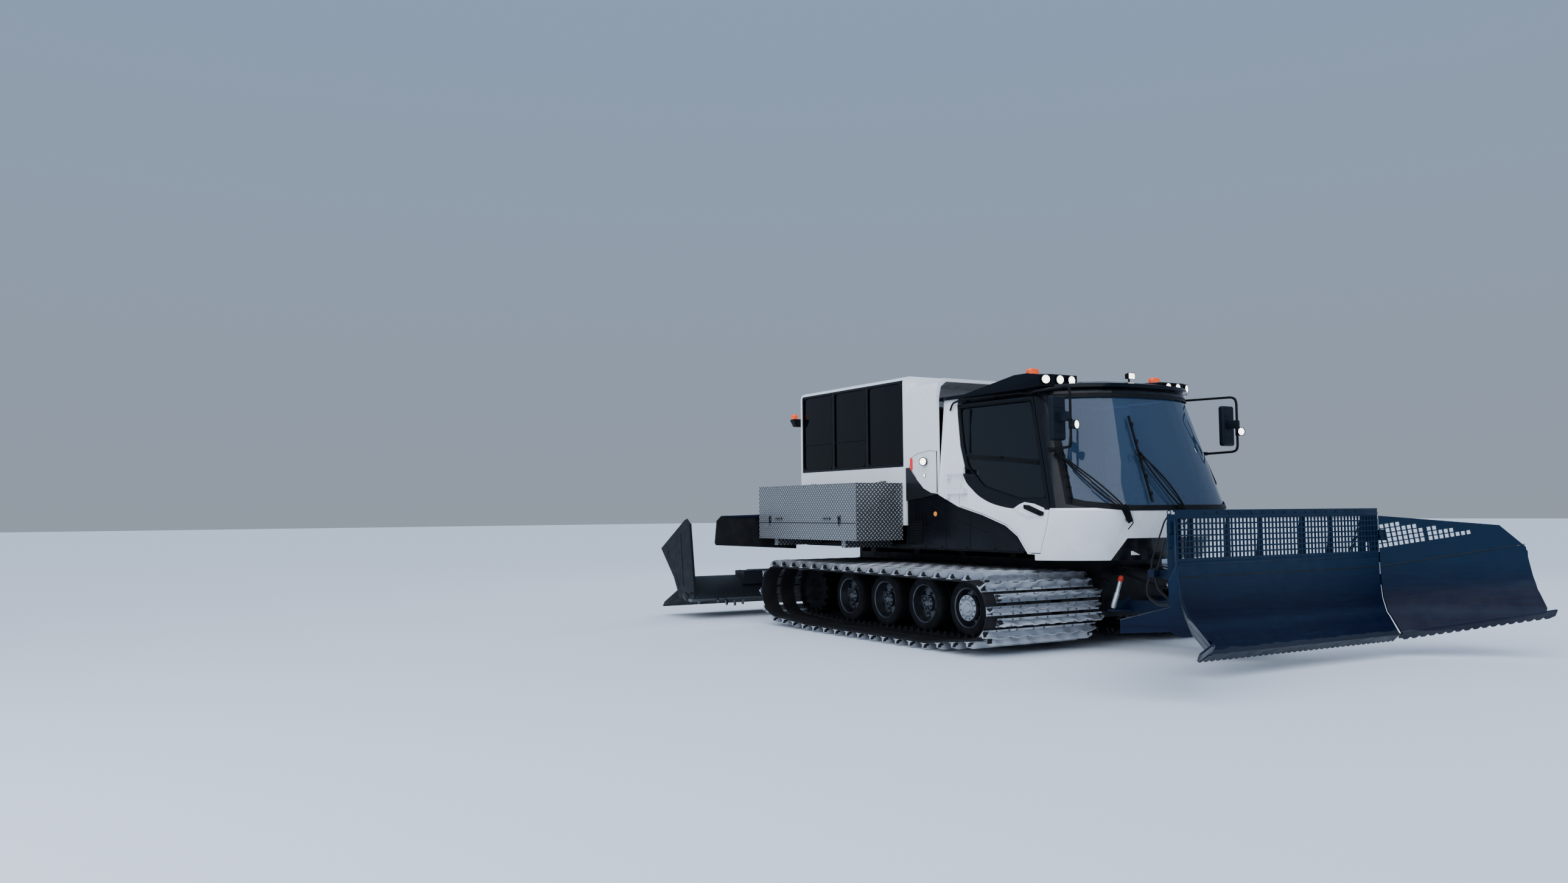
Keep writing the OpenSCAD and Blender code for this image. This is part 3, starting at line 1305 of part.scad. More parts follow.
frame();
wheels_right();
wheels_left();
track_right();
track_left();
engine_block();
engine_housing();
cab_shell();
cab_roof();
door_right();
door_left();
door_glass_right();
door_glass_left();
windscreen();
glazing();
cab_seats();
dashboard();
fairing();
passenger_cabin();
passenger_door();
passenger_door_glass();
passenger_benches();
side_box_right();
side_box_left();
lid_right();
lid_left();
snow_flaps();
lamps();
beacons();
mirrors();
wipers();
lift_frame();
lift_barrels();
lift_rods();
swivel_head();
tilt_head();
blade_middle();
blade_grille();
wing_right();
wing_left();
rear_frame();
rear_barrels();
rear_rods();
swing_head();
tiller_housing();
tiller_rotor();
finisher();
side_finisher_right();
side_finisher_left();
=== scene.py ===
from math import asin, atan2, copysign, cos, exp, floor, hypot, pi, radians, sin

import bmesh
import bpy
from mathutils import Matrix, Vector


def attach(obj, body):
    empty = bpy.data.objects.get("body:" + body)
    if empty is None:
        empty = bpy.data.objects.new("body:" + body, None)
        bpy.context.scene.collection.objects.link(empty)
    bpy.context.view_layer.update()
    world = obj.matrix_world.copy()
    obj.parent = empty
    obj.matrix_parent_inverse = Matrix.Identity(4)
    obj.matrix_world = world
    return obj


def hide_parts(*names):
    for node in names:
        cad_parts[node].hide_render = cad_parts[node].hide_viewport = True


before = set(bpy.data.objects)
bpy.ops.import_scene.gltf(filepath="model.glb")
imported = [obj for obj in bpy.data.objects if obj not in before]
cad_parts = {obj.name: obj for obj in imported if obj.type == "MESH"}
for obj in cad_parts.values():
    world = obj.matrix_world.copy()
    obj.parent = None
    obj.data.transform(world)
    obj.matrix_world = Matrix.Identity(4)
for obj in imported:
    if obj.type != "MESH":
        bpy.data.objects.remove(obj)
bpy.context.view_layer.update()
print("frame loaded")


def clearSelection():
    if bpy.context.object and bpy.context.object.mode != "OBJECT":
        bpy.ops.object.mode_set(mode="OBJECT")
    bpy.ops.object.select_all(action="DESELECT")


def makeActive(piece):
    clearSelection()
    piece.select_set(True)
    bpy.context.view_layer.objects.active = piece
    return piece


def startEdit(piece):
    makeActive(piece)
    bpy.ops.object.mode_set(mode="EDIT")
    bpy.ops.mesh.select_mode(type="VERT")
    bpy.ops.mesh.select_all(action="DESELECT")


def endEdit():
    bpy.ops.object.mode_set(mode="OBJECT")


def pickAll(kind="VERT"):
    bpy.ops.mesh.select_mode(type=kind)
    bpy.ops.mesh.select_all(action="SELECT")


def fixNormals():
    bpy.ops.mesh.select_all(action="SELECT")
    bpy.ops.mesh.normals_make_consistent(inside=False)


def smooth(angle):
    bpy.ops.object.shade_smooth_by_angle(angle=radians(angle))


def settle(piece):
    # the place goes into the mesh, so the object itself stays at the origin
    makeActive(piece)
    bpy.ops.object.transform_apply(location=True, rotation=True, scale=True)
    return piece


def addBlock(name, low, high):
    clearSelection()
    middle = [(a + b) / 2 for a, b in zip(low, high)]
    bpy.ops.mesh.primitive_cube_add(size=1, location=middle)
    piece = bpy.context.object
    piece.name = name
    piece.scale = [b - a for a, b in zip(low, high)]
    return settle(piece)


def addRound(name, start, end, radius, sides=32):
    clearSelection()
    start, end = Vector(start), Vector(end)
    bpy.ops.mesh.primitive_cylinder_add(vertices=sides, radius=radius, depth=(end - start).length,
            location=(start + end) / 2)
    piece = bpy.context.object
    piece.name = name
    piece.rotation_euler = (end - start).to_track_quat("Z", "Y").to_euler()
    return settle(piece)


def pick(piece, kind, test):
    # in edit mode: select the faces, edges or points that pass a test
    bpy.ops.mesh.select_mode(type=kind)
    bpy.ops.mesh.select_all(action="DESELECT")
    mesh = bmesh.from_edit_mesh(piece.data)
    group = {"FACE": mesh.faces, "EDGE": mesh.edges, "VERT": mesh.verts}[kind]
    for part in group:
        if test(part):
            part.select_set(True)
    bmesh.update_edit_mesh(piece.data)


def middleOf(part):
    points = [v.co for v in part.verts]
    return sum(points, Vector()) / len(points)


def push(offset):
    bpy.ops.mesh.extrude_region_move(TRANSFORM_OT_translate={"value": offset})


def shift(offset):
    bpy.ops.transform.translate(value=offset)


def stretch(factors, around):
    bpy.ops.transform.resize(value=factors, center_override=around)


def inset(border):
    bpy.ops.mesh.inset(thickness=border)


def closeLoop(piece):
    # joins the two loose ends of a line
    pick(piece, "VERT", lambda v: len(v.link_edges) == 1)
    bpy.ops.mesh.edge_face_add()


facings = {"front": (1, 0, 0), "rear": (-1, 0, 0), "left": (0, 1, 0), "right": (0, -1, 0), "top": (0, 0, 1),
        "under": (0, 0, -1)}


def pickSide(piece, side):
    # the faces that look to one side, by its name or its direction
    aim = Vector(facings[side] if isinstance(side, str) else side)
    pick(piece, "FACE", lambda f: f.normal.dot(aim) > 0.9)
    return aim


def slopeFace(piece, side, border, out):
    # a border round the side's face, whose middle moves out, or in below zero, with slanting walls
    startEdit(piece)
    aim = pickSide(piece, side)
    inset(border)
    shift(aim * out)
    endEdit()
    return piece


def stepFace(piece, side, border, out):
    # the same with upright walls
    startEdit(piece)
    aim = pickSide(piece, side)
    inset(border)
    push(aim * out)
    endEdit()
    return piece


def addPanel(name, low, high, side, border, out, edge, upright=False, segments=2):
    # a block with a border round one face, that face moved in or out, all edges softened
    piece = addBlock(name, low, high)
    (stepFace if upright else slopeFace)(piece, side, border, out)
    return bevelAll(piece, edge, segments)


def scaleFace(piece, side, factors, around):
    startEdit(piece)
    pickSide(piece, side)
    stretch(factors, around)
    endEdit()
    return piece


def modify(piece, kind, **settings):
    # a modifier with its settings
    modifier = piece.modifiers.new(kind.lower(), kind)
    for key, value in settings.items():
        setattr(modifier, key, value)
    return modifier


def apply(piece, kind, **settings):
    # the same, worked into the mesh at once
    makeActive(piece)
    bpy.ops.object.modifier_apply(modifier=modify(piece, kind, **settings).name)


def bevelAll(piece, width, segments=2, angle=30):
    # bevels every sharp edge of a piece and smooths what is left
    apply(piece, "BEVEL", width=width, segments=segments, limit_method="ANGLE", angle_limit=radians(angle),
            harden_normals=False)
    smooth(40)
    return piece


def addWall(piece, thickness, offset=0.0):
    # a sheet gets its thickness
    apply(piece, "SOLIDIFY", thickness=thickness, offset=offset)


def drawLine(name, points, closed=False):
    # a line of edges drawn point by point, from one vertex of a small plane
    clearSelection()
    bpy.ops.mesh.primitive_plane_add(size=0.01, location=points[0])
    piece = bpy.context.object
    piece.name = name
    bpy.ops.object.transform_apply(location=True)
    bpy.ops.object.mode_set(mode="EDIT")
    pickAll()
    bpy.ops.mesh.merge(type="CENTER")
    here = Vector(points[0])
    for point in points[1:]:
        push(Vector(point) - here)
        here = Vector(point)
    if closed:
        pickAll()
        bpy.ops.mesh.edge_face_add()
    endEdit()
    return piece


def drawPlate(name, points, offset):
    # a closed outline pushed to a thickness
    piece = drawLine(name, points, closed=True)
    startEdit(piece)
    pickAll()
    push(Vector(offset))
    fixNormals()
    endEdit()
    return piece


def drawTube(name, points, radius, bend=0.0, sides=3, closedLoop=False):
    # a bar or hose along a line, with its corners bent round
    piece = drawLine(name, points)
    startEdit(piece)
    if closedLoop:
        closeLoop(piece)
    if bend > 0:
        pick(piece, "VERT", lambda v: len(v.link_edges) == 2)
        bpy.ops.mesh.bevel(offset=bend, segments=5, affect="VERTICES")
    endEdit()
    makeActive(piece)
    bpy.ops.object.convert(target="CURVE")
    piece = bpy.context.object
    piece.data.dimensions = "3D"
    piece.data.bevel_depth = radius
    piece.data.bevel_resolution = sides
    piece.data.use_fill_caps = True
    bpy.ops.object.convert(target="MESH")
    piece = bpy.context.object
    smooth(50)
    return piece


def spinProfile(name, points, axisPoint, axis, steps=48):
    # an outline turned once round an axis
    piece = drawLine(name, points)
    startEdit(piece)
    pickAll()
    bpy.ops.mesh.spin(steps=steps, angle=2 * pi, center=axisPoint, axis=axis)
    pickAll()
    bpy.ops.mesh.remove_doubles(threshold=0.0002)
    fixNormals()
    endEdit()
    makeActive(piece)
    smooth(38)
    return piece


def lathe(name, profile, spot, aim, side, steps):
    # an outline of (along, radius) turned round the line through spot
    return spinProfile(name, [spot + aim * a + side * r for a, r in profile], spot, aim, steps)


def copyOf(piece, name, matrix):
    # a copy with its own mesh, moved by a matrix
    other = bpy.data.objects.new(name, piece.data.copy())
    bpy.context.scene.collection.objects.link(other)
    other.data.transform(matrix)
    if matrix.determinant() < 0:
        other.data.flip_normals()
    return other


def mirrored(piece, name):
    return copyOf(piece, name, Matrix.Scale(-1, 4, (0, 1, 0)))


def joined(name, pieces):
    makeActive(pieces[0])
    for piece in pieces[1:]:
        piece.select_set(True)
    bpy.ops.object.join()
    whole = bpy.context.object
    whole.name = name
    return whole


def fit(piece, body, slot, finish, *stoodFor):
    # hands a finished piece to the frame: its body, finish and the node it stands for
    piece.data.materials.clear()
    piece.data.materials.append(paint[finish])
    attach(piece, body)
    if stoodFor:
        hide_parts(*stoodFor)
    return piece


def fitPair(piece, name, bodies, slot, finish):
    # the same piece on both sides: the left one is mirrored from the right
    first, second = (bodies, bodies) if isinstance(bodies, str) else bodies
    other = mirrored(piece, name + "Left")
    piece.name = name + "Right"
    fit(piece, first, slot, finish)
    fit(other, second, slot, finish)


# camera, light and floor
cameraPlace = {"spot": (10.308, -9.431, 1.441), "lens": 26.256, "yaw": 30.81, "pitch": 3.52, "roll": -0.47}


def makeCamera():
    yaw, pitch, roll = (radians(cameraPlace[k]) for k in ("yaw", "pitch", "roll"))
    ahead = Vector((-cos(yaw) * cos(pitch), sin(yaw) * cos(pitch), sin(pitch)))
    side = ahead.cross(Vector((0, 0, 1))).normalized()
    up = side.cross(ahead)
    sideTurned = side * cos(roll) + up * sin(roll)
    upTurned = up * cos(roll) - side * sin(roll)
    turn = Matrix((sideTurned, upTurned, -ahead)).transposed().to_4x4()
    lens = bpy.data.cameras.new("camera")
    lens.lens = cameraPlace["lens"]
    lens.sensor_width = 36
    lens.clip_end = 200
    camera = bpy.data.objects.new("camera", lens)
    camera.matrix_world = Matrix.Translation(cameraPlace["spot"]) @ turn
    bpy.context.scene.collection.objects.link(camera)
    bpy.context.scene.camera = camera


def makeLight(name, spot, aim, size, power, colour):
    lamp = bpy.data.lights.new(name, "AREA")
    lamp.size = size
    lamp.energy = power
    lamp.color = colour
    holder = bpy.data.objects.new(name, lamp)
    holder.location = spot
    holder.visible_glossy = False    # lights the paint but leaves no bright square in the glass
    holder.rotation_euler = (Vector(aim) - Vector(spot)).to_track_quat("-Z", "Y").to_euler()
    bpy.context.scene.collection.objects.link(holder)


def makeSurroundings():
    world = bpy.data.worlds.new("studio")
    bpy.context.scene.world = world
    world.use_nodes = True
    nodes, links = world.node_tree.nodes, world.node_tree.links
    where = nodes.new("ShaderNodeTexCoord")
    split = nodes.new("ShaderNodeSeparateXYZ")
    shade = nodes.new("ShaderNodeValToRGB")
    shade.color_ramp.elements[0].color = (0.5, 0.58, 0.7, 1)
    shade.color_ramp.elements[1].color = (0.42, 0.62, 0.95, 1)
    shade.color_ramp.elements[0].position = 0.0
    shade.color_ramp.elements[1].position = 0.55
    links.new(where.outputs["Generated"], split.inputs[0])
    links.new(split.outputs["Z"], shade.inputs["Fac"])
    links.new(shade.outputs["Color"], nodes["Background"].inputs["Color"])
    nodes["Background"].inputs["Strength"].default_value = 0.62
    # a wide soft lamp far above, the same over the whole floor
    sky = bpy.data.lights.new("softSky", "SUN")
    sky.energy, sky.angle, sky.color = 2.5, 1.4, (0.92, 0.95, 1.0)
    skyHolder = bpy.data.objects.new("softSky", sky)
    skyHolder.rotation_euler = (Vector((0, 0, 0)) - Vector((5, -6, 12))).to_track_quat("-Z", "Y").to_euler()
    bpy.context.scene.collection.objects.link(skyHolder)
    makeLight("sidePanel", (6, -14, 6), (0, 0, 1.2), 9, 900, (0.88, 0.94, 1.0))
    makeLight("warmPanel", (-9, 10, 7), (0, 0, 1.5), 6, 600, (1.0, 0.9, 0.76))
    makeLight("frontPanel", (13, 2, 6), (2, 0, 1.2), 9, 380, (0.8, 0.9, 1.0))
    clearSelection()
    bpy.ops.mesh.primitive_plane_add(size=260)
    ground = bpy.context.object
    ground.name = "floor"
    stone = bpy.data.materials.new("paleFloor")
    stone.use_nodes = True
    shader = stone.node_tree.nodes["Principled BSDF"]
    shader.inputs["Base Color"].default_value = (0.74, 0.79, 0.87, 1)
    shader.inputs["Roughness"].default_value = 0.85
    ground.data.materials.append(stone)


makeCamera()
makeSurroundings()
print("camera, light and floor made")


# tools for the materials
def startMaterial(name, colour, roughness, metallic=0.0, coat=0.0, specular=0.5):
    m = bpy.data.materials.new(name)
    m.use_nodes = True
    shader = m.node_tree.nodes["Principled BSDF"]
    for socket, value in (("Base Color", (*colour, 1)), ("Roughness", roughness), ("Metallic", metallic),
            ("Specular IOR Level", specular), ("Coat Weight", coat), ("Coat Roughness", 0.08)):
        shader.inputs[socket].default_value = value
    return m


def put(m, kind, inputs=None, **settings):
    # one node with its settings; an input is a number, a colour or another node's output
    node = m.node_tree.nodes.new("ShaderNode" + kind)
    for key, value in settings.items():
        setattr(node, key, value)
    for key, value in (inputs or {}).items():
        if isinstance(value, bpy.types.NodeSocket):
            m.node_tree.links.new(value, node.inputs[key])
        else:
            node.inputs[key].default_value = value
    return node


def wire(m, socket, output):
    shader = m.node_tree.nodes["Principled BSDF"]
    m.node_tree.links.new(output, shader.inputs[socket])


def spotOf(m, stretched=(1, 1, 1)):
    # Object coordinates, stretched where a pattern needs it
    where = put(m, "TexCoord").outputs["Object"]
    if stretched == (1, 1, 1):
        return where
    return put(m, "Mapping", {"Vector": where, "Scale": stretched}).outputs["Vector"]


def noiseOf(m, scale, detail, stretched=(1, 1, 1), roughness=0.55):
    return put(m, "TexNoise", {"Vector": spotOf(m, stretched), "Scale": scale, "Detail": detail,
            "Roughness": roughness}).outputs["Fac"]


def sums(m, operation, a, b=0.0, c=0.0, clamp=False):
    return put(m, "Math", {0: a, 1: b, 2: c}, operation=operation, use_clamp=clamp).outputs[0]


def times(m, a, b):
    return sums(m, "MULTIPLY", a, b)


def plus(m, a, b):
    return sums(m, "ADD", a, b)


def less(m, a, b):
    return sums(m, "SUBTRACT", a, b)


def above(m, a, b):
    return sums(m, "GREATER_THAN", a, b)


def below(m, a, b):
    return sums(m, "LESS_THAN", a, b)


def most(m, a, b):
    return sums(m, "MAXIMUM", a, b)


def sizeOf(m, a):
    return sums(m, "ABSOLUTE", a)


def toned(colour, share, lift=0.0):
    return tuple(min(1, c * share + lift) for c in colour)


def span(m, value, low, high, newLow=0.0, newHigh=1.0):
    return put(m, "MapRange", {"Value": value, "From Min": low, "From Max": high, "To Min": newLow,
            "To Max": newHigh}).outputs["Result"]


def blendColours(m, share, first, second):
    node = put(m, "Mix", data_type="RGBA")
    for index, value in ((0, share), (6, first), (7, second)):
        if isinstance(value, bpy.types.NodeSocket):
            m.node_tree.links.new(value, node.inputs[index])
        else:
            node.inputs[index].default_value = value if index == 0 else (*value, 1)
    return node.outputs[2]


def axesOf(m):
    split = put(m, "SeparateXYZ", {"Vector": spotOf(m)})
    return split.outputs["X"], split.outputs["Y"], split.outputs["Z"]


def bumpFrom(m, height, strength, distance):
    wire(m, "Normal",
            put(m, "Bump", {"Height": height, "Strength": strength, "Distance": distance}).outputs["Normal"])


def unevenGloss(m, scale, detail, low, high, stretched=(1, 1, 1)):
    wire(m, "Roughness", span(m, noiseOf(m, scale, detail, stretched), 0.3, 0.7, low, high))


def paintGrain(m, low, high, bump=0.06):
    # orange peel in the paint and an uneven gloss
    unevenGloss(m, 5.5, 6.0, low, high)
    bumpFrom(m, noiseOf(m, 228.0, 2.0), bump, 0.002)


def roadDust(m, clean, low, high, amount, dirty="grime"):
    # splash that gets thicker towards the ground, broken up by noise
    patches = span(m, noiseOf(m, 3.2, 8.0), 0.35, 0.68)
    height = span(m, axesOf(m)[2], high, low)
    share = sums(m, "MULTIPLY", times(m, height, patches), amount, clamp=True)
    return blendColours(m, share, tones[clean], tones[dirty])


# finishes
tones = {"white": (0.86, 0.87, 0.89), "cabinWhite": (0.84, 0.85, 0.87), "grime": (0.33, 0.34, 0.35),
        "panelBlack": (0.0015, 0.002, 0.0035), "roof": (0.0018, 0.0028, 0.0055), "chassis": (0.005, 0.0055, 0.007),
        "rubber": (0.006, 0.006, 0.007), "rimGrey": (0.16, 0.17, 0.185), "aluminium": (0.62, 0.64, 0.67),
        "blade": (0.0018, 0.012, 0.031), "bladeDark": (0.0003, 0.0018, 0.0125), "steel": (0.22, 0.23, 0.25),
        "toolNavy": (0.002, 0.007, 0.02), "plate": (0.42, 0.44, 0.47), "splash": (0.02, 0.023, 0.028)}

# where the door's black frame ends: place along the vehicle, height
doorLine = [(0.15, 3.2), (0.235, 2.3), (0.3, 2.03), (0.4, 1.8), (0.55, 1.665), (0.75, 1.555), (1.05, 1.475),
        (1.28, 1.452), (1.8, 1.44)]


def whiteAndBlack(m, black, clean, dust, gloss, bump=0.06):
    # white with splash on it, black where the mask says so
    white = roadDust(m, clean, *dust)
    wire(m, "Base Color", blendColours(m, black, white, tones["panelBlack"]))
    paintGrain(m, *gloss, bump)
    return m


def paintedWhite():
    m = startMaterial("whitePaint", tones["white"], 0.3, coat=0.6)
    wire(m, "Base Color", roadDust(m, "white", 0.9, 1.7, 0.35))
    paintGrain(m, 0.22, 0.42)
    return m


def fairingPaint():
    # white lamp panel; below its curved edge the black of the engine side runs on, here as the highest of four lines
    m = startMaterial("fairingPaint", tones["white"], 0.3, coat=0.6)
    x, z = axesOf(m)[::2]
    edge = -9.0
    for slope, high in ((-1.08, 1.346), (-0.83, 1.451), (-0.393, 1.582), (-0.1, 1.629)):
        edge = most(m, plus(m, times(m, x, slope), high), edge)
    black = times(m, below(m, z, edge), below(m, z, 1.951))
    return whiteAndBlack(m, black, "white", (0.9, 1.7, 0.35), (0.22, 0.42))


def cabinPaint():
    m = startMaterial("cabinPaint", tones["cabinWhite"], 0.36, coat=0.12, specular=0.3)
    # the three side panes sit in one black panel
    x, y, z = axesOf(m)
    inLength = below(m, sizeOf(m, plus(m, x, 1.8225)), 1.1425)
    inHeight = below(m, sizeOf(m, less(m, z, 2.485)), 0.52)
    outside = above(m, sizeOf(m, y), 1.14)
    panel = times(m, times(m, inLength, inHeight), outside)
    return whiteAndBlack(m, panel, "cabinWhite", (1.2, 2.2, 0.3), (0.3, 0.5), 0.09)


def cabPaint():
    # white body with black pillars, black roof edge and a black lower front
    m = startMaterial("cabPaint", tones["white"], 0.25, coat=0.12, specular=0.3)
    x, y, z = axesOf(m)
    pillarX = put(m, "MapRange", {"Value": z, "From Min": 1.49, "From Max": 2.64, "To Min": 1.7, "To Max": 1.315},
            clamp=False).outputs["Result"]
    pillar = times(m, above(m, x, pillarX), above(m, z, 1.455))
    top = times(m, above(m, z, 2.6), above(m, x, 0.2))
    side = sizeOf(m, y)
    chinSide = less(m, 0.678, times(m, less(m, z, 0.905), 0.304))
    low = times(m, below(m, z, 1.15), above(m, x, 1.9))
    chin = times(m, low, below(m, side, chinSide))
    lining = times(m, below(m, side, 1.02), below(m, x, 1.75))
    black = most(m, most(m, pillar, top), most(m, chin, lining))
    return whiteAndBlack(m, black, "white", (0.85, 1.5, 0.3), (0.18, 0.36))


def doorPaint():
    m = startMaterial("doorPaint", tones["white"], 0.25, coat=0.12, specular=0.3)
    x, y, z = axesOf(m)
    curve = put(m, "FloatCurve", {"Value": sums(m, "DIVIDE", x, 2.0)})
    line = curve.mapping.curves[0]
    for index, (along, high) in enumerate(doorLine):
        if index < 2:
            line.points[index].location = (along / 2, high / 4)
        else:
            line.points.new(along / 2, high / 4)
    for point in line.points:
        point.handle_type = "AUTO"
    curve.mapping.update()
    overLine = above(m, z, times(m, curve.outputs[0], 4.0))
    front = times(m, above(m, z, 1.452), above(m, x, 1.2))
    # the hinge straps stand proud of the skin and stay white
    skin = below(m, sizeOf(m, y), 1.245)
    black = times(m, most(m, overLine, front), skin)
    return whiteAndBlack(m, black, "white", (0.85, 1.5, 0.3), (0.18, 0.36))


def glossBlack(name="glossBlack", colour="panelBlack", low=0.12, high=0.34):
    m = startMaterial(name, tones[colour], 0.2, coat=0.04, specular=0.14)
    wire(m, "Base Color", roadDust(m, colour, 0.9, 1.9, 0.15, "splash"))
    paintGrain(m, low, high, bump=0.04)
    return m


def darkPaint(name, colour, worn, low, high):
    # painted steel with chips down to the metal and rubbed dust
    m = startMaterial(name, colour, 0.45, specular=0.22)
    chips = span(m, noiseOf(m, 24.0, 9.0, roughness=0.7), 0.66, 0.7)
    dust = span(m, noiseOf(m, 2.4, 7.0), 0.42, 0.75)
    base = blendColours(m, times(m, dust, 0.35), colour, toned(colour, 1.8, 0.008))
    wire(m, "Base Color", blendColours(m, times(m, chips, 0.8), base, worn))
    unevenGloss(m, 7.0, 6.0, low, high)
    bumpFrom(m, noiseOf(m, 90.0, 5.0), 0.12, 0.002)
    return m


def bladePaint():
    # painted shade: darker in the hollow of the curve; a painted highlight on the band low on the curve that faces up;
    # streaked by snow, bright where the edge wears
    m = startMaterial("bladePaint", tones["blade"], 0.42, specular=0.16)
    z = axesOf(m)[2]
    # painted shade: the hollow of the curve is darkened by height
    hollow = span(m, z, 0.55, 0.92)
    tone = blendColours(m, hollow, tones["bladeDark"], tones["blade"])
    # painted highlight: a lighter band where the curve faces up to the light
    paintedHighlightBand = span(m, sizeOf(m, less(m, z, 0.43)), 0.07, 0.0)
    tone = blendColours(m, times(m, paintedHighlightBand, 0.35), tone, (0.008, 0.017, 0.036))
    streaks = span(m, noiseOf(m, 9.0, 8.0, (0.35, 0.35, 6.0)), 0.45, 0.72)
    tone = blendColours(m, times(m, streaks, 0.18), tone, (0.004, 0.022, 0.058))
    scratches = span(m, noiseOf(m, 30.0, 9.0, (0.15, 0.15, 9.0)), 0.66, 0.7)
    tone = blendColours(m, times(m, scratches, 0.2), tone, (0.03, 0.05, 0.085))
    ragged = plus(m, 0.225, times(m, noiseOf(m, 7.0, 6.0), 0.05))
    edge = below(m, z, ragged)
    tone = blendColours(m, times(m, edge, 0.8), tone, (0.03, 0.036, 0.05))
    wire(m, "Base Color", tone)
    wire(m, "Metallic", times(m, edge, 0.45))
    unevenGloss(m, 6.0, 7.0, 0.3, 0.55)
    bumpFrom(m, noiseOf(m, 26.0, 6.0, (0.4, 0.4, 3.0)), 0.16, 0.003)
    return m


def treadPlate(name, tone):
    # checker plate: raised lozenges that lie to the left and right in turn, on every side of the box
    m = startMaterial(name, tone, 0.32, metallic=0.35, specular=0.4)
    x, y, z = axesOf(m)
    facing = put(m, "SeparateXYZ", {"Vector": put(m, "NewGeometry").outputs["Normal"]})
    flatTop = above(m, sizeOf(m, facing.outputs["Z"]), 0.7)
    endOn = above(m, sizeOf(m, facing.outputs["X"]), 0.7)
    across = put(m, "Mix", {0: endOn, 2: x, 3: y}, data_type="FLOAT").outputs[0]
    upward = put(m, "Mix", {0: flatTop, 2: z, 3: y}, data_type="FLOAT").outputs[0]
    pitch = 0.038
    a = sums(m, "DIVIDE", plus(m, across, upward), pitch * 1.414)
    b = sums(m, "DIVIDE", less(m, across, upward), pitch * 1.414)
    parity = sums(m, "MODULO", sizeOf(m, plus(m, sums(m, "FLOOR", a), sums(m, "FLOOR", b))), 2.0)
    u = less(m, sums(m, "FRACT", a), 0.5)
    v = less(m, sums(m, "FRACT", b), 0.5)
    longWay = put(m, "Mix", {0: parity, 2: u, 3: v}, data_type="FLOAT").outputs[0]
    shortWay = put(m, "Mix", {0: parity, 2: v, 3: u}, data_type="FLOAT").outputs[0]
    reach = plus(m, sums(m, "POWER", sums(m, "DIVIDE", sizeOf(m, longWay), 0.46), 2.0),
            sums(m, "POWER", sums(m, "DIVIDE", sizeOf(m, shortWay), 0.17), 2.0))
    lozenge = span(m, reach, 1.0, 0.55)
    stain = span(m, noiseOf(m, 2.6, 8.0), 0.35, 0.7)
    # painted shade: the ends that face along the vehicle get a much darker ground than the sides
    ground = blendColours(m, endOn, toned(tone, 0.26), toned(tone, 0.09))
    ground = blendColours(m, times(m, stain, 0.25), ground, toned(tone, 0.35))
    wire(m, "Base Color", blendColours(m, lozenge, ground, toned(tone, 1.25)))
    unevenGloss(m, 14.0, 6.0, 0.24, 0.42)
    bumpFrom(m, lozenge, 0.35, 0.003)
    return m


def bareMetal(name, colour, low, high, scale=30.0, dirt=0.3):
    m = startMaterial(name, colour, 0.3, metallic=1.0)
    patches = span(m, noiseOf(m, 6.0, 8.0), 0.4, 0.72)
    wire(m, "Base Color", blendColours(m, times(m, patches, dirt), colour, toned(colour, 0.4)))
    unevenGloss(m, scale, 7.0, low, high)
    bumpFrom(m, noiseOf(m, scale, 6.0), 0.1, 0.001)
    return m


def rubber(name="rubber", scale=60.0):
    m = startMaterial(name, tones["rubber"], 0.75, specular=0.2)
    worn = span(m, noiseOf(m, 5.0, 8.0), 0.4, 0.75)
    wire(m, "Base Color", blendColours(m, times(m, worn, 0.45), tones["rubber"], (0.024, 0.026, 0.029)))
    unevenGloss(m, 12.0, 5.0, 0.6, 0.9)
    bumpFrom(m, noiseOf(m, scale, 7.0), 0.35, 0.003)
    return m


def mouldedPlastic(name, colour, scale=320.0):
    # fine moulded grain
    m = startMaterial(name, colour, 0.5, specular=0.16)
    grain = put(m, "TexVoronoi", {"Vector": spotOf(m), "Scale": scale}).outputs["Distance"]
    wire(m, "Base Color", blendColours(m, times(m, noiseOf(m, 6.0, 6.0), 0.5), colour, toned(colour, 1.9, 0.002)))
    unevenGloss(m, 9.0, 5.0, 0.42, 0.62)
    bumpFrom(m, grain, 0.22, 0.001)
    return m


def seatCloth():
    # fine twill: two sets of threads on Object coordinates
    m = startMaterial("seatCloth", (0.03, 0.032, 0.038), 0.9)
    m.node_tree.nodes["Principled BSDF"].inputs["Sheen Weight"].default_value = 0.35
    warp = put(m, "TexWave", {"Vector": spotOf(m, (1, 1, 0.6)), "Scale": 260.0},
            bands_direction="DIAGONAL").outputs["Fac"]
    weft = put(m, "TexWave", {"Vector": spotOf(m, (-1, 1, 1)), "Scale": 240.0},
            bands_direction="DIAGONAL").outputs["Fac"]
    weave = times(m, warp, weft)
    mottle = noiseOf(m, 55.0, 4.0)
    wire(m, "Base Color", blendColours(m, times(m, plus(m, weave, mottle), 0.5), (0.018, 0.019, 0.023),
            (0.085, 0.09, 0.1)))
    bumpFrom(m, weave, 0.5, 0.001)
    return m


def vinyl():
    m = startMaterial("benchVinyl", (0.02, 0.032, 0.075), 0.5, coat=0.15)
    creases = put(m, "TexVoronoi", {"Vector": spotOf(m), "Scale": 170.0},
            feature="DISTANCE_TO_EDGE").outputs["Distance"]
    wire(m, "Base Color", blendColours(m, noiseOf(m, 5.0, 6.0), (0.014, 0.024, 0.06), (0.032, 0.048, 0.1)))
    unevenGloss(m, 10.0, 5.0, 0.38, 0.58)
    bumpFrom(m, creases, 0.3, 0.001)
    return m


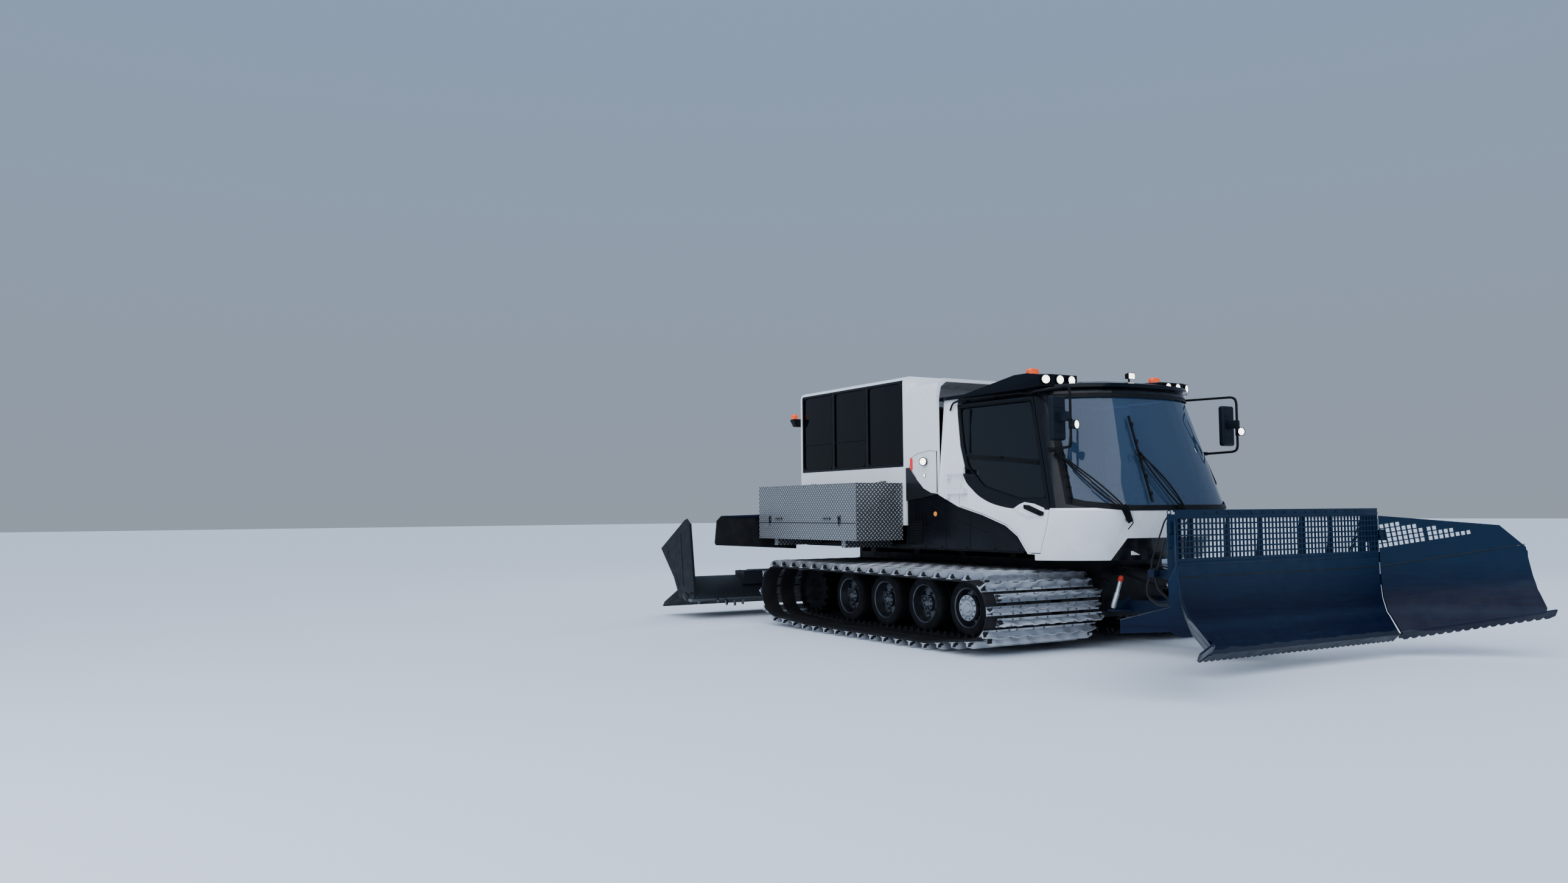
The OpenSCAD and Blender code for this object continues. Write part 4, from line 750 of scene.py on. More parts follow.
def glass(name, tint, clear, rough=0.012, specular=0.5):
    # tinted safety glass: part of the light goes through, the rest is reflected
    m = startMaterial(name, tint, rough, specular=specular)
    shader = m.node_tree.nodes["Principled BSDF"]
    shader.inputs["Transmission Weight"].default_value = clear
    shader.inputs["IOR"].default_value = 1.5
    smear = span(m, noiseOf(m, 1.6, 3.0, (1, 1, 2.5)), 0.45, 0.8)
    wire(m, "Roughness", span(m, smear, 0.0, 1.0, rough, rough + 0.035))
    return m


def lampLens(name, tint, glow, pattern=190.0):
    # ribbed clear lens, lit from behind
    m = startMaterial(name, tint, 0.08, coat=0.5)
    shader = m.node_tree.nodes["Principled BSDF"]
    shader.inputs["Transmission Weight"].default_value = 0.3
    shader.inputs["Emission Strength"].default_value = glow
    cells = put(m, "TexVoronoi", {"Vector": spotOf(m), "Scale": pattern}).outputs["Distance"]
    wire(m, "Emission Color", blendColours(m, cells, tint, toned(tint, 0.75)))
    bumpFrom(m, cells, 0.5, 0.002)
    return m


paint = {"white": paintedWhite(), "fairing": fairingPaint(), "cabin": cabinPaint(), "cab": cabPaint(),
        "door": doorPaint(), "black": glossBlack(), "roof": glossBlack("roofPaint", "roof", 0.1, 0.28),
        "chassis": darkPaint("chassisPaint", tones["chassis"], (0.1, 0.095, 0.09), 0.4, 0.65),
        "tool": darkPaint("toolPaint", tones["toolNavy"], (0.13, 0.14, 0.15), 0.35, 0.6),
        "cylinder": darkPaint("cylinderPaint", (0.009, 0.01, 0.011), (0.16, 0.16, 0.17), 0.3, 0.5),
        "tiller": darkPaint("tillerPaint", (0.008, 0.01, 0.013), (0.14, 0.15, 0.16), 0.4, 0.65),
        "engine": darkPaint("engineCasting", (0.16, 0.165, 0.17), (0.05, 0.045, 0.04), 0.5, 0.75),
        "red": darkPaint("redBand", (0.3, 0.022, 0.012), (0.2, 0.02, 0.02), 0.35, 0.5), "blade": bladePaint(),
        "plate": treadPlate("treadPlate", tones["plate"]),
        "aluminium": bareMetal("shoeAluminium", tones["aluminium"], 0.32, 0.55, dirt=0.45),
        "steel": bareMetal("wornSteel", tones["steel"], 0.28, 0.5, dirt=0.5),
        "chrome": bareMetal("chromedRod", (0.8, 0.81, 0.83), 0.06, 0.14, 60.0, 0.1),
        "rim": bareMetal("rimMetal", tones["rimGrey"], 0.35, 0.6, dirt=0.7), "rubber": rubber(),
        "belt": rubber("beltRubber", 34.0), "flap": rubber("flapRubber", 18.0),
        "housing": mouldedPlastic("mirrorPlastic", (0.0035, 0.006, 0.011)),
        "plastic": mouldedPlastic("blackPlastic", (0.0022, 0.0025, 0.0032)),
        "dash": mouldedPlastic("dashPlastic", (0.03, 0.032, 0.036), 240.0),
        "comb": mouldedPlastic("finisherPlastic", (0.006, 0.007, 0.009), 150.0), "cloth": seatCloth(),
        "vinyl": vinyl(), "screenGlass": glass("screenGlass", (0.08, 0.155, 0.28), 0.8),
        "doorGlass": glass("doorGlass", (0.016, 0.024, 0.033), 0.8, specular=0.18),
        "darkGlass": glass("cabinGlass", (0.003, 0.004, 0.006), 0.45, specular=0.12),
        "mirror": bareMetal("mirrorSilver", (0.82, 0.84, 0.86), 0.02, 0.05, dirt=0.05),
        "lens": lampLens("lampLens", (1.0, 0.97, 0.88), 5.0),
        "marker": lampLens("markerLens", (0.95, 0.3, 0.03), 0.5),
        "redLens": lampLens("redLens", (0.75, 0.02, 0.02), 0.4),
        "amber": lampLens("amberLens", (0.95, 0.11, 0.004), 0.3, 130.0)}
print("finishes made")


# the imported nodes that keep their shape, by finish and width of their softened edges
keptNodes = {
    ("chassis", 0.004): "frame",
    ("engine", 0.012): "engine_block",
    ("black", 0.006): "engine_housing",
    ("cab", 0.01): "cab_shell",
    ("roof", 0.022): "cab_roof",
    ("door", 0.005): "door_right door_left",
    ("doorGlass", 0): "door_glass_right door_glass_left",
    ("darkGlass", 0): "glazing passenger_door_glass",
    ("screenGlass", 0): "windscreen",
    ("dash", 0.02): "dashboard",
    ("fairing", 0.012): "fairing",
    ("cabin", 0.008): "passenger_cabin",
    ("cabin", 0.004): "passenger_door",
    ("plate", 0.002): "side_box_right side_box_left lid_right lid_left",
    ("tool", 0.004): "lift_frame rear_frame",
    ("cylinder", 0.003): "lift_barrels rear_barrels",
    ("chrome", 0.002): "lift_rods rear_rods",
    ("tool", 0.003): "swivel_head tilt_head swing_head",
    ("blade", 0.002): "blade_middle wing_right wing_left",
    ("blade", 0.001): "blade_grille",
    ("tiller", 0.003): "tiller_housing",
    ("steel", 0.002): "tiller_rotor",
    ("comb", 0.003): "finisher",
    ("flap", 0.002): "snow_flaps"}


def dressNode(name, finish, edge):
    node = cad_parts[name]
    node.data.materials.clear()
    node.data.materials.append(paint[finish])
    modify(node, "WELD", merge_threshold=0.00002)
    if edge > 0:
        modify(node, "BEVEL", width=edge, segments=2, limit_method="ANGLE", angle_limit=radians(28),
                use_clamp_overlap=True, harden_normals=False)
    for face in node.data.polygons:
        face.use_smooth = True
    modify(node, "WEIGHTED_NORMAL", keep_sharp=True)


for (finish, edge), names in keptNodes.items():
    for nodeName in names.split():
        dressNode(nodeName, finish, edge)
print("packed nodes dressed")

# tracks: belts, grouser shoes with their bolts, and the wheels inside
track = {"shoes": 40, "shoeHeight": 0.074, "crestWave": 0.011, "long": (0.585, 2.085), "short": (0.535, 1.945),
        "belts": [(0.545, 0.23), (0.845, 0.23), (1.22, 0.28), (1.6, 0.2), (1.86, 0.215)], "beltThick": 0.018}

# centre along the vehicle, centre height and radius of the four wheels that shape the loop
loopWheels = [(-1.481, 0.4033, 0.3103), (0.76, 0.4033, 0.3103), (1.466, 0.45, 0.2803), (-2.3, 0.44, 0.3003)]


def loopPieces(grow):
    # the loop as straight runs and arcs, each with its length, seen from the right side
    sides = []
    for i, (x1, z1, r1) in enumerate(loopWheels):
        x2, z2, r2 = loopWheels[(i + 1) % 4]
        between = Vector((x2 - x1, z2 - z1))
        length = between.length
        ahead = between / length
        lean = asin((r1 - r2) / length)
        outward = Vector((ahead.y, -ahead.x)) * cos(lean) + ahead * sin(lean)
        sides.append((Vector((x1, z1)) + outward * (r1 + grow), Vector((x2, z2)) + outward * (r2 + grow), outward))
    pieces = []
    for i, (start, end, outward) in enumerate(sides):
        pieces.append(("run", start, end, outward, (end - start).length))
        x, z, r = loopWheels[(i + 1) % 4]
        nextOutward = sides[(i + 1) % 4][2]
        a = atan2(outward.y, outward.x)
        turn = (atan2(nextOutward.y, nextOutward.x) - a) % (2 * pi)
        pieces.append(("arc", Vector((x, z)), a, turn, (r + grow) * turn, r + grow))
    return pieces


def onLoop(pieces, along):
    # the point and the outward direction at a length along the loop
    for piece in pieces:
        if along <= piece[4]:
            break
        along -= piece[4]
    if piece[0] == "run":
        share = along / piece[4]
        return piece[1].lerp(piece[2], share), piece[3]
    angle = piece[2] + along / piece[5]
    outward = Vector((cos(angle), sin(angle)))
    return piece[1] + outward * piece[5], outward


def loopOutline(grow, arcSteps=9):
    points = []
    for piece in loopPieces(grow):
        if piece[0] == "run":
            points += [piece[1], piece[2]]
        else:
            for step in range(1, arcSteps):
                angle = piece[2] + piece[3] * step / arcSteps
                points.append(piece[1] + Vector((cos(angle), sin(angle))) * piece[5])
    return points


def makeBelt(start, width):
    belt = drawLine("belt", [(p.x, start, p.y) for p in loopOutline(0.0)])
    startEdit(belt)
    closeLoop(belt)
    pickAll("EDGE")
    for step in (0.012, width - 0.024, 0.012):
        push((0, step, 0))
    fixNormals()
    endEdit()
    addWall(belt, track["beltThick"], 1.0)
    # the long grooves on the running side
    startEdit(belt)
    pick(belt, "FACE", lambda f: f.calc_area() > width * 0.02 and abs(f.normal.y) < 0.5
            and abs(middleOf(f).y - start - width / 2) < 0.01)
    inset(0.006)
    endEdit()
    return bevelAll(belt, 0.003, 1, 60)


def makeShoe(inner, outer):
    # a hat section drawn once, pushed across the track, its crest moved to and fro
    across = outer - inner
    steps = 26
    top = track["shoeHeight"]
    section = [(-0.045, 0.001), (0.045, 0.001), (0.045, 0.007), (0.021, 0.011), (0.0085, top - 0.004), (0.005, top),
            (-0.005, top), (-0.0085, top - 0.004), (-0.021, 0.011), (-0.045, 0.007)]
    shoe = drawLine("shoe", [(x, inner, z) for x, z in section], closed=True)
    startEdit(shoe)
    pickAll("FACE")
    for step in range(steps):
        push((0, across / steps, 0))
    wave = across / steps * 2
    for turn, way in ((0, 1), (1, -1)):
        pick(shoe, "VERT", lambda v: v.co.z > 0.05 and round((v.co.y - inner) / wave) % 2 == turn)
        shift((way * track["crestWave"], 0, 0))
    # the crest ends are cut back like the worn ends of a real bar
    pick(shoe, "VERT", lambda v: v.co.z > 0.05 and abs(v.co.y - (inner + outer) / 2) > across / 2 - 0.01)
    shift((0, 0, -0.022))
    fixNormals()
    endEdit()
    smooth(35)
    return shoe


def makeShoeBolts(inner, outer):
    bolts = []
    for start, width in track["belts"]:
        for share in (0.25, 0.75):
            y = start + width * share
            for side in (-0.033, 0.033) if inner + 0.02 < y < outer - 0.02 else ():
                head = addRound("bolt", (side, y, 0.006), (side, y, 0.017), 0.0085, 6)
                stepFace(head, "top", 0.003, -0.002)
                bolts.append(head)
    return joined("shoeBolt", bolts)


def makeGuides(inner, outer):
    # steel horns that keep the wheels on the middle belt, and the dark clips at both ends of a bar
    guides = [drawPlate("horn", [(-0.028, y - 0.008, 0), (0.028, y - 0.008, 0), (0.012, y - 0.008, -0.055),
            (-0.012, y - 0.008, -0.055)], (0, 0.016, 0)) for y in (1.213, 1.507)]
    for y, way in ((inner + 0.001, 1), (outer - 0.001, -1)):
        guides.append(drawPlate("clip", [(-0.03, y, 0.0), (0.03, y, 0.0), (0.03, y, 0.026), (0.014, y, 0.034),
                (0.01, y, 0.052), (-0.01, y, 0.052), (-0.014, y, 0.034), (-0.03, y, 0.026)], (0, way * 0.055, 0)))
    return bevelAll(joined("guide", guides), 0.002, 1, 40)


def allRound(piece, name, grow, ahead):
    # copies of one piece at equal distances along the loop
    runs = loopPieces(grow)
    length = sum(run[4] for run in runs)
    copies = []
    for i in range(track["shoes"]):
        spot, outward = onLoop(runs, (i + ahead) * length / track["shoes"])
        turn = Matrix(((-outward.y, 0, outward.x, spot.x), (0, 1, 0, 0), (outward.x, 0, outward.y, spot.y),
                (0, 0, 0, 1)))
        copies.append(copyOf(piece, name, turn))
    bpy.data.objects.remove(piece)
    return joined(name, copies)


def bothSides(piece, name, slot, finish, stoodFor=None):
    # made on the left, mirrored to the right, both carried by the chassis
    right = mirrored(piece, name + "Right")
    piece.name = name + "Left"
    fit(piece, "chassis", slot, finish, *([stoodFor + "_left"] if stoodFor else []))
    fit(right, "chassis", slot, finish, *([stoodFor + "_right"] if stoodFor else []))


belts = joined("trackBelts", [makeBelt(start, width) for start, width in track["belts"]])
bothSides(belts, "trackBelts", "tyre_rubber", "belt")
thick = track["beltThick"]
# long bars and, half a step on, shorter ones set further in
shoes = joined("trackShoes", [allRound(makeShoe(*track["long"]), "longShoes", thick, 0.5),
        allRound(makeShoe(*track["short"]), "shortShoes", thick, 0.0)])
bothSides(shoes, "trackShoes", "track_alu", "aluminium", "track")
shoeBolts = joined("shoeBolts", [allRound(makeShoeBolts(*track["long"]), "longBolts", thick, 0.5),
        allRound(makeShoeBolts(*track["short"]), "shortBolts", thick, 0.0)])
bothSides(shoeBolts, "shoeBolts", "rotor_steel", "steel")
guides = joined("trackGuides", [allRound(makeGuides(*track["long"]), "longGuides", thick, 0.5),
        allRound(makeGuides(*track["short"]), "shortGuides", thick, 0.0)])
bothSides(guides, "trackGuides", "frame_black", "chassis")
print("tracks made")

# centre along the vehicle, height and radius of the five wheels and of the driven one
wheelPlaces = [(0.76, 0.4033, 0.31), (0.013, 0.4033, 0.31), (-0.734, 0.4033, 0.31), (-1.481, 0.4033, 0.31),
        (1.466, 0.45, 0.28)]
sprocketPlace = (-2.3, 0.44, 0.3)
wheel = {"inner": 1.24, "outer": 1.48, "bolts": 8, "pockets": 6, "axle": 0.045, "hubEnd": 0.472}


def turned(name, profile, x, z, steps=48):
    # an outline of (across, radius) turned once round the axle
    return spinProfile(name, [(x, y, z + r) for y, r in profile], (x, 0, z), (0, 1, 0), steps)


def makeTyre(x, z, r):
    a, b = wheel["inner"], wheel["outer"]
    tread = [(a + 0.006, r - 0.1), (a, r - 0.065), (a + 0.003, r - 0.03), (a + 0.016, r - 0.009),
            (a + 0.034, r - 0.001), (a + 0.1, r), (a + 0.106, r - 0.012), (b - 0.106, r - 0.012), (b - 0.1, r),
            (b - 0.034, r - 0.001), (b - 0.016, r - 0.009), (b - 0.003, r - 0.03), (b, r - 0.065),
            (b - 0.006, r - 0.1), (b - 0.04, r - 0.104), (a + 0.04, r - 0.104)]
    return turned("tyre", tread + tread[:1], x, z)


def makeRim(x, z, r):
    a, b = wheel["inner"], wheel["outer"]
    lip = r - 0.095
    profile = [(b - 0.034, 0), (b - 0.034, 0.032), (b - 0.046, 0.046), (b - 0.05, 0.086), (b - 0.084, 0.094),
            (b - 0.09, lip - 0.036), (b - 0.05, lip - 0.022), (b - 0.008, lip - 0.012), (b - 0.003, lip),
            (b - 0.014, lip + 0.006), (a + 0.014, lip + 0.006), (a + 0.004, lip), (a + 0.012, lip - 0.016),
            (a + 0.03, lip - 0.03), (a + 0.036, 0)]
    rim = turned("rim", profile, x, z)
    # the pockets in the dish: faces of the web, group by group, set back
    startEdit(rim)
    sector = 2 * pi / wheel["pockets"]

    def inPocket(face):
        middle = middleOf(face) - Vector((x, 0, z))
        angle = atan2(middle.z, middle.x) % sector
        return face.normal.y > 0.7 and 0.1 < hypot(middle.x, middle.z) < lip - 0.03 and angle < sector * 0.6

    pick(rim, "FACE", inPocket)
    inset(0.007)
    push((0, -0.035, 0))
    endEdit()
    return rim


def makeWheelBolts(x, z, radius, front, count):
    heads = []
    for i in range(count):
        angle = 2 * pi * (i + 0.5) / count
        spot = (x + radius * cos(angle), front, z + radius * sin(angle))
        head = addRound("nut", spot, (spot[0], front + 0.014, spot[2]), 0.0105, 6)
        stepFace(head, "left", 0.004, 0.006)
        heads.append(head)
    return heads


def makeSprocket():
    # the driven wheel: a drum whose outer band is pushed out tooth by tooth
    x, z, r = sprocketPlace
    a, b = 1.262, 1.458
    profile = [(b - 0.03, 0), (b - 0.03, 0.05), (b - 0.05, 0.06), (b - 0.05, 0.13), (b - 0.01, 0.15), (b, r - 0.052),
            (b, r - 0.045), (a, r - 0.045), (a, r - 0.052), (a + 0.01, 0.15), (a + 0.03, 0.13), (a + 0.03, 0)]
    drum = turned("sprocket", profile, x, z, 60)
    startEdit(drum)

    def onTooth(face):
        middle = middleOf(face) - Vector((x, 0, z))
        step = floor((atan2(middle.z, middle.x) % (2 * pi)) / (2 * pi / 60))
        return abs(face.normal.y) < 0.3 and hypot(middle.x, middle.z) > r - 0.05 and step % 4 < 2

    pick(drum, "FACE", onTooth)
    push((0, 0, 0))
    grow = (r - 0.002) / (r - 0.045)
    stretch((grow, 1, grow), (x, 0, z))
    endEdit()
    return bevelAll(drum, 0.004, 1, 40)


tyres, rims = [], []
for x, z, r in wheelPlaces:
    tyres.append(makeTyre(x, z, r))
    rims.append(makeRim(x, z, r))
    rims += makeWheelBolts(x, z, 0.068, wheel["outer"] - 0.05, wheel["bolts"])
bothSides(joined("wheelTyres", tyres), "wheelTyres", "tyre_rubber", "rubber")
bothSides(joined("wheelRims", rims), "wheelRims", "frame_black", "rim", "wheels")
bothSides(makeSprocket(), "sprocket", "frame_black", "chassis")

# the bolted disc on the front road wheel
disc = turned("wheelDisc", [(1.43, 0), (1.43, 0.136), (1.47, 0.14), (1.478, 0.136), (1.48, 0.1), (1.474, 0.092),
        (1.474, 0.05), (1.479, 0.044), (1.479, 0)], *wheelPlaces[0][:2])
disc = joined("wheelDisc", [disc] + makeWheelBolts(*wheelPlaces[0][:2], 0.116, 1.474, 12))
bothSides(disc, "wheelDisc", "track_alu", "aluminium")


def makeSwingArms():
    # an axle and a cranked arm to the tub for every wheel
    arms = []
    for place in wheelPlaces + [sprocketPlace]:
        x, z = place[:2]
        back, thick = (0.0, 0.1) if place == sprocketPlace else (0.16, wheel["axle"])
        axle = turned("axle", [(0.9, 0), (0.9, thick), (0.93, thick * 1.25), (1.1, thick * 1.25), (1.14, thick),
                (1.27, thick), (1.27, 0)], x, z, 24)
        arm = drawPlate("arm", [(x + 0.055, 0.86, z), (x + 0.03, 0.86, z - 0.055), (x - 0.035, 0.86, z - 0.055),
                (x - back - 0.05, 0.86, z - 0.005), (x - back - 0.05, 0.86, z + 0.06),
                (x - back + 0.03, 0.86, z + 0.075), (x + 0.035, 0.86, z + 0.05)], (0, 0.07, 0))
        bevelAll(arm, 0.012)
        stub = turned("stub", [(wheel["hubEnd"], 0), (wheel["hubEnd"], 0.052), (0.5, 0.06), (0.54, 0.045),
                (0.88, 0.045), (0.88, 0)], x - back, z + 0.03 if back else z, 24)
        arms += [axle, arm, stub]
    return joined("swingArms", arms)


bothSides(makeSwingArms(), "swingArms", "frame_black", "chassis")
print("wheels made")

# cab: screen border, wipers, mirrors, lamps, beacons, door fittings and seams
# the cab's side and screen at three heights: half width at the back, pillar place and half width,
# the bend's place and half width, nose
cabLevels = [(0.925, 1.2, 1.56, 1.19, 2.19, 0.84, 2.14), (1.43, 1.235, 1.828, 1.2, 2.52, 0.84, 2.43),
        (2.7, 1.11, 1.4, 1.01, 2.05, 0.78, 2.005)]


def levelAt(z):
    low, high = cabLevels[:2] if z < cabLevels[1][0] else cabLevels[1:]
    share = (z - low[0]) / (high[0] - low[0])
    return [a + (b - a) * share for a, b in zip(low, high)]


def onScreen(share, z, out=0.0):
    # a point of the right half of the screen: share from the pillar to the nose, and height
    level = levelAt(z)
    pillar, bend, nose = Vector(level[2:4]), Vector(level[4:6]), Vector((level[6], 0))
    spot = pillar * (1 - share) ** 2 + 2 * bend * share * (1 - share) + nose * share ** 2
    way = (bend - pillar) * (1 - share) + (nose - bend) * share
    spot += Vector((-way.y, way.x)).normalized() * out
    return Vector((spot.x, -spot.y, z))


def onSide(x, z, out=0.0):
    # a point of the right side of the cab
    level = levelAt(z)
    half = level[1] + (level[3] - level[1]) * (x + 0.03) / (level[2] + 0.03)
    return Vector((x, -half - out, z))


def edgeShare(z):
    # where the screen's side edge lies at a height
    edge = 1.9 - (z - 1.5) * 0.41 / 1.14
    low, high = 0.0, 0.5
    for step in range(24):
        middle = (low + high) / 2
        if onScreen(middle, z).x < edge:
            low = middle
        else:
            high = middle
    return low


def flip(point):
    return Vector((point.x, -point.y, point.z))


def screenLoop(sideIn, topIn, lowIn, out):
    # once round the screen at a distance inside its edges
    right = []
    top, low = 2.64 - topIn, 1.5 + lowIn
    for step in range(11):
        share = 1 - (1 - edgeShare(top) - sideIn) * step / 10
        right.append(onScreen(share, top, out))
    for step in range(1, 11):
        z = top + (low - top) * step / 10
        right.append(onScreen(edgeShare(z) + sideIn, z, out))
    first = edgeShare(low) + sideIn
    for step in range(1, 13):
        share = first + (1 - first) * step / 12
        z = 1.425 + lowIn
        z = max(z, 1.5 + lowIn - (onScreen(share, z).x - 1.9) * 0.075 / 0.43)
        right.append(onScreen(share, z, out))
    return right + [flip(point) for point in reversed(right[1:-1])]


def makeScreenBorder():
    rings = []
    for inward in ((0.0, 0.0, 0.0), (0.055, 0.045, 0.055)):
        ring = drawLine("ring", screenLoop(*inward, 0.004))
        startEdit(ring)
        closeLoop(ring)
        endEdit()
        rings.append(ring)
    border = joined("screenBorder", rings)
    startEdit(border)
    pickAll("EDGE")
    bpy.ops.mesh.bridge_edge_loops()
    fixNormals()
    endEdit()
    addWall(border, 0.005)
    return bevelAll(border, 0.0015, 1, 50)


fit(makeScreenBorder(), "chassis", "wiper_black", "plastic")

# share and height of the hub, share and height of the joint, the blade's ends
wiperSet = {"near": (0.53, 1.34, 0.11, 1.98, 1.515, 2.07), "far": (0.98, 1.36, 0.7, 2.00, 1.51, 2.39), "gap": 0.035,
        "armRadius": 0.0085, "out": 0.04}


def makeWiper(which):
    hubShare, hubZ, share, jointZ, lowZ, highZ = wiperSet[which]
    out = wiperSet["out"]
    parts = []
    for bow in (-wiperSet["gap"], wiperSet["gap"]):
        line = []
        for step in range(9):
            f = step / 8
            line.append(onScreen(hubShare + (share - hubShare) * f + bow * sin(pi * f), hubZ + (jointZ - hubZ) * f,
                    out + 0.012 * sin(pi * f)))
        parts.append(drawTube("arm", line, wiperSet["armRadius"], 0.0, 2))
    # the hose clipped along the arm, with its loop at the joint and its tails below the hub
    line = [onScreen(hubShare + 0.02, hubZ - 0.1, out + 0.004), onScreen(hubShare + 0.03, hubZ - 0.03, out + 0.03)]
    for step in range(7):
        f = step / 6
        line.append(onScreen(hubShare + (share - hubShare) * f, hubZ + (jointZ - hubZ) * f, out + 0.022))
    line += [onScreen(share - 0.03, jointZ + 0.05, out + 0.03), onScreen(share - 0.05, jointZ + 0.01, out + 0.03),
            onScreen(share - 0.03, jointZ - 0.04, out + 0.02)]
    parts.append(drawTube("hose", line, 0.0055, 0.02, 2))
    # hub: a cast block with a domed cap
    spot = onScreen(hubShare, hubZ)
    outward = onScreen(hubShare, hubZ, 1.0) - spot
    hub = addRound("hub", spot + outward * 0.002, spot + outward * 0.05, 0.03, 20)
    stepFace(hub, outward, 0.009, 0.008)
    parts.append(bevelAll(hub, 0.003))
    along = (onScreen(hubShare - 0.06, hubZ + 0.11) - spot).normalized()
    knuckle = drawPlate("knuckle", [spot + outward * 0.028 + along * a + along.cross(outward) * b
            for a, b in ((-0.035, -0.03), (0.13, -0.04), (0.17, -0.02), (0.17, 0.02), (0.13, 0.04), (-0.035, 0.03))],
            outward * 0.022)
    parts.append(bevelAll(knuckle, 0.006))
    # blade: a stiff back, its claws and the rubber lip against the glass
    back = drawTube("back", [onScreen(share, z, 0.03) for z in (lowZ, (lowZ + highZ) / 2, highZ)], 0.0095, 0.0, 2)
    lip = drawPlate("lip", [onScreen(share - 0.003, lowZ, 0.006), onScreen(share - 0.003, lowZ, 0.026),
            onScreen(share - 0.003, highZ, 0.026), onScreen(share - 0.003, highZ, 0.006)],
            onScreen(share + 0.003, lowZ) - onScreen(share - 0.003, lowZ))
    parts += [back, lip]
    for step in range(5):
        z = lowZ + (highZ - lowZ) * (step + 0.5) / 5
        spot = onScreen(share, z, 0.036)
        claw = addBlock("claw", spot - Vector((0.014, 0.014, 0.02)), spot + Vector((0.014, 0.014, 0.02)))
        stepFace(claw, "front", 0.005, 0.006)
        parts.append(bevelAll(claw, 0.003, 1))
    joint = addRound("joint", onScreen(share, jointZ, 0.018), onScreen(share, jointZ, 0.056), 0.016, 16)
    startEdit(joint)
    pick(joint, "FACE", lambda f: len(f.verts) > 4)
    inset(0.005)
    endEdit()
    parts.append(bevelAll(joint, 0.003, 1))
    return joined("wiper", parts)


fit(joined("wipers", [makeWiper("near"), makeWiper("far")]), "chassis", "wiper_black", "plastic", "wipers")
print("screen border and wipers made")

mirrorSet = {"low": (1.908, 1.183, 2.128), "high": (1.982, 1.372, 2.572), "armRadius": 0.0135,
        "arm": [(1.33, 1.045, 2.665), (1.5, 1.15, 2.668), (2.08, 1.24, 2.66), (2.105, 1.25, 2.62),
        (2.105, 1.25, 2.09), (2.08, 1.24, 2.06), (1.76, 1.17, 2.05)], "lamp": (2.118, 1.244, 2.275), "lampTurn": -12,
        "lampRadius": 0.048}


def makeMirrorHousing():
    # a rounded shell, drawn in towards the glass side, with a clamp on its back
    low, high = mirrorSet["low"], mirrorSet["high"]
    shell = addBlock("shell", low, high)
    startEdit(shell)
    pickSide(shell, "front")
    inset(0.03)
    endEdit()
    bevelAll(shell, 0.026, 5, 50)
    startEdit(shell)
    pick(shell, "FACE", lambda f: f.normal.x < -0.9 and f.calc_area() > 0.01)
    inset(0.008)
    push((0.01, 0, 0))
    endEdit()
    y, z = (low[1] + high[1]) / 2, 2.36
    clamp = addPanel("clamp", (1.975, y - 0.045, z - 0.045), (2.105, y + 0.02, z + 0.045), "front", 0.014, 0.012,
            0.008, upright=True)
    ribs = []
    for z in (2.22, 2.46):
        rib = addBlock("rib", (1.978, low[1] + 0.03, z - 0.008), (1.99, high[1] - 0.03, z + 0.008))
        ribs.append(bevelAll(rib, 0.004))
    return joined("mirrorHousing", [shell, clamp] + ribs)


def makeMirrorGlass():
    low, high = mirrorSet["low"], mirrorSet["high"]
    pane = addBlock("mirrorPane", (low[0] + 0.006, low[1] + 0.032, low[2] + 0.034),
            (low[0] + 0.014, high[1] - 0.032, high[2] - 0.034))
    startEdit(pane)
    pick(pane, "EDGE", lambda e: abs(e.verts[0].co.x - e.verts[1].co.x) > 0.005)
    bpy.ops.mesh.bevel(offset=0.022, segments=5, affect="EDGES")
    endEdit()
    return bevelAll(pane, 0.002, 2, 60)


def roundLamp(name, spot, aim, radius, length):
    # a lamp pot with its bezel, and its domed lens, as shares of length and radius
    spot, aim = Vector(spot), Vector(aim).normalized()
    side = aim.orthogonal().normalized()
    potLine = ((0, 0), (0, 0.55), (0.25, 0.88), (0.85, 1), (1, 1), (1, 0.86), (0.9, 0.84), (0.88, 0))
    lensLine = ((0.885, 0), (0.885, 0.82), (0.94, 0.82), (1, 0.6), (1.03, 0.3), (1.035, 0))
    return [lathe(name + part, [(a * length, r * radius) for a, r in line], spot, aim, side, 28)
            for part, line in (("Pot", potLine), ("Lens", lensLine))]


def turnedAim(degrees):
    a = radians(degrees)
    return Vector((cos(a), sin(a), 0))


arms = [drawTube("mirrorArm", mirrorSet["arm"], mirrorSet["armRadius"], 0.045, 3)]
foot = addBlock("mirrorFoot", (1.288, 1.024, 2.655), (1.372, 1.066, 2.699))
stepFace(foot, "left", 0.01, 0.01)
arms.append(bevelAll(foot, 0.005))
lowFoot = addBlock("mirrorLowFoot", (1.7, 1.115, 2.025), (1.775, 1.18, 2.075))
scaleFace(lowFoot, "front", (1, 0.6, 0.7), (1.775, 1.165, 2.05))
arms.append(bevelAll(lowFoot, 0.005))
post = addRound("lampPost", (2.105, 1.25, 2.335), (2.105, 1.25, 2.235), 0.02, 16)
startEdit(post)
pick(post, "FACE", lambda f: len(f.verts) > 4)
inset(0.006)
endEdit()
arms.append(bevelAll(post, 0.003, 1))
bothSides(joined("mirrorArms", arms), "mirrorArms", "wiper_black", "plastic")
housing = makeMirrorHousing()
bothSides(makeMirrorGlass(), "mirrorGlass", "rod_chrome", "mirror")
pot, lens = roundLamp("mirrorLamp", mirrorSet["lamp"], turnedAim(mirrorSet["lampTurn"]), mirrorSet["lampRadius"], 0.058)
housing = joined("mirrorHousings", [housing, pot])
otherHousing = mirrored(housing, "left")
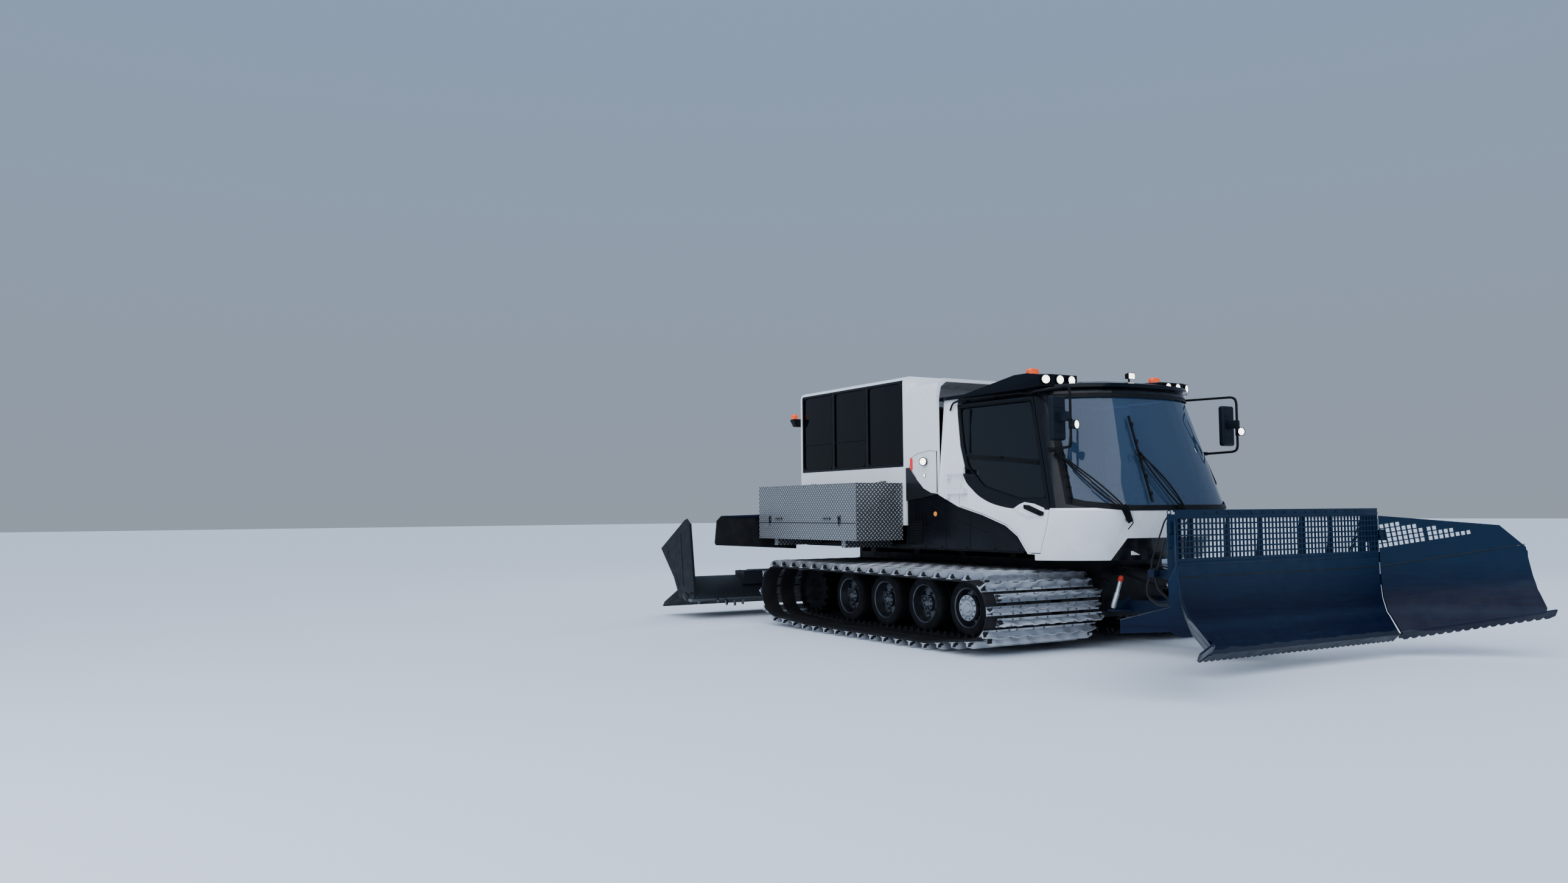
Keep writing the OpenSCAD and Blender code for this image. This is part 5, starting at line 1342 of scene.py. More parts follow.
fit(joined("mirrorHousings", [housing, otherHousing]), "chassis", "mirror_housing", "housing", "mirrors")
bothSides(lens, "mirrorLampLens", "lamp_glass", "lens")
print("mirrors made")

# place, height, turn and radius of the three lamps in each roof pod
roofLamps = [(1.585, 0.735, 4), (1.58, 0.892, 8), (1.555, 1.059, 20)]
lampSet = {"z": 2.79, "radius": 0.052, "length": 0.046,
        "side": ((-0.267, 1.222, 2.01), (0.45, 1, 0), 0.05, 0.05),
        "position": ((-0.267, 1.222, 1.85), (0, 1, 0), 0.018, 0.01)}    # place, aim, radius, length


def makeRoofLamps():
    rows = [(Vector((x, y, lampSet["z"])) - turnedAim(turn) * 0.004, turnedAim(turn), lampSet["radius"],
            lampSet["length"]) for x, y, turn in roofLamps]
    pots, lenses = zip(*[roundLamp("lamp", *row) for row in rows + [lampSet["side"], lampSet["position"]]])
    return joined("lampPots", pots), joined("lampLenses", lenses)


lampPots, lampLenses = makeRoofLamps()
bothSides(lampPots, "lampPots", "wiper_black", "plastic")
leftLenses = mirrored(lampLenses, "left")
fit(joined("lampLenses", [lampLenses, leftLenses]), "chassis", "lamp_glass", "lens", "lamps")

beaconSet = {"x": 1.25, "y": (0.9, 0.97), "z": 2.876, "radius": 0.043, "height": 0.062}


def makeBeacon(x, yFrom, yTo, z, radius, height):
    # a low amber hood: an oblong drawn round, drawn in towards its top, with a ribbed band
    outline = []
    for step in range(24):
        angle = 2 * pi * step / 24
        y = (yTo if sin(angle) > 0 else yFrom) + radius * sin(angle)
        outline.append((x + radius * cos(angle), y, z))
    hood = drawLine("beacon", outline, closed=True)
    startEdit(hood)
    pickAll("FACE")
    middle = (x, (yFrom + yTo) / 2, z)
    rise, ribs = height * 0.62, 7
    for step in range(ribs):
        push((0, 0, rise / ribs))
        grow = 0.955 if step % 2 == 0 else 1 / 0.955
        stretch((grow, grow, 1), middle)
    for up, grow in ((0.2, 0.95), (0.13, 0.82), (0.05, 0.6)):
        push((0, 0, height * up))
        stretch((grow, grow, 1), middle)
    fixNormals()
    endEdit()
    smooth(45)
    return hood


hoods = [makeBeacon(beaconSet["x"], *beaconSet["y"], beaconSet["z"] + 0.01, beaconSet["radius"],
        beaconSet["height"] - 0.002), makeBeacon(-3.07, 1.275, 1.285, 2.712, 0.043, 0.066)]
leftHoods = joined("hoods", hoods)
rightHoods = mirrored(leftHoods, "right")
fit(joined("beaconHoods", [leftHoods, rightHoods]), "chassis", "amber_plastic", "amber", "beacons")
bases = []
base = drawPlate("base", [
        (beaconSet["x"] + 0.048 * cos(a), (0.97 if sin(a) > 0 else 0.9) + 0.048 * sin(a), beaconSet["z"] - 0.004)
        for a in [2 * pi * i / 24 for i in range(24)]], (0, 0, 0.014))
bases.append(bevelAll(base, 0.003, 2, 60))
shelf = addBlock("shelf", (-3.122, 1.145, 2.602), (-3.008, 1.328, 2.699))
startEdit(shelf)
pickSide(shelf, "top")
inset(0.012)
push((0, 0, 0.01))
pickSide(shelf, "under")
stretch((0.75, 0.75, 1), (-3.02, 1.18, 2.602))
endEdit()
bases.append(bevelAll(shelf, 0.006))
bothSides(joined("beaconBases", bases), "beaconBases", "wiper_black", "plastic")
print("lamps and beacons made")

# cab doors: window gasket, rail, raised handle pod; drip rail, grab handle and panel seams
doorSet = {"window": [(1.67, 1.56), (1.315, 2.6), (0.245, 2.6), (0.345, 2.17), (0.44, 1.93), (0.718, 1.7),
        (1.278, 1.56)], "rail": [(0.405, 2.066), (1.52, 1.958)], "stile": [(0.405, 2.575), (0.452, 2.075)],
        "pod": [(1.205, 1.452), (1.3, 1.5), (1.372, 1.522), (1.52, 1.502), (1.66, 1.458), (1.672, 1.4), (1.56, 1.355),
        (1.42, 1.352), (1.29, 1.4)], "handle": [(1.385, 1.478), (1.63, 1.405)]}


def sideBand(name, line, width, out, thick):
    # a flat strip along a line on the cab's side
    points = [onSide(x, z, out) for x, z in line]
    strip = drawLine(name, points)
    startEdit(strip)
    pickAll("EDGE")
    push((0, 0, width))
    fixNormals()
    endEdit()
    addWall(strip, thick)
    return bevelAll(strip, 0.003, 2, 50)


def makeDoorTrim():
    gasket = drawTube("gasket", [onSide(x, z, 0.002) for x, z in doorSet["window"]], 0.0085, 0.05, 2, closedLoop=True)
    rail = sideBand("rail", doorSet["rail"], -0.03, 0.003, 0.014)
    second = sideBand("rail", [(x, z - 0.038) for x, z in doorSet["rail"]], -0.01, 0.001, 0.01)
    stile = drawTube("stile", [onSide(x, z, 0.001) for x, z in doorSet["stile"]], 0.009, 0.0, 2)
    latch = addBlock("latch", (0.93, -1.172, 1.995), (0.99, -1.15, 2.02))
    stepFace(latch, "right", 0.006, 0.006)
    return joined("doorTrim", [gasket, rail, second, stile, bevelAll(latch, 0.002, 1)])


def makeHandlePod():
    # the white bulge round the handle, drawn in towards its face, with a hollow for the hand
    pod = drawPlate("handlePod", [onSide(x, z, -0.004) for x, z in doorSet["pod"]], (0, -0.01, 0))
    startEdit(pod)
    pickSide(pod, "right")
    inset(0.022)
    push((0, -0.01, 0))
    inset(0.02)
    push((0, 0.008, 0))
    endEdit()
    return bevelAll(pod, 0.005, 3, 25)


def makeDoorHandle():
    (x1, z1), (x2, z2) = doorSet["handle"]
    along = Vector((x2 - x1, 0, z2 - z1)).normalized()
    across = Vector((-along.z, 0, along.x))
    start = onSide(x1, z1, 0.024)
    outline = [start + along * a + across * b for a, b in ((0.0, -0.024), (0.25, -0.031), (0.287, -0.013),
            (0.285, 0.023), (0.06, 0.031), (-0.012, 0.014))]
    handle = drawPlate("doorHandle", outline, (0, 0.016, 0))
    stepFace(handle, "right", 0.007, -0.004)
    bevelAll(handle, 0.004, 3, 25)
    spot = start + along * 0.215 + Vector((0, -0.001, 0))
    lock = spinProfile("lock", [
            spot + Vector((0, y, 0)) + across * r for y, r in ((0.004, 0.0), (0.004, 0.01), (-0.003, 0.01),
            (-0.004, 0.006), (-0.002, 0.005), (-0.002, 0.0))], spot, (0, 1, 0), 16)
    return joined("doorHandle", [handle, lock])


doorBodies = ("cab_door_right", "cab_door_left")
fitPair(makeDoorTrim(), "doorTrim", doorBodies, "gloss_black", "plastic")
fitPair(makeHandlePod(), "handlePod", doorBodies, "white_paint", "white")
fitPair(makeDoorHandle(), "doorHandle", doorBodies, "gloss_black", "plastic")


def seam(line, side=onSide, radius=0.0022, out=0.0008):
    # a thin dark line where two panels meet
    return drawTube("seam", [side(a, z, out) for a, z in line], radius, 0.0, 1)


def onFairing(x, z, out=0.0):
    return Vector((x, -1.22 - out, z))


def onHousing(x, z, out=0.0):
    return Vector((x, -1.205 - out, z))


seams = [seam([(-0.56, 1.951), (-0.5, 1.9), (-0.42, 1.8), (-0.3, 1.7), (-0.16, 1.645), (-0.06, 1.635)], onFairing),
        seam([(-0.562, 1.951), (-0.54, 2.06), (-0.405, 2.109), (-0.16, 2.135), (-0.06, 2.12)], onFairing),
        seam([(-0.045, 2.125), (-0.045, 1.9), (-0.045, 1.645)], onFairing, 0.006),
        seam([(-0.475, 1.661), (-0.2, 1.535), (0.063, 1.396), (0.4, 1.3), (0.8, 1.2)], onHousing, 0.004),
        seam([(-0.02, 1.62), (0.05, 1.3), (0.09, 1.02)], onHousing, 0.003),
        seam([(0.52, 1.4), (0.5, 1.02)], onHousing, 0.003)]
fitPair(joined("panelSeams", seams), "panelSeams", "chassis", "gloss_black", "plastic")

# drip rail over each door and the grab handle beside the screen
rail = drawTube("dripRail", [(0.125, -1.15, 2.575), (0.17, -1.15, 2.655), (0.3, -1.145, 2.682), (1.2, -1.082, 2.682),
        (1.335, -1.068, 2.668)], 0.0115, 0.03, 3)
clips = []
for x, y in ((0.32, -1.132), (0.78, -1.105), (1.2, -1.08)):
    clip = addBlock("clip", (x - 0.018, y - 0.012, 2.668), (x + 0.018, y + 0.022, 2.7))
    scaleFace(clip, "under", (0.7, 0.7, 1), (x, y, 2.668))
    clips.append(bevelAll(clip, 0.003, 1))
grab = drawTube("grab", [onScreen(0.06, 2.02, 0.0), onScreen(0.06, 2.00, 0.075), onScreen(0.06, 1.7, 0.085),
        onScreen(0.06, 1.68, 0.0)], 0.0115, 0.03, 3)
railLeft = mirrored(joined("dripRails", [rail] + clips), "left")
fit(joined("dripRails", [bpy.data.objects["dripRails"], railLeft, mirrored(grab, "left")]), "chassis", "wiper_black",
        "plastic")
bpy.data.objects.remove(grab)

# the amber marker on the black panel and a red reflector behind the side lamp
marks = {"amber": (-0.103, 1.403), "red": (-0.522, 1.992)}


def makeButton(name, spot, radius, height):
    x, y, z = spot
    profile = ((1, 0), (1, 0.55), (0.8, 0.85), (0.3, 1), (0, 1))
    return spinProfile(name, [(x, y - height * a, z + radius * b) for a, b in profile], (x, y, z), (0, 1, 0), 24)


def makeReflector(name, spot, half, tall):
    # an upright oblong lens with a raised middle
    x, y, z = spot
    angles = [2 * pi * (i + 0.5) / 16 for i in range(16)]
    lens = drawPlate(name, [(x + half * cos(a), y, z + copysign(tall, sin(a)) + half * sin(a)) for a in angles],
            (0, -0.01, 0))
    stepFace(lens, "right", 0.008, 0.006)
    return bevelAll(lens, 0.002)


amberMark = makeButton("sideMarkers", (marks["amber"][0], -1.203, marks["amber"][1]), 0.028, 0.014)
# the red reflector takes the glowing red lens finish, so it glows as painted light though it is no lamp
redMark = makeReflector("glowingRedReflectors", (marks["red"][0], -1.218, marks["red"][1]), 0.024, 0.05)
fitPair(amberMark, "sideMarkers", "chassis", "amber_plastic", "marker")
fitPair(redMark, "glowingRedReflectors", "chassis", "amber_plastic", "redLens")

# engine side panel: louvres in a frame, quarter-turn catches along its edge
ventSet = {"low": (-0.565, 1.085), "high": (-0.365, 1.305), "slats": 7}


def makeVents():
    (x1, z1), (x2, z2) = ventSet["low"], ventSet["high"]
    frameBlock = addBlock("ventFrame", (x1 - 0.018, -1.214, z1 - 0.018), (x2 + 0.018, -1.203, z2 + 0.018))
    stepFace(frameBlock, "right", 0.014, -0.007)
    parts = [bevelAll(frameBlock, 0.003)]
    step = (z2 - z1) / ventSet["slats"]
    for i in range(ventSet["slats"]):
        z = z1 + step * (i + 0.5)
        slat = drawPlate("slat", [(x1 + 0.004, -1.206, z - step * 0.35), (x1 + 0.004, -1.213, z - step * 0.42),
                (x1 + 0.004, -1.213, z - step * 0.3), (x1 + 0.004, -1.206, z + step * 0.3)], (x2 - x1 - 0.008, 0, 0))
        parts.append(slat)
    for x, z in ((-0.6, 1.03), (-0.3, 1.03), (0.0, 1.03), (0.45, 1.03), (0.9, 1.03), (1.28, 1.03), (-0.6, 1.5)):
        parts.append(makeButton("catch", (x, -1.204, z), 0.014, 0.008))
    return joined("engineVents", parts)


fitPair(makeVents(), "engineVents", "chassis", "gloss_black", "plastic")
print("doors, seams and vents made")

# padded seats in the cab and benches in the cabin, blown up by Cloth
padSet = {"voxel": 0.017, "pressure": 4.0, "frames": 20, "cap": 0.02, "start": 0.014, "crown": 0.026}
seatSet = {"wide": ((1.15, 0.0, 1.5), 0.52), "slim": ((1.05, -0.78, 1.48), 0.44), "depth": 0.52,
        "floor": (1.05, 1.14), "cushion": 0.13, "backLow": 0.06, "backHigh": 0.6, "headTop": 0.76, "lean": 0.143}
benchSet = {"x": (-2.885, -0.76), "y": (0.695, 1.145), "z": (1.315, 1.75), "places": 4, "backY": (1.075, 1.17),
        "backZ": (1.75, 1.97)}


def puffPad(name, low, high, away):
    # a pad that fills the space from low to high; away is the side that crowns, 0 to 2
    start = [a + padSet["start"] for a in low]
    end = [b - padSet["start"] for b in high]
    end[away] = high[away] - padSet["crown"] - padSet["start"]
    pad = addBlock(name, start, end)
    bevelAll(pad, min(b - a for a, b in zip(start, end)) * 0.24, 3)
    apply(pad, "REMESH", mode="VOXEL", voxel_size=padSet["voxel"])
    rest = [v.co.copy() for v in pad.data.vertices]
    air = pad.modifiers.new("air", "CLOTH")
    air.settings.use_pressure = True
    air.settings.uniform_pressure_force = padSet["pressure"]
    air.settings.effector_weights.gravity = 0
    air.settings.mass = 0.3
    air.settings.quality = 5
    air.point_cache.frame_start = 1
    air.point_cache.frame_end = padSet["frames"]
    for frameNumber in range(1, padSet["frames"] + 1):
        bpy.context.scene.frame_set(frameNumber)
    bpy.ops.object.modifier_apply(modifier="air")
    bpy.context.scene.frame_set(1)
    for v, place in zip(pad.data.vertices, rest):
        step = v.co - place
        if step.length > padSet["cap"]:
            v.co = place + step.normalized() * padSet["cap"]
    middle = [(a + b) / 2 for a, b in zip(low, high)]
    for v in pad.data.vertices:
        # the crown, highest in the middle of the pad
        across = [abs(v.co[k] - middle[k]) / ((high[k] - low[k]) / 2) for k in range(3) if k != away]
        lift = max(0.0, 1 - across[0] ** 2) * max(0.0, 1 - across[1] ** 2)
        if v.co[away] > middle[away]:
            v.co[away] += padSet["crown"] * lift
        for k in range(3):
            v.co[k] = min(max(v.co[k], low[k] + 0.002), high[k] - 0.002)
    apply(pad, "SUBSURF", levels=1, render_levels=1)
    bpy.ops.object.shade_smooth()
    return pad


def sewChannel(pad, along, place, away, depth=0.011, width=0.013):
    # a sewn line across the crowned side
    half = max(v.co[away] for v in pad.data.vertices) / 2 + min(v.co[away] for v in pad.data.vertices) / 2
    for v in pad.data.vertices:
        if v.co[away] > half:
            v.co[away] -= depth * exp(-((v.co[along] - place) / width) ** 2)


def makePiping(name, low, high, away, share):
    # the round welt that follows the pad's edge
    a, b = [k for k in range(3) if k != away]
    margin = 0.01
    level = low[away] + (high[away] - low[away]) * share
    points = []
    for sa, sb in ((low[a], low[b]), (high[a], low[b]), (high[a], high[b]), (low[a], high[b])):
        point = [0, 0, 0]
        point[a] = sa + (margin if sa == low[a] else -margin)
        point[b] = sb + (margin if sb == low[b] else -margin)
        point[away] = level
        points.append(point)
    return drawTube(name, points, 0.0045, 0.035, 2, closedLoop=True)


def leanBack(piece, foot):
    # the back leans: the higher, the further to the rear
    slant = Matrix(((1, 0, -seatSet["lean"], foot * seatSet["lean"]), (0, 1, 0, 0), (0, 0, 1, 0), (0, 0, 0, 1)))
    piece.data.transform(slant)
    return piece


def makeSeat(kind):
    (x, y, z), width = seatSet[kind]
    half = width / 2
    cushionLow, cushionHigh = (x - 0.26, y - half, z), (x + 0.26, y + half, z + seatSet["cushion"])
    cushion = puffPad("cabSeatCushion", cushionLow, cushionHigh, 2)
    for share in (-0.52, 0.52):
        sewChannel(cushion, 1, y + share * half, 2, 0.012)
    for place in (x - 0.1, x + 0.04, x + 0.17):
        for v in cushion.data.vertices:
            if v.co.z > z + 0.06 and abs(v.co.y - y) < half * 0.5:
                v.co.z -= 0.008 * exp(-((v.co.x - place) / 0.011) ** 2)
    low, high = z + seatSet["backLow"], z + seatSet["backHigh"]
    back = puffPad("cabSeatBack", (x - 0.27, y - half, low), (x - 0.16, y + half, high), 0)
    for share in (-0.56, 0.56):
        sewChannel(back, 1, y + share * half, 0, 0.012)
    for place in (low + 0.18, low + 0.31, low + 0.44):
        for v in back.data.vertices:
            if v.co.x > x - 0.21 and abs(v.co.y - y) < half * 0.54:
                v.co.x -= 0.008 * exp(-((v.co.z - place) / 0.011) ** 2)
    head = puffPad("cabSeatHeadrest", (x - 0.255, y - 0.13, high + 0.02),
            (x - 0.165, y + 0.13, z + seatSet["headTop"]), 0)
    for pad in (back, head):
        leanBack(pad, z + 0.06)
    welt = makePiping("cabSeatWelt", cushionLow, cushionHigh, 2, 0.55)
    # shell, headrest rods and recliner cover
    shell = addPanel("shell", (x - 0.274, y - half + 0.02, low - 0.02), (x - 0.262, y + half - 0.02, high - 0.03),
            "rear", 0.05, 0.008, 0.006, upright=True)
    rods = [addRound("rod", (x - 0.21, y + dy, high - 0.03), (x - 0.21, y + dy, high + 0.05), 0.006, 12)
            for dy in (-0.06, 0.06)]
    rods = [bevelAll(rod, 0.001, 1) for rod in rods]
    for piece in [shell] + rods:
        leanBack(piece, z + 0.06)
    covers = []
    for side in (-1, 1):
        cover = addRound("cover", (x - 0.2, y + side * (half - 0.012), z + 0.05),
                (x - 0.2, y + side * (half + 0.006), z + 0.05), 0.045, 28)
        startEdit(cover)
        pick(cover, "FACE", lambda f: abs(f.normal.y) > 0.9)
        inset(0.012)
        endEdit()
        covers.append(bevelAll(cover, 0.004))
    hard = joined("cabSeatShell", [shell] + rods + covers)
    return [cushion, back, head], welt, hard


def makeBellows(x, y, width):
    # the folded boot round the seat's suspension, on a foot plate
    low, high = seatSet["floor"][1], width[1]
    boot = addBlock("boot", (x - 0.15, y - width[0] / 5, low), (x + 0.15, y + width[0] / 5, low + 0.03))
    startEdit(boot)
    pickSide(boot, "top")
    folds = 7
    step = (high - low - 0.05) / (2 * folds)
    for fold in range(2 * folds):
        push((0, 0, step))
        grow = 0.88 if fold % 2 == 0 else 1 / 0.88
        stretch((grow, grow, 1), (x, y, low))
    push((0, 0, 0.02))
    endEdit()
    return bevelAll(boot, 0.004)


def makeCabSeats():
    for kind, places in (("wide", [0.0]), ("slim", [0.0, 1.56])):
        pads, welt, hard = makeSeat(kind)
        (x, y, z), width = seatSet[kind]
        boot = makeBellows(x, y, (width, z))
        for index, across in enumerate(places):
            move = Matrix.Translation((0, across, 0))
            tag = kind.capitalize() + str(index + 1)
            for pad, fill in zip(pads, (0.85, 0.85, 0.9)):
                other = copyOf(pad, pad.name.split(".")[0] + tag, move)
                fit(other, "chassis", "seat_fabric", "cloth", "cab_seats")
            for piece, slot, finish in ((welt, "seat_fabric", "plastic"), (hard, "dash_plastic", "plastic"),
                    (boot, "dash_plastic", "rubber")):
                other = copyOf(piece, piece.name.split(".")[0] + tag, move)
                fit(other, "chassis", slot, finish, "cab_seats")
        for piece in pads + [welt, hard, boot]:
            bpy.data.objects.remove(piece, do_unlink=True)
    # floor mat with a raised middle
    low, high = seatSet["floor"]
    mat = addPanel("cabFloor", (0.15, -1.1, low), (1.48, 1.1, high - 0.006), "top", 0.03, 0.006, 0.004, upright=True)
    fit(mat, "chassis", "dash_plastic", "rubber", "cab_seats")


def makeBenches():
    (x0, x1), (y0, y1), (z0, z1) = benchSet["x"], benchSet["y"], benchSet["z"]
    step = (x1 - x0) / benchSet["places"]
    top = z1 - 0.11
    cushion = puffPad("benchCushion", (x0 + 0.004, y0, top), (x0 + step - 0.004, y1, z1), 2)
    sewChannel(cushion, 1, y0 + 0.1, 2, 0.009)
    back = puffPad("benchBack", (x0 + 0.004, -benchSet["backY"][1], benchSet["backZ"][0] + 0.004),
            (x0 + step - 0.004, -benchSet["backY"][0], benchSet["backZ"][1]), 1)
    back.data.transform(Matrix.Scale(-1, 4, (0, 1, 0)))
    back.data.flip_normals()
    welt = makePiping("benchWelt", (x0 + 0.004, y0, top), (x0 + step - 0.004, y1, z1), 2, 0.5)
    for pad, kind in ((cushion, "pad"), (back, "pad"), (welt, "welt")):
        for number in range(benchSet["places"]):
            along = Matrix.Translation((step * number, 0, 0))
            label = pad.name.split(".")[0] + str(number + 1)
            left = copyOf(pad, label + "Left", along)
            for piece in (left, mirrored(left, label + "Right")):
                fit(piece, "chassis", "bench_vinyl", "vinyl", "passenger_benches")
    for piece in (cushion, back, welt):
        bpy.data.objects.remove(piece, do_unlink=True)
    # the box under the cushions, with recessed doors
    base = addBlock("benchBase", (x0, y0 + 0.03, z0), (x1, y1, top))
    startEdit(base)
    for cut in range(1, benchSet["places"]):
        pickAll()
        bpy.ops.mesh.bisect(plane_co=(x0 + step * cut, 0, 0), plane_no=(1, 0, 0))
    pickSide(base, "right")
    bpy.ops.mesh.inset(thickness=0.025, use_individual=True)
    bpy.ops.mesh.inset(thickness=0.006, depth=-0.006, use_individual=True)
    endEdit()
    bevelAll(base, 0.003)
    base.name = "benchBaseLeft"
    other = mirrored(base, "benchBaseRight")
    for piece in (base, other):
        fit(piece, "chassis", "bench_vinyl", "cabin", "passenger_benches")


makeCabSeats()
makeBenches()
print("seats and benches padded")


# driver's place: steering bar on a column, console with joystick and keys, screen
driverSet = {"wheelSpot": (1.5, 0.0, 1.66), "wheelRadius": 0.17, "columnFoot": (1.74, 0.0, 1.17),
        "console": (0.98, -0.46, 1.62), "screen": (1.9, -0.34, 1.5)}


def makeDriverPlace():
    # a half-round steering bar on three spokes
    x, y, z = driverSet["wheelSpot"]
    r = driverSet["wheelRadius"]
    aim = (Vector(driverSet["wheelSpot"]) - Vector(driverSet["columnFoot"])).normalized()
    side = Vector((0, 1, 0))
    upward = aim.cross(side) * -1
    rim = [Vector((x, y, z)) + side * cos(a) * r + upward * sin(a) * r
            for a in [radians(25 - 230 * k / 22) for k in range(23)]]
    ring = drawTube("steeringRim", rim, 0.015, 0, 5)
    hubSpot = Vector((x, y, z))
    spokes = [drawTube("spoke", [hubSpot - aim * 0.03, hubSpot + side * cos(a) * r + upward * sin(a) * r], 0.01, 0, 4)
            for a in (radians(-10), radians(-90), radians(-170))]
    hub = addRound("hub", hubSpot - aim * 0.06, hubSpot + aim * 0.004, 0.045, 32)
    stepFace(hub, aim, 0.012, 0.006)
    bevelAll(hub, 0.004)
    steering = joined("steeringWheel", [ring] + spokes + [hub])
    fit(steering, "chassis", "dash_plastic", "plastic")
    column = addRound("steeringColumn", driverSet["columnFoot"], hubSpot - aim * 0.05, 0.032, 28)
    startEdit(column)
    pick(column, "FACE", lambda f: f.normal.dot(aim) < -0.9)
    for grow, step in ((1.25, 0.0), (1.0, -0.04)):
        push(aim * step)
        stretch((grow, grow, grow), Vector(driverSet["columnFoot"]))
    endEdit()
    bevelAll(column, 0.003)
    fit(column, "chassis", "dash_plastic", "dash")
    # armrest console with a joystick and a row of blank keys
    x, y, z = driverSet["console"]
    console = addBlock("armConsole", (x, y - 0.08, z), (x + 0.44, y + 0.08, z + 0.09))
    startEdit(console)
    pickSide(console, "front")
    push((0.07, 0, -0.01))
    stretch((1, 0.8, 0.55), (x + 0.5, y, z))
    pick(console, "FACE", lambda f: f.normal.z > 0.9 and f.calc_area() > 0.03)
    inset(0.018)
    shift((0, 0, -0.006))
    endEdit()
    bevelAll(console, 0.012, 3)
    fit(console, "chassis", "dash_plastic", "dash")
    post = addRound("consolePost", (x + 0.12, y, seatSet["floor"][1]), (x + 0.12, y, z + 0.01), 0.03, 24)
    scaleFace(post, "under", (2.4, 2.4, 1), (x + 0.12, y, z))
    bevelAll(post, 0.004)
    fit(post, "chassis", "dash_plastic", "tool")
    stick = spinProfile("joystick", [(x + 0.36, y, z + 0.085), (x + 0.4, y, z + 0.088), (x + 0.392, y, z + 0.098),
            (x + 0.378, y, z + 0.108), (x + 0.374, y, z + 0.135), (x + 0.385, y, z + 0.15), (x + 0.388, y, z + 0.2),
            (x + 0.38, y, z + 0.222), (x + 0.36, y, z + 0.228)], (x + 0.36, y, z), (0, 0, 1), 28)
    fit(stick, "chassis", "dash_plastic", "plastic")
    keys = []
    for row in range(2):
        for place in range(4):
            kx, ky = x + 0.1 + place * 0.045, y - 0.028 + row * 0.056
            key = addBlock("key", (kx - 0.015, ky - 0.018, z + 0.08), (kx + 0.015, ky + 0.018, z + 0.092))
            slopeFace(key, "top", 0.004, -0.002)
            keys.append(bevelAll(key, 0.002))
    fit(joined("consoleKeys", keys), "chassis", "dash_plastic", "cabin")
    # screen on a stalk over the dashboard, dark and blank
    x, y, z = driverSet["screen"]
    screen = addPanel("dashScreen", (x - 0.02, y - 0.13, z), (x + 0.02, y + 0.13, z + 0.18), "rear", 0.012, -0.004,
            0.006)
    stalk = drawTube("stalk", [(x, y, z + 0.01), (x, y, z - 0.05), (x + 0.03, y, z - 0.09)], 0.012, 0.02, 4)
    fit(joined("dashScreen", [screen, stalk]), "chassis", "dash_plastic", "black")


makeDriverPlace()
print("driver's place made")


# side boxes: latches, handles and rivets
boxSet = {"outer": 1.905, "seam": 1.3, "latches": (-2.674, -1.043), "handles": (-2.452, -1.318), "rivetStep": 0.135,
        "from": -2.93, "to": -0.735, "lids": ("box_lid_right", "box_lid_left")}


def makeBoxLatch(x):
    y, seam = -boxSet["outer"], boxSet["seam"]
    base = addBlock("base", (x - 0.022, y - 0.0095, seam + 0.01), (x + 0.022, y + 0.002, seam + 0.097))
    slopeFace(base, "right", 0.005, -0.002)
    lever = addBlock("lever", (x - 0.0095, y - 0.0195, seam - 0.031), (x + 0.0095, y - 0.006, seam + 0.082))
    scaleFace(lever, "under", (0.7, 0.8, 1), (x, y - 0.012, seam))
    scaleFace(lever, "top", (1.3, 1, 1), (x, y - 0.012, seam))
    pin = addRound("pin", (x - 0.017, y - 0.013, seam + 0.06), (x + 0.017, y - 0.013, seam + 0.06), 0.006, 16)
    return joined("boxLatch", [bevelAll(part, 0.0015) for part in (base, lever, pin)])


def makeBoxHandle(x):
    y, middle = -boxSet["outer"], boxSet["seam"] + 0.055
    bar = addPanel("bar", (x - 0.077, y - 0.0175, middle - 0.0125), (x + 0.077, y + 0.001, middle + 0.0125), "right",
            0.005, -0.006, 0.003)
    grip = drawTube("grip", [(x - 0.066, y - 0.006, middle), (x - 0.06, y - 0.018, middle),
            (x + 0.06, y - 0.018, middle), (x + 0.066, y - 0.006, middle)], 0.0055, 0.006, 3)
    return joined("boxHandle", [bar, grip])


def makeRivet(name, spot, aim, radius=0.006, height=0.0026):
    rivet = addRound(name, spot, Vector(spot) + Vector(aim) * height, radius, 10)
    slopeFace(rivet, aim, radius * 0.4, height * 0.5)
    smooth(60)
    return rivet


def rivetLine(name, first, last, step, aim, radius=0.006, height=0.0026):
    first, last = Vector(first), Vector(last)
    count = max(1, round((last - first).length / step))
    model = makeRivet(name, first, aim, radius, height)
    row = [model] + [copyOf(model, "rivet", Matrix.Translation((last - first) * k / count))
            for k in range(1, count + 1)]
    return joined(name, row)


def dressBoxes():
    for number, x in enumerate(boxSet["latches"]):
        fitPair(makeBoxLatch(x), "boxLatch" + str(number + 1), boxSet["lids"], "gloss_black", "plastic")
    for number, x in enumerate(boxSet["handles"]):
        fitPair(makeBoxHandle(x), "boxHandle" + str(number + 1), boxSet["lids"], "gloss_black", "plastic")
    y = -boxSet["outer"]
    for part, z, bodies in (("boxLidRivets", 1.752, boxSet["lids"]), ("boxRivets", 1.118, "chassis")):
        row = rivetLine(part, (boxSet["from"], y, z), (boxSet["to"], y, z), boxSet["rivetStep"], (0, -1, 0))
        fitPair(row, part, bodies, "tread_plate", "steel")
    # rubber seal that shows in the gap under the lid
    seal = drawTube("boxSeal", [(boxSet["from"] - 0.02, y + 0.006, 1.3), (boxSet["to"] + 0.02, y + 0.006, 1.3)],
            0.0075, 0, 2)
    fitPair(seal, "boxSeal", "chassis", "flap_rubber", "rubber")


dressBoxes()
print("side boxes fitted out")


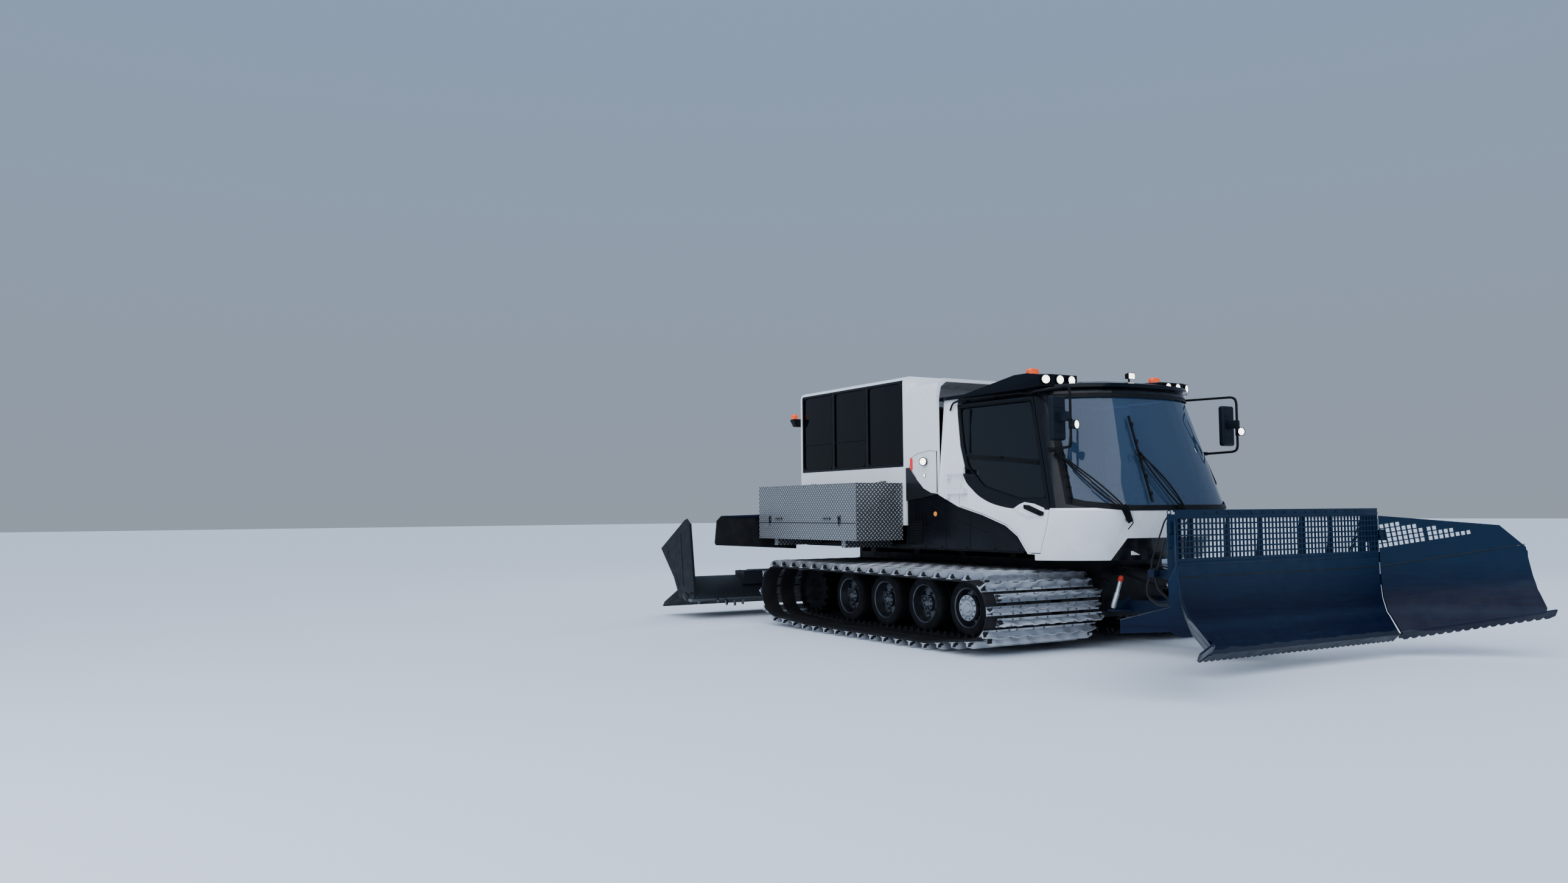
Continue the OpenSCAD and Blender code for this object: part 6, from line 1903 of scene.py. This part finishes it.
# passenger cabin: window gaskets, rear door, lamps, rails
paneSet = {"x": ((-2.945, -2.2267), (-2.1817, -1.4633), (-1.4183, -0.7)), "z": (1.995, 2.985), "outer": 1.2205,
        "corner": 0.05, "round": 0.0065}
rearSet = {"wall": -3.005, "doorY": (-0.38, 0.38), "lightY": (-0.26, 0.26), "lightZ": (2.0, 2.8), "skin": -3.0255,
        "lampY": 1.07, "lampZ": (1.5, 1.62, 1.74), "railY": -0.52}


def loopTube(name, corners, radius, bend):
    return drawTube(name, corners, radius, bend, 3, closedLoop=True)


def makeCabinGaskets():
    low, high = paneSet["z"]
    y = -paneSet["outer"]
    loops = []
    for x0, x1 in paneSet["x"]:
        edge = paneSet["round"]
        loops.append(loopTube("gasket", [(x0 + edge, y, low + edge), (x1 - edge, y, low + edge),
                (x1 - edge, y, high - edge), (x0 + edge, y, high - edge)], paneSet["round"], paneSet["corner"]))
    fitPair(joined("cabinGaskets", loops), "cabinGaskets", "chassis", "gloss_black", "rubber")
    # each rear pane slides: a thin rail across it
    rails = [drawTube("rail", [(x0 + 0.02, y, low + 0.34), (x1 - 0.02, y, low + 0.34)], 0.004, 0, 2)
            for x0, x1 in paneSet["x"][:2]]
    fitPair(joined("paneRails", rails), "paneRails", "chassis", "gloss_black", "rubber")


def makeRearDoor():
    x = rearSet["skin"]
    y0, y1 = rearSet["lightY"]
    low, high = rearSet["lightZ"]
    gasket = loopTube("rearDoorGasket", [(x - 0.001, y0, low), (x - 0.001, y1, low), (x - 0.001, y1, high),
            (x - 0.001, y0, high)], 0.008, 0.04)
    fit(gasket, "rear_door", "gloss_black", "rubber")
    plate = addPanel("plate", (x - 0.01, -0.33, 1.62), (x + 0.004, -0.275, 1.8), "rear", 0.006, 0.002, 0.003)
    grip = drawTube("grip", [(x - 0.008, -0.302, 1.745), (x - 0.045, -0.302, 1.745), (x - 0.045, -0.17, 1.735)],
            0.009, 0.018, 4)
    lock = addRound("lock", (x - 0.008, -0.302, 1.66), (x - 0.016, -0.302, 1.66), 0.012, 20)
    fit(joined("rearDoorHandle", [plate, grip, bevelAll(lock, 0.002)]), "rear_door", "gloss_black", "plastic")
    # pressed panel under the window
    panel = addBlock("rearDoorPanel", (x - 0.003, -0.25, 1.42), (x + 0.004, 0.25, 1.56))
    startEdit(panel)
    pickSide(panel, "rear")
    for band in range(3):
        bpy.ops.mesh.inset(thickness=0.016, depth=0.0025 if band % 2 else -0.0015)
    endEdit()
    bevelAll(panel, 0.002)
    fit(panel, "rear_door", "cabin_white", "cabin")
    rail = drawTube("rearRail", [(rearSet["wall"] + 0.004, rearSet["railY"], 1.5),
            (rearSet["wall"] - 0.055, rearSet["railY"], 1.5), (rearSet["wall"] - 0.055, rearSet["railY"], 2.2),
            (rearSet["wall"] + 0.004, rearSet["railY"], 2.2)], 0.013, 0.03, 4)
    flanges = []
    for z in (1.5, 2.2):
        flange = addRound("flange", (rearSet["wall"] + 0.002, rearSet["railY"], z),
                (rearSet["wall"] - 0.008, rearSet["railY"], z), 0.028, 24)
        flanges.append(bevelAll(flange, 0.003))
    fit(joined("rearRail", [rail] + flanges), "chassis", "gloss_black", "tool")


def makeTailLamps():
    x, y = rearSet["wall"], -rearSet["lampY"]
    low, high = rearSet["lampZ"][0] - 0.075, rearSet["lampZ"][-1] + 0.075
    back = addPanel("tailLampHousing", (x - 0.022, y - 0.06, low), (x + 0.004, y + 0.06, high), "rear", 0.01, -0.005,
            0.006)
    fitPair(back, "tailLampHousing", "chassis", "gloss_black", "plastic")
    for number, z in enumerate(rearSet["lampZ"]):
        lens = spinProfile("lens", [(x - 0.036, y, z), (x - 0.034, y, z + 0.02), (x - 0.029, y, z + 0.038),
                (x - 0.026, y, z + 0.045), (x - 0.015, y, z + 0.046)], (x, y, z), (1, 0, 0), 36)
        finish = ("redLens", "marker", "redLens")[number]
        fitPair(lens, "tailLamp" + str(number + 1), "chassis", "amber_plastic", finish)


def makeRoofPostLamp():
    # one square work lamp on a short post above the windscreen
    x, y, z = 1.482, 0.3, 2.905
    post = drawTube("post", [(x - 0.03, y, 2.8), (x - 0.03, y, z - 0.02)], 0.01, 0, 4)
    shell = addBlock("shell", (x - 0.055, y - 0.052, z - 0.038), (x + 0.018, y + 0.052, z + 0.038))
    startEdit(shell)
    pickSide(shell, "rear")
    stretch((1, 0.7, 0.7), (x, y, z))
    pickSide(shell, "front")
    inset(0.006)
    shift((-0.006, 0, 0))
    endEdit()
    bevelAll(shell, 0.004)
    fit(joined("roofPostLamp", [post, shell]), "chassis", "gloss_black", "plastic")
    lens = addPanel("roofPostLens", (x + 0.006, y - 0.044, z - 0.03), (x + 0.015, y + 0.044, z + 0.03), "front",
            0.008, 0.003, 0.002, upright=True)
    fit(lens, "chassis", "lamp_glass", "lens")


makeCabinGaskets()
makeRearDoor()
makeTailLamps()
makeRoofPostLamp()
print("passenger cabin fitted out")


# front: chin plate, strut, pipes, cylinder glands, blade bolts and brackets
bladeSet = {"front": 3.54, "boltZ": 1.404, "boltFrom": -1.078, "boltTo": 1.115, "boltStep": 0.157, "half": 1.462,
        "stripZ": (0.965, 1.392)}
strutSet = {"foot": (2.0, -0.62, 0.44), "top": (2.0, -0.505, 0.715), "radius": 0.026, "band": 0.055}
liftLine = ((1.775, 0.2, 0.8), (2.7, 0.2, 0.6))
rearLine = ((-2.78, 0.2, 0.93), (-3.21, 0.2, 0.74))


def makeBladeBolts():
    model = addRound("bolt", (bladeSet["front"] - 0.001, bladeSet["boltFrom"], bladeSet["boltZ"]),
            (bladeSet["front"] + 0.006, bladeSet["boltFrom"], bladeSet["boltZ"]), 0.0125, 6)
    slopeFace(model, "front", 0.004, -0.002)
    bevelAll(model, 0.0012, 1)
    count = round((bladeSet["boltTo"] - bladeSet["boltFrom"]) / bladeSet["boltStep"])
    step = (bladeSet["boltTo"] - bladeSet["boltFrom"]) / count
    bolts = [model] + [copyOf(model, "bolt", Matrix.Translation((0, step * k, 0))) for k in range(1, count + 1)]
    fit(joined("bladeTopBolts", bolts), "blade", "tiller_black", "cylinder")


def makeBladeStrips():
    # flat strips that clamp the grille above and below, and the cap along the blade's top
    x, half = bladeSet["front"], bladeSet["half"]
    strips = []
    for z, tall in ((bladeSet["stripZ"][0], 0.03), (bladeSet["stripZ"][1] - 0.014, 0.022)):
        strip = addBlock("strip", (x - 0.002, -half, z - tall / 2), (x + 0.005, half, z + tall / 2))
        startEdit(strip)
        for cut in range(1, 6):
            pickAll()
            bpy.ops.mesh.bisect(plane_co=(0, -half + 2 * half * cut / 6, 0), plane_no=(0, 1, 0))
        endEdit()
        strips.append(bevelAll(strip, 0.002))
    cap = addBlock("cap", (x - 0.032, -half, 1.412), (x + 0.003, half, 1.428))
    slopeFace(cap, "top", 0.004, 0.0015)
    strips.append(bevelAll(cap, 0.003))
    fit(joined("bladeStrips", strips), "blade", "blade_blue", "blade")


def makeBladeBox():
    # upright box behind each end of the blade, with a flange at its foot
    box = addBlock("box", (3.432, -1.455, 1.14), (3.526, -1.392, 1.392))
    slopeFace(box, "rear", 0.012, -0.004)
    flange = addBlock("flange", (3.415, -1.458, 1.092), (3.527, -1.386, 1.142))
    scaleFace(flange, "under", (1, 0.9, 1), (3.527, -1.42, 1.1))
    eyeRing = drawTube("eyeRing", [(3.43, -1.42 + 0.024 * cos(a), 1.405 + 0.02 * sin(a))
            for a in [radians(20 * k) for k in range(18)]], 0.004, 0, 3, closedLoop=True)
    whole = joined("bladeEndBox", [bevelAll(box, 0.004), bevelAll(flange, 0.004), eyeRing])
    fitPair(whole, "bladeEndBox", "blade", "blade_blue", "blade")


def makePipeNut(spot, aim, radius):
    half = Vector(aim).normalized() * 0.012
    nut = addRound("nut", Vector(spot) - half, Vector(spot) + half, radius, 6)
    return bevelAll(nut, 0.0015, 1)


def makeBladePipes():
    # hard pipes down the blade's back to the wing's cylinder port, held by a bracket
    joint = Vector((3.2, -1.37, 0.865))
    thin, thick = 0.0075, 0.012
    runs = [([(3.435, -1.425, 1.385), (3.39, -1.43, 1.34), (3.24, -1.44, 0.98), joint + Vector((0, -0.03, 0.03))],
            thin),
            ([(3.432, -1.4, 1.18), (3.36, -1.4, 1.16), (3.27, -1.39, 0.93), joint + Vector((0.02, 0, 0.03))], thin),
            ([joint + Vector((-0.02, -0.01, -0.02)), (3.15, -1.4, 0.78), (3.15, -1.4, 0.66), (3.22, -1.33, 0.585),
            (3.44, -1.23, 0.6), (3.465, -1.215, 0.655)], thick),
            ([joint + Vector((0.02, -0.01, -0.02)), (3.23, -1.36, 0.74), (3.3, -1.28, 0.62), (3.44, -1.19, 0.635),
            (3.465, -1.175, 0.66)], thick)]
    pipes = [drawTube("pipe", [Vector(p) for p in points], radius, 0.03, 3) for points, radius in runs]
    nuts = [makePipeNut(points[0], Vector(points[1]) - Vector(points[0]), radius * 1.7) for points, radius in runs]
    nuts += [makePipeNut(points[-1], Vector(points[-1]) - Vector(points[-2]), radius * 1.7) for points, radius in runs]
    whole = joined("bladePipes", pipes + nuts)
    fitPair(whole, "bladePipes", "blade", "cylinder_black", "cylinder")
    block = addBlock("block", joint - Vector((0.035, 0.045, 0.03)), joint + Vector((0.04, 0.03, 0.035)))
    stepFace(block, "top", 0.01, 0.008)
    bracket = drawPlate("bracket", [(3.47, -1.345, 0.93), (3.47, -1.345, 0.8), (3.2, -1.345, 0.835),
            (3.2, -1.345, 0.885)], (0, 0.01, 0))
    whole = joined("pipeBracket", [bevelAll(block, 0.004), bevelAll(bracket, 0.002)])
    fitPair(whole, "pipeBracket", "blade", "tool_navy", "tool")


def makeStrut():
    # pale strut with a red cap beside the lift arm, on a welded foot
    foot, top = Vector(strutSet["foot"]), Vector(strutSet["top"])
    aim = (top - foot).normalized()
    side = Vector((1, 0, 0))
    r = strutSet["radius"]
    profile = [(0.0, 0.0), (0.0, r * 0.8), (0.03, r), (0.16, r), (0.17, r * 0.82), ((top - foot).length, r * 0.82),
            ((top - foot).length, 0.0)]
    tube = lathe("armStrut", profile, foot, aim, side, 28)
    fit(tube, "lift_frame", "cylinder_black", "aluminium")
    capLine = ((-0.012, 0.0), (-0.012, r * 0.95), (0.0, r * 1.05), (0.035, r * 1.05), (0.05, r * 0.7), (0.055, 0.0))
    cap = lathe("armStrutCap", capLine, top, aim, side, 28)
    fit(cap, "lift_frame", "amber_plastic", "red")
    bracket = drawPlate("strutFoot", [(1.94, -0.37, 0.4), (2.06, -0.37, 0.4), (2.045, -0.65, 0.412),
            (1.955, -0.65, 0.412)], (0, 0, 0.018))
    rib = drawPlate("rib", [(1.993, -0.375, 0.418), (1.993, -0.6, 0.418), (1.993, -0.375, 0.56)], (0.014, 0, 0))
    fit(joined("strutFoot", [bevelAll(bracket, 0.004), bevelAll(rib, 0.003)]), "lift_frame", "tool_navy", "tool")


def makeGlands():
    # gland nut, port and hard pipe on each cylinder
    for name, line, share, barrelRadius, bodies, pipeStart in (("liftGland", liftLine, 0.6, 0.05, "lift_barrels",
            0.12), ("rearGland", rearLine, 0.56, 0.042, "rear_barrels", 0.24)):
        start, end = (Vector((p[0], -p[1], p[2])) for p in line)
        aim = (end - start).normalized()
        upward = (Vector((0, 0, 1)) - aim * aim.z).normalized()
        length = (end - start).length
        at = start + aim * length * share
        glandLine = ((-0.035, 0.98), (-0.03, 1.1), (-0.006, 1.1), (-0.002, 0.96), (0.006, 0.62), (0.006, 0.57))
        gland = lathe("gland", [(a, barrelRadius * b) for a, b in glandLine], at, aim, upward, 36)
        bandLine = ((0.0, 0.98), (0.002, 1.06), (0.016, 1.06), (0.018, 0.98))
        band = lathe("band", [(length * pipeStart + a, barrelRadius * b) for a, b in bandLine], start, aim, upward, 36)
        a0, a1 = start + aim * length * (pipeStart + 0.03), at - aim * 0.05
        pipe = drawTube("pipe", [a0 + upward * barrelRadius * 0.9, a0 + upward * (barrelRadius + 0.018),
                a1 + upward * (barrelRadius + 0.018), a1 + upward * barrelRadius * 0.9], 0.006, 0.01, 3)
        clip = addBlock("clip", (a0 + a1) / 2 + upward * (barrelRadius + 0.01) - Vector((0.012, 0.012, 0.012)),
                (a0 + a1) / 2 + upward * (barrelRadius + 0.01) + Vector((0.012, 0.012, 0.014)))
        whole = joined(name, [gland, band, pipe, bevelAll(clip, 0.003)])
        fitPair(whole, name, bodies, "cylinder_black", "cylinder")


def makeChinPlate():
    # small blank plate under the nose
    plate = addPanel("chinPlate", (2.147, -0.5, 0.978), (2.158, -0.385, 1.018), "front", 0.004, -0.0015, 0.002)
    fit(plate, "chassis", "gloss_black", "white")


def onWing(along, high, out):
    # a place on the left wing's face: length from its hinge line along the fold, height over the fold
    fold, rise = radians(40.4), radians(9.2)
    x, y, z = 0.045 + out, along * cos(rise) - high * sin(rise), 0.85 + along * sin(rise) + high * cos(rise)
    return Vector((bladeSet["front"] - 0.045 + x * cos(fold) + y * sin(fold), 1.486 - x * sin(fold) + y * cos(fold),
            z))


def makeFoldShadeLines():
    # a dark tube along the pressed line where the flat top of the blade meets its curve: painted shade in the crease
    x = bladeSet["front"] + 0.0005
    line = drawTube("bladeFoldShade", [(x, -1.44, 0.85), (x, 1.44, 0.85)], 0.0045, 0, 2)
    fit(line, "blade", "tiller_black", "cylinder")
    left = drawTube("wingFoldLeft", [onWing(0.04, 0, 0.0005), onWing(1.36, 0, 0.0005)], 0.0045, 0, 2)
    fit(mirrored(left, "wingFoldRight"), "wing_right", "tiller_black", "cylinder")
    fit(left, "wing_left", "tiller_black", "cylinder")


makeBladeBolts()
makeFoldShadeLines()
makeBladeStrips()
makeBladeBox()
makeBladePipes()
makeStrut()
makeGlands()
makeChinPlate()
print("blade and lift gear fitted out")


# rear: flap clamps, finisher ridges, side finishers, tiller lid bolts
sideFinisher = {"outline": [(-3.46, 0.38), (-3.96, 0.35), (-4.1, 0.56), (-4.51, 0.945), (-3.76, 1.34), (-3.69, 1.358),
        (-3.6, 1.3)], "y": (-2.626, -2.612), "toothPitch": 0.024, "toothDepth": 0.01, "slots": 8}
ridgeSet = {"step": 0.092, "half": 2.5, "thick": 0.014}


def makeSideFinisher():
    y0, y1 = sideFinisher["y"]
    plate = drawPlate("sideFinisher", [(x, y0, z) for x, z in sideFinisher["outline"]], (0, y1 - y0, 0))
    # slots beside the low rear corner, cut through
    a, b = Vector((-4.085, y0, 0.6)), Vector((-3.965, y0, 0.415))
    along = (b - a).normalized()
    inward = Vector((-along.z, 0, along.x))
    if inward.x < 0:
        inward = -inward
    cutters = []
    for k in range(sideFinisher["slots"]):
        centre = a.lerp(b, (k + 0.5) / sideFinisher["slots"]) + inward * 0.045
        corners = [centre + inward * s * 0.022 + along * t * 0.0045 for s, t in ((-1, -1), (1, -1), (1, 1), (-1, 1))]
        cutters.append(drawPlate("slot", [(c.x, y0 - 0.02, c.z) for c in corners], (0, 0.06, 0)))
    cutter = joined("slots", cutters)
    apply(plate, "BOOLEAN", operation="DIFFERENCE", object=cutter)
    bpy.data.objects.remove(cutter, do_unlink=True)
    bevelAll(plate, 0.0018, 1)
    # teeth along the rear edge below the tail
    pieces = [plate]
    line = [Vector((x, 0, z)) for x, z in ((-3.965, 0.357), (-4.1, 0.56), (-4.505, 0.94))]
    tooth = None
    for start, end in zip(line, line[1:]):
        count = int((end - start).length / sideFinisher["toothPitch"])
        way = (end - start) / count
        out = Vector((way.z, 0, -way.x)).normalized()
        if out.x > 0:
            out = -out
        for k in range(count):
            foot = start + way * k
            corners = [foot - out * 0.002, foot + out * sideFinisher["toothDepth"] + way * 0.35,
                    foot + out * sideFinisher["toothDepth"] + way * 0.6, foot + way - out * 0.002]
            if k == 0:
                tooth = drawPlate("tooth", [(c.x, y0 + 0.001, c.z) for c in corners], (0, y1 - y0 - 0.002, 0))
                pieces.append(tooth)
            else:
                pieces.append(copyOf(tooth, "tooth", Matrix.Translation(way * k)))
    # folded flange along the front edge, a pressed rib and the fixing bolt
    flange = drawPlate("flange", [(-3.462, y0 - 0.006, 0.385), (-3.492, y0 - 0.006, 0.385),
            (-3.632, y0 - 0.006, 1.295), (-3.602, y0 - 0.006, 1.295)], (0, y1 - y0 + 0.022, 0))
    rib = drawPlate("rib", [(-3.8, y0 - 0.005, 0.45), (-3.83, y0 - 0.005, 0.45), (-3.9, y0 - 0.005, 1.16),
            (-3.87, y0 - 0.005, 1.16)], (0, 0.008, 0))
    pieces += [bevelAll(flange, 0.004), bevelAll(rib, 0.004),
            makeRivet("bolt", (-4.27, y0, 0.9), (0, -1, 0), 0.012, 0.006)]
    # hinge knuckles, pins and straps, as the solid has them
    for x in (-3.72, -3.9):
        knuckle = addRound("knuckle", (x + 0.053, -2.59, 0.365), (x + 0.103, -2.59, 0.365), 0.016, 24)
        pin = addRound("pin", (x - 0.005, -2.59, 0.365), (x + 0.075, -2.59, 0.365), 0.0072, 16)
        strap = addBlock("strap", (x + 0.053, -2.6135, 0.361), (x + 0.103, -2.59, 0.38))
        leaf = addBlock("leaf", (x + 0.053, -2.6135, 0.365), (x + 0.103, -2.607, 0.425))
        pieces += [bevelAll(knuckle, 0.002, 1), bevelAll(pin, 0.001, 1), bevelAll(strap, 0.002, 1),
                bevelAll(leaf, 0.002, 1)]
    right = joined("sideFinisherRight", pieces)
    left = mirrored(right, "sideFinisherLeft")
    fit(right, "side_finisher_right", "finisher_plastic", "comb", "side_finisher_right")
    fit(left, "side_finisher_left", "finisher_plastic", "comb", "side_finisher_left")


def makeRidges():
    # fins along the finisher that comb the snow
    profile = [(-4.1, 0.375), (-4.115, 0.402), (-4.545, 0.212), (-4.596, 0.156), (-4.604, 0.134), (-4.59, 0.124),
            (-4.53, 0.165)]
    model = drawPlate("ridge", [(x, -ridgeSet["half"], z) for x, z in profile], (0, ridgeSet["thick"], 0))
    bevelAll(model, 0.002, 1)
    count = int(2 * ridgeSet["half"] / ridgeSet["step"])
    step = (2 * ridgeSet["half"] - ridgeSet["thick"]) / count
    row = [model] + [copyOf(model, "ridge", Matrix.Translation((0, step * k, 0))) for k in range(1, count + 1)]
    fit(joined("finisherRidges", row), "tiller", "finisher_plastic", "comb")
    # clamp bar with bolts where the finisher meets the tiller's housing
    bar = addBlock("bar", (-4.098, -2.54, 0.386), (-4.06, 2.54, 0.4))
    slopeFace(bar, "top", 0.006, 0.002)
    bolts = rivetLine("bolts", (-4.079, -2.45, 0.402), (-4.079, 2.45, 0.402), 0.245, (0, 0, 1), 0.01, 0.005)
    fit(joined("finisherClamp", [bevelAll(bar, 0.003), bolts]), "tiller", "tiller_black", "tiller")


def makeTillerDetails():
    bolts = [rivetLine("bolts", (x, -1.74, 0.635), (x, 1.74, 0.635), 0.29, (0, 0, 1), 0.01, 0.004)
            for x in (-3.825, -3.615)]
    lids = []
    for y in (-1.2, 0.0, 1.2):
        lid = addBlock("lid", (-3.8, y - 0.45, 0.634), (-3.64, y + 0.45, 0.642))
        slopeFace(lid, "top", 0.02, 0.004)
        lids.append(bevelAll(lid, 0.003))
    fit(joined("tillerLids", bolts + lids), "tiller", "tiller_black", "tiller")
    drive = spinProfile("rotorDrive", [(-3.85, -2.585, 0.335), (-3.85, -2.585, 0.375), (-3.85, -2.578, 0.41),
            (-3.85, -2.562, 0.425), (-3.85, -2.555, 0.425)], (-3.85, -2.56, 0.335), (0, 1, 0), 40)
    fitPair(drive, "rotorDrive", "tiller", "tiller_black", "cylinder")


def dressFlaps():
    bar = addBlock("bar", (-3.101, 1.27, 1.372), (-3.086, 2.36, 1.398))
    slopeFace(bar, "front", 0.005, 0.002)
    bolts = rivetLine("bolts", (-3.085, 1.32, 1.385), (-3.085, 2.3, 1.385), 0.14, (1, 0, 0), 0.008, 0.004)
    bothSides(joined("flapClamp", [bevelAll(bar, 0.002), bolts]), "flapClamp", "flap_rubber", "tool")


makeSideFinisher()
makeRidges()
makeTillerDetails()
dressFlaps()
print("tiller and flaps fitted out")
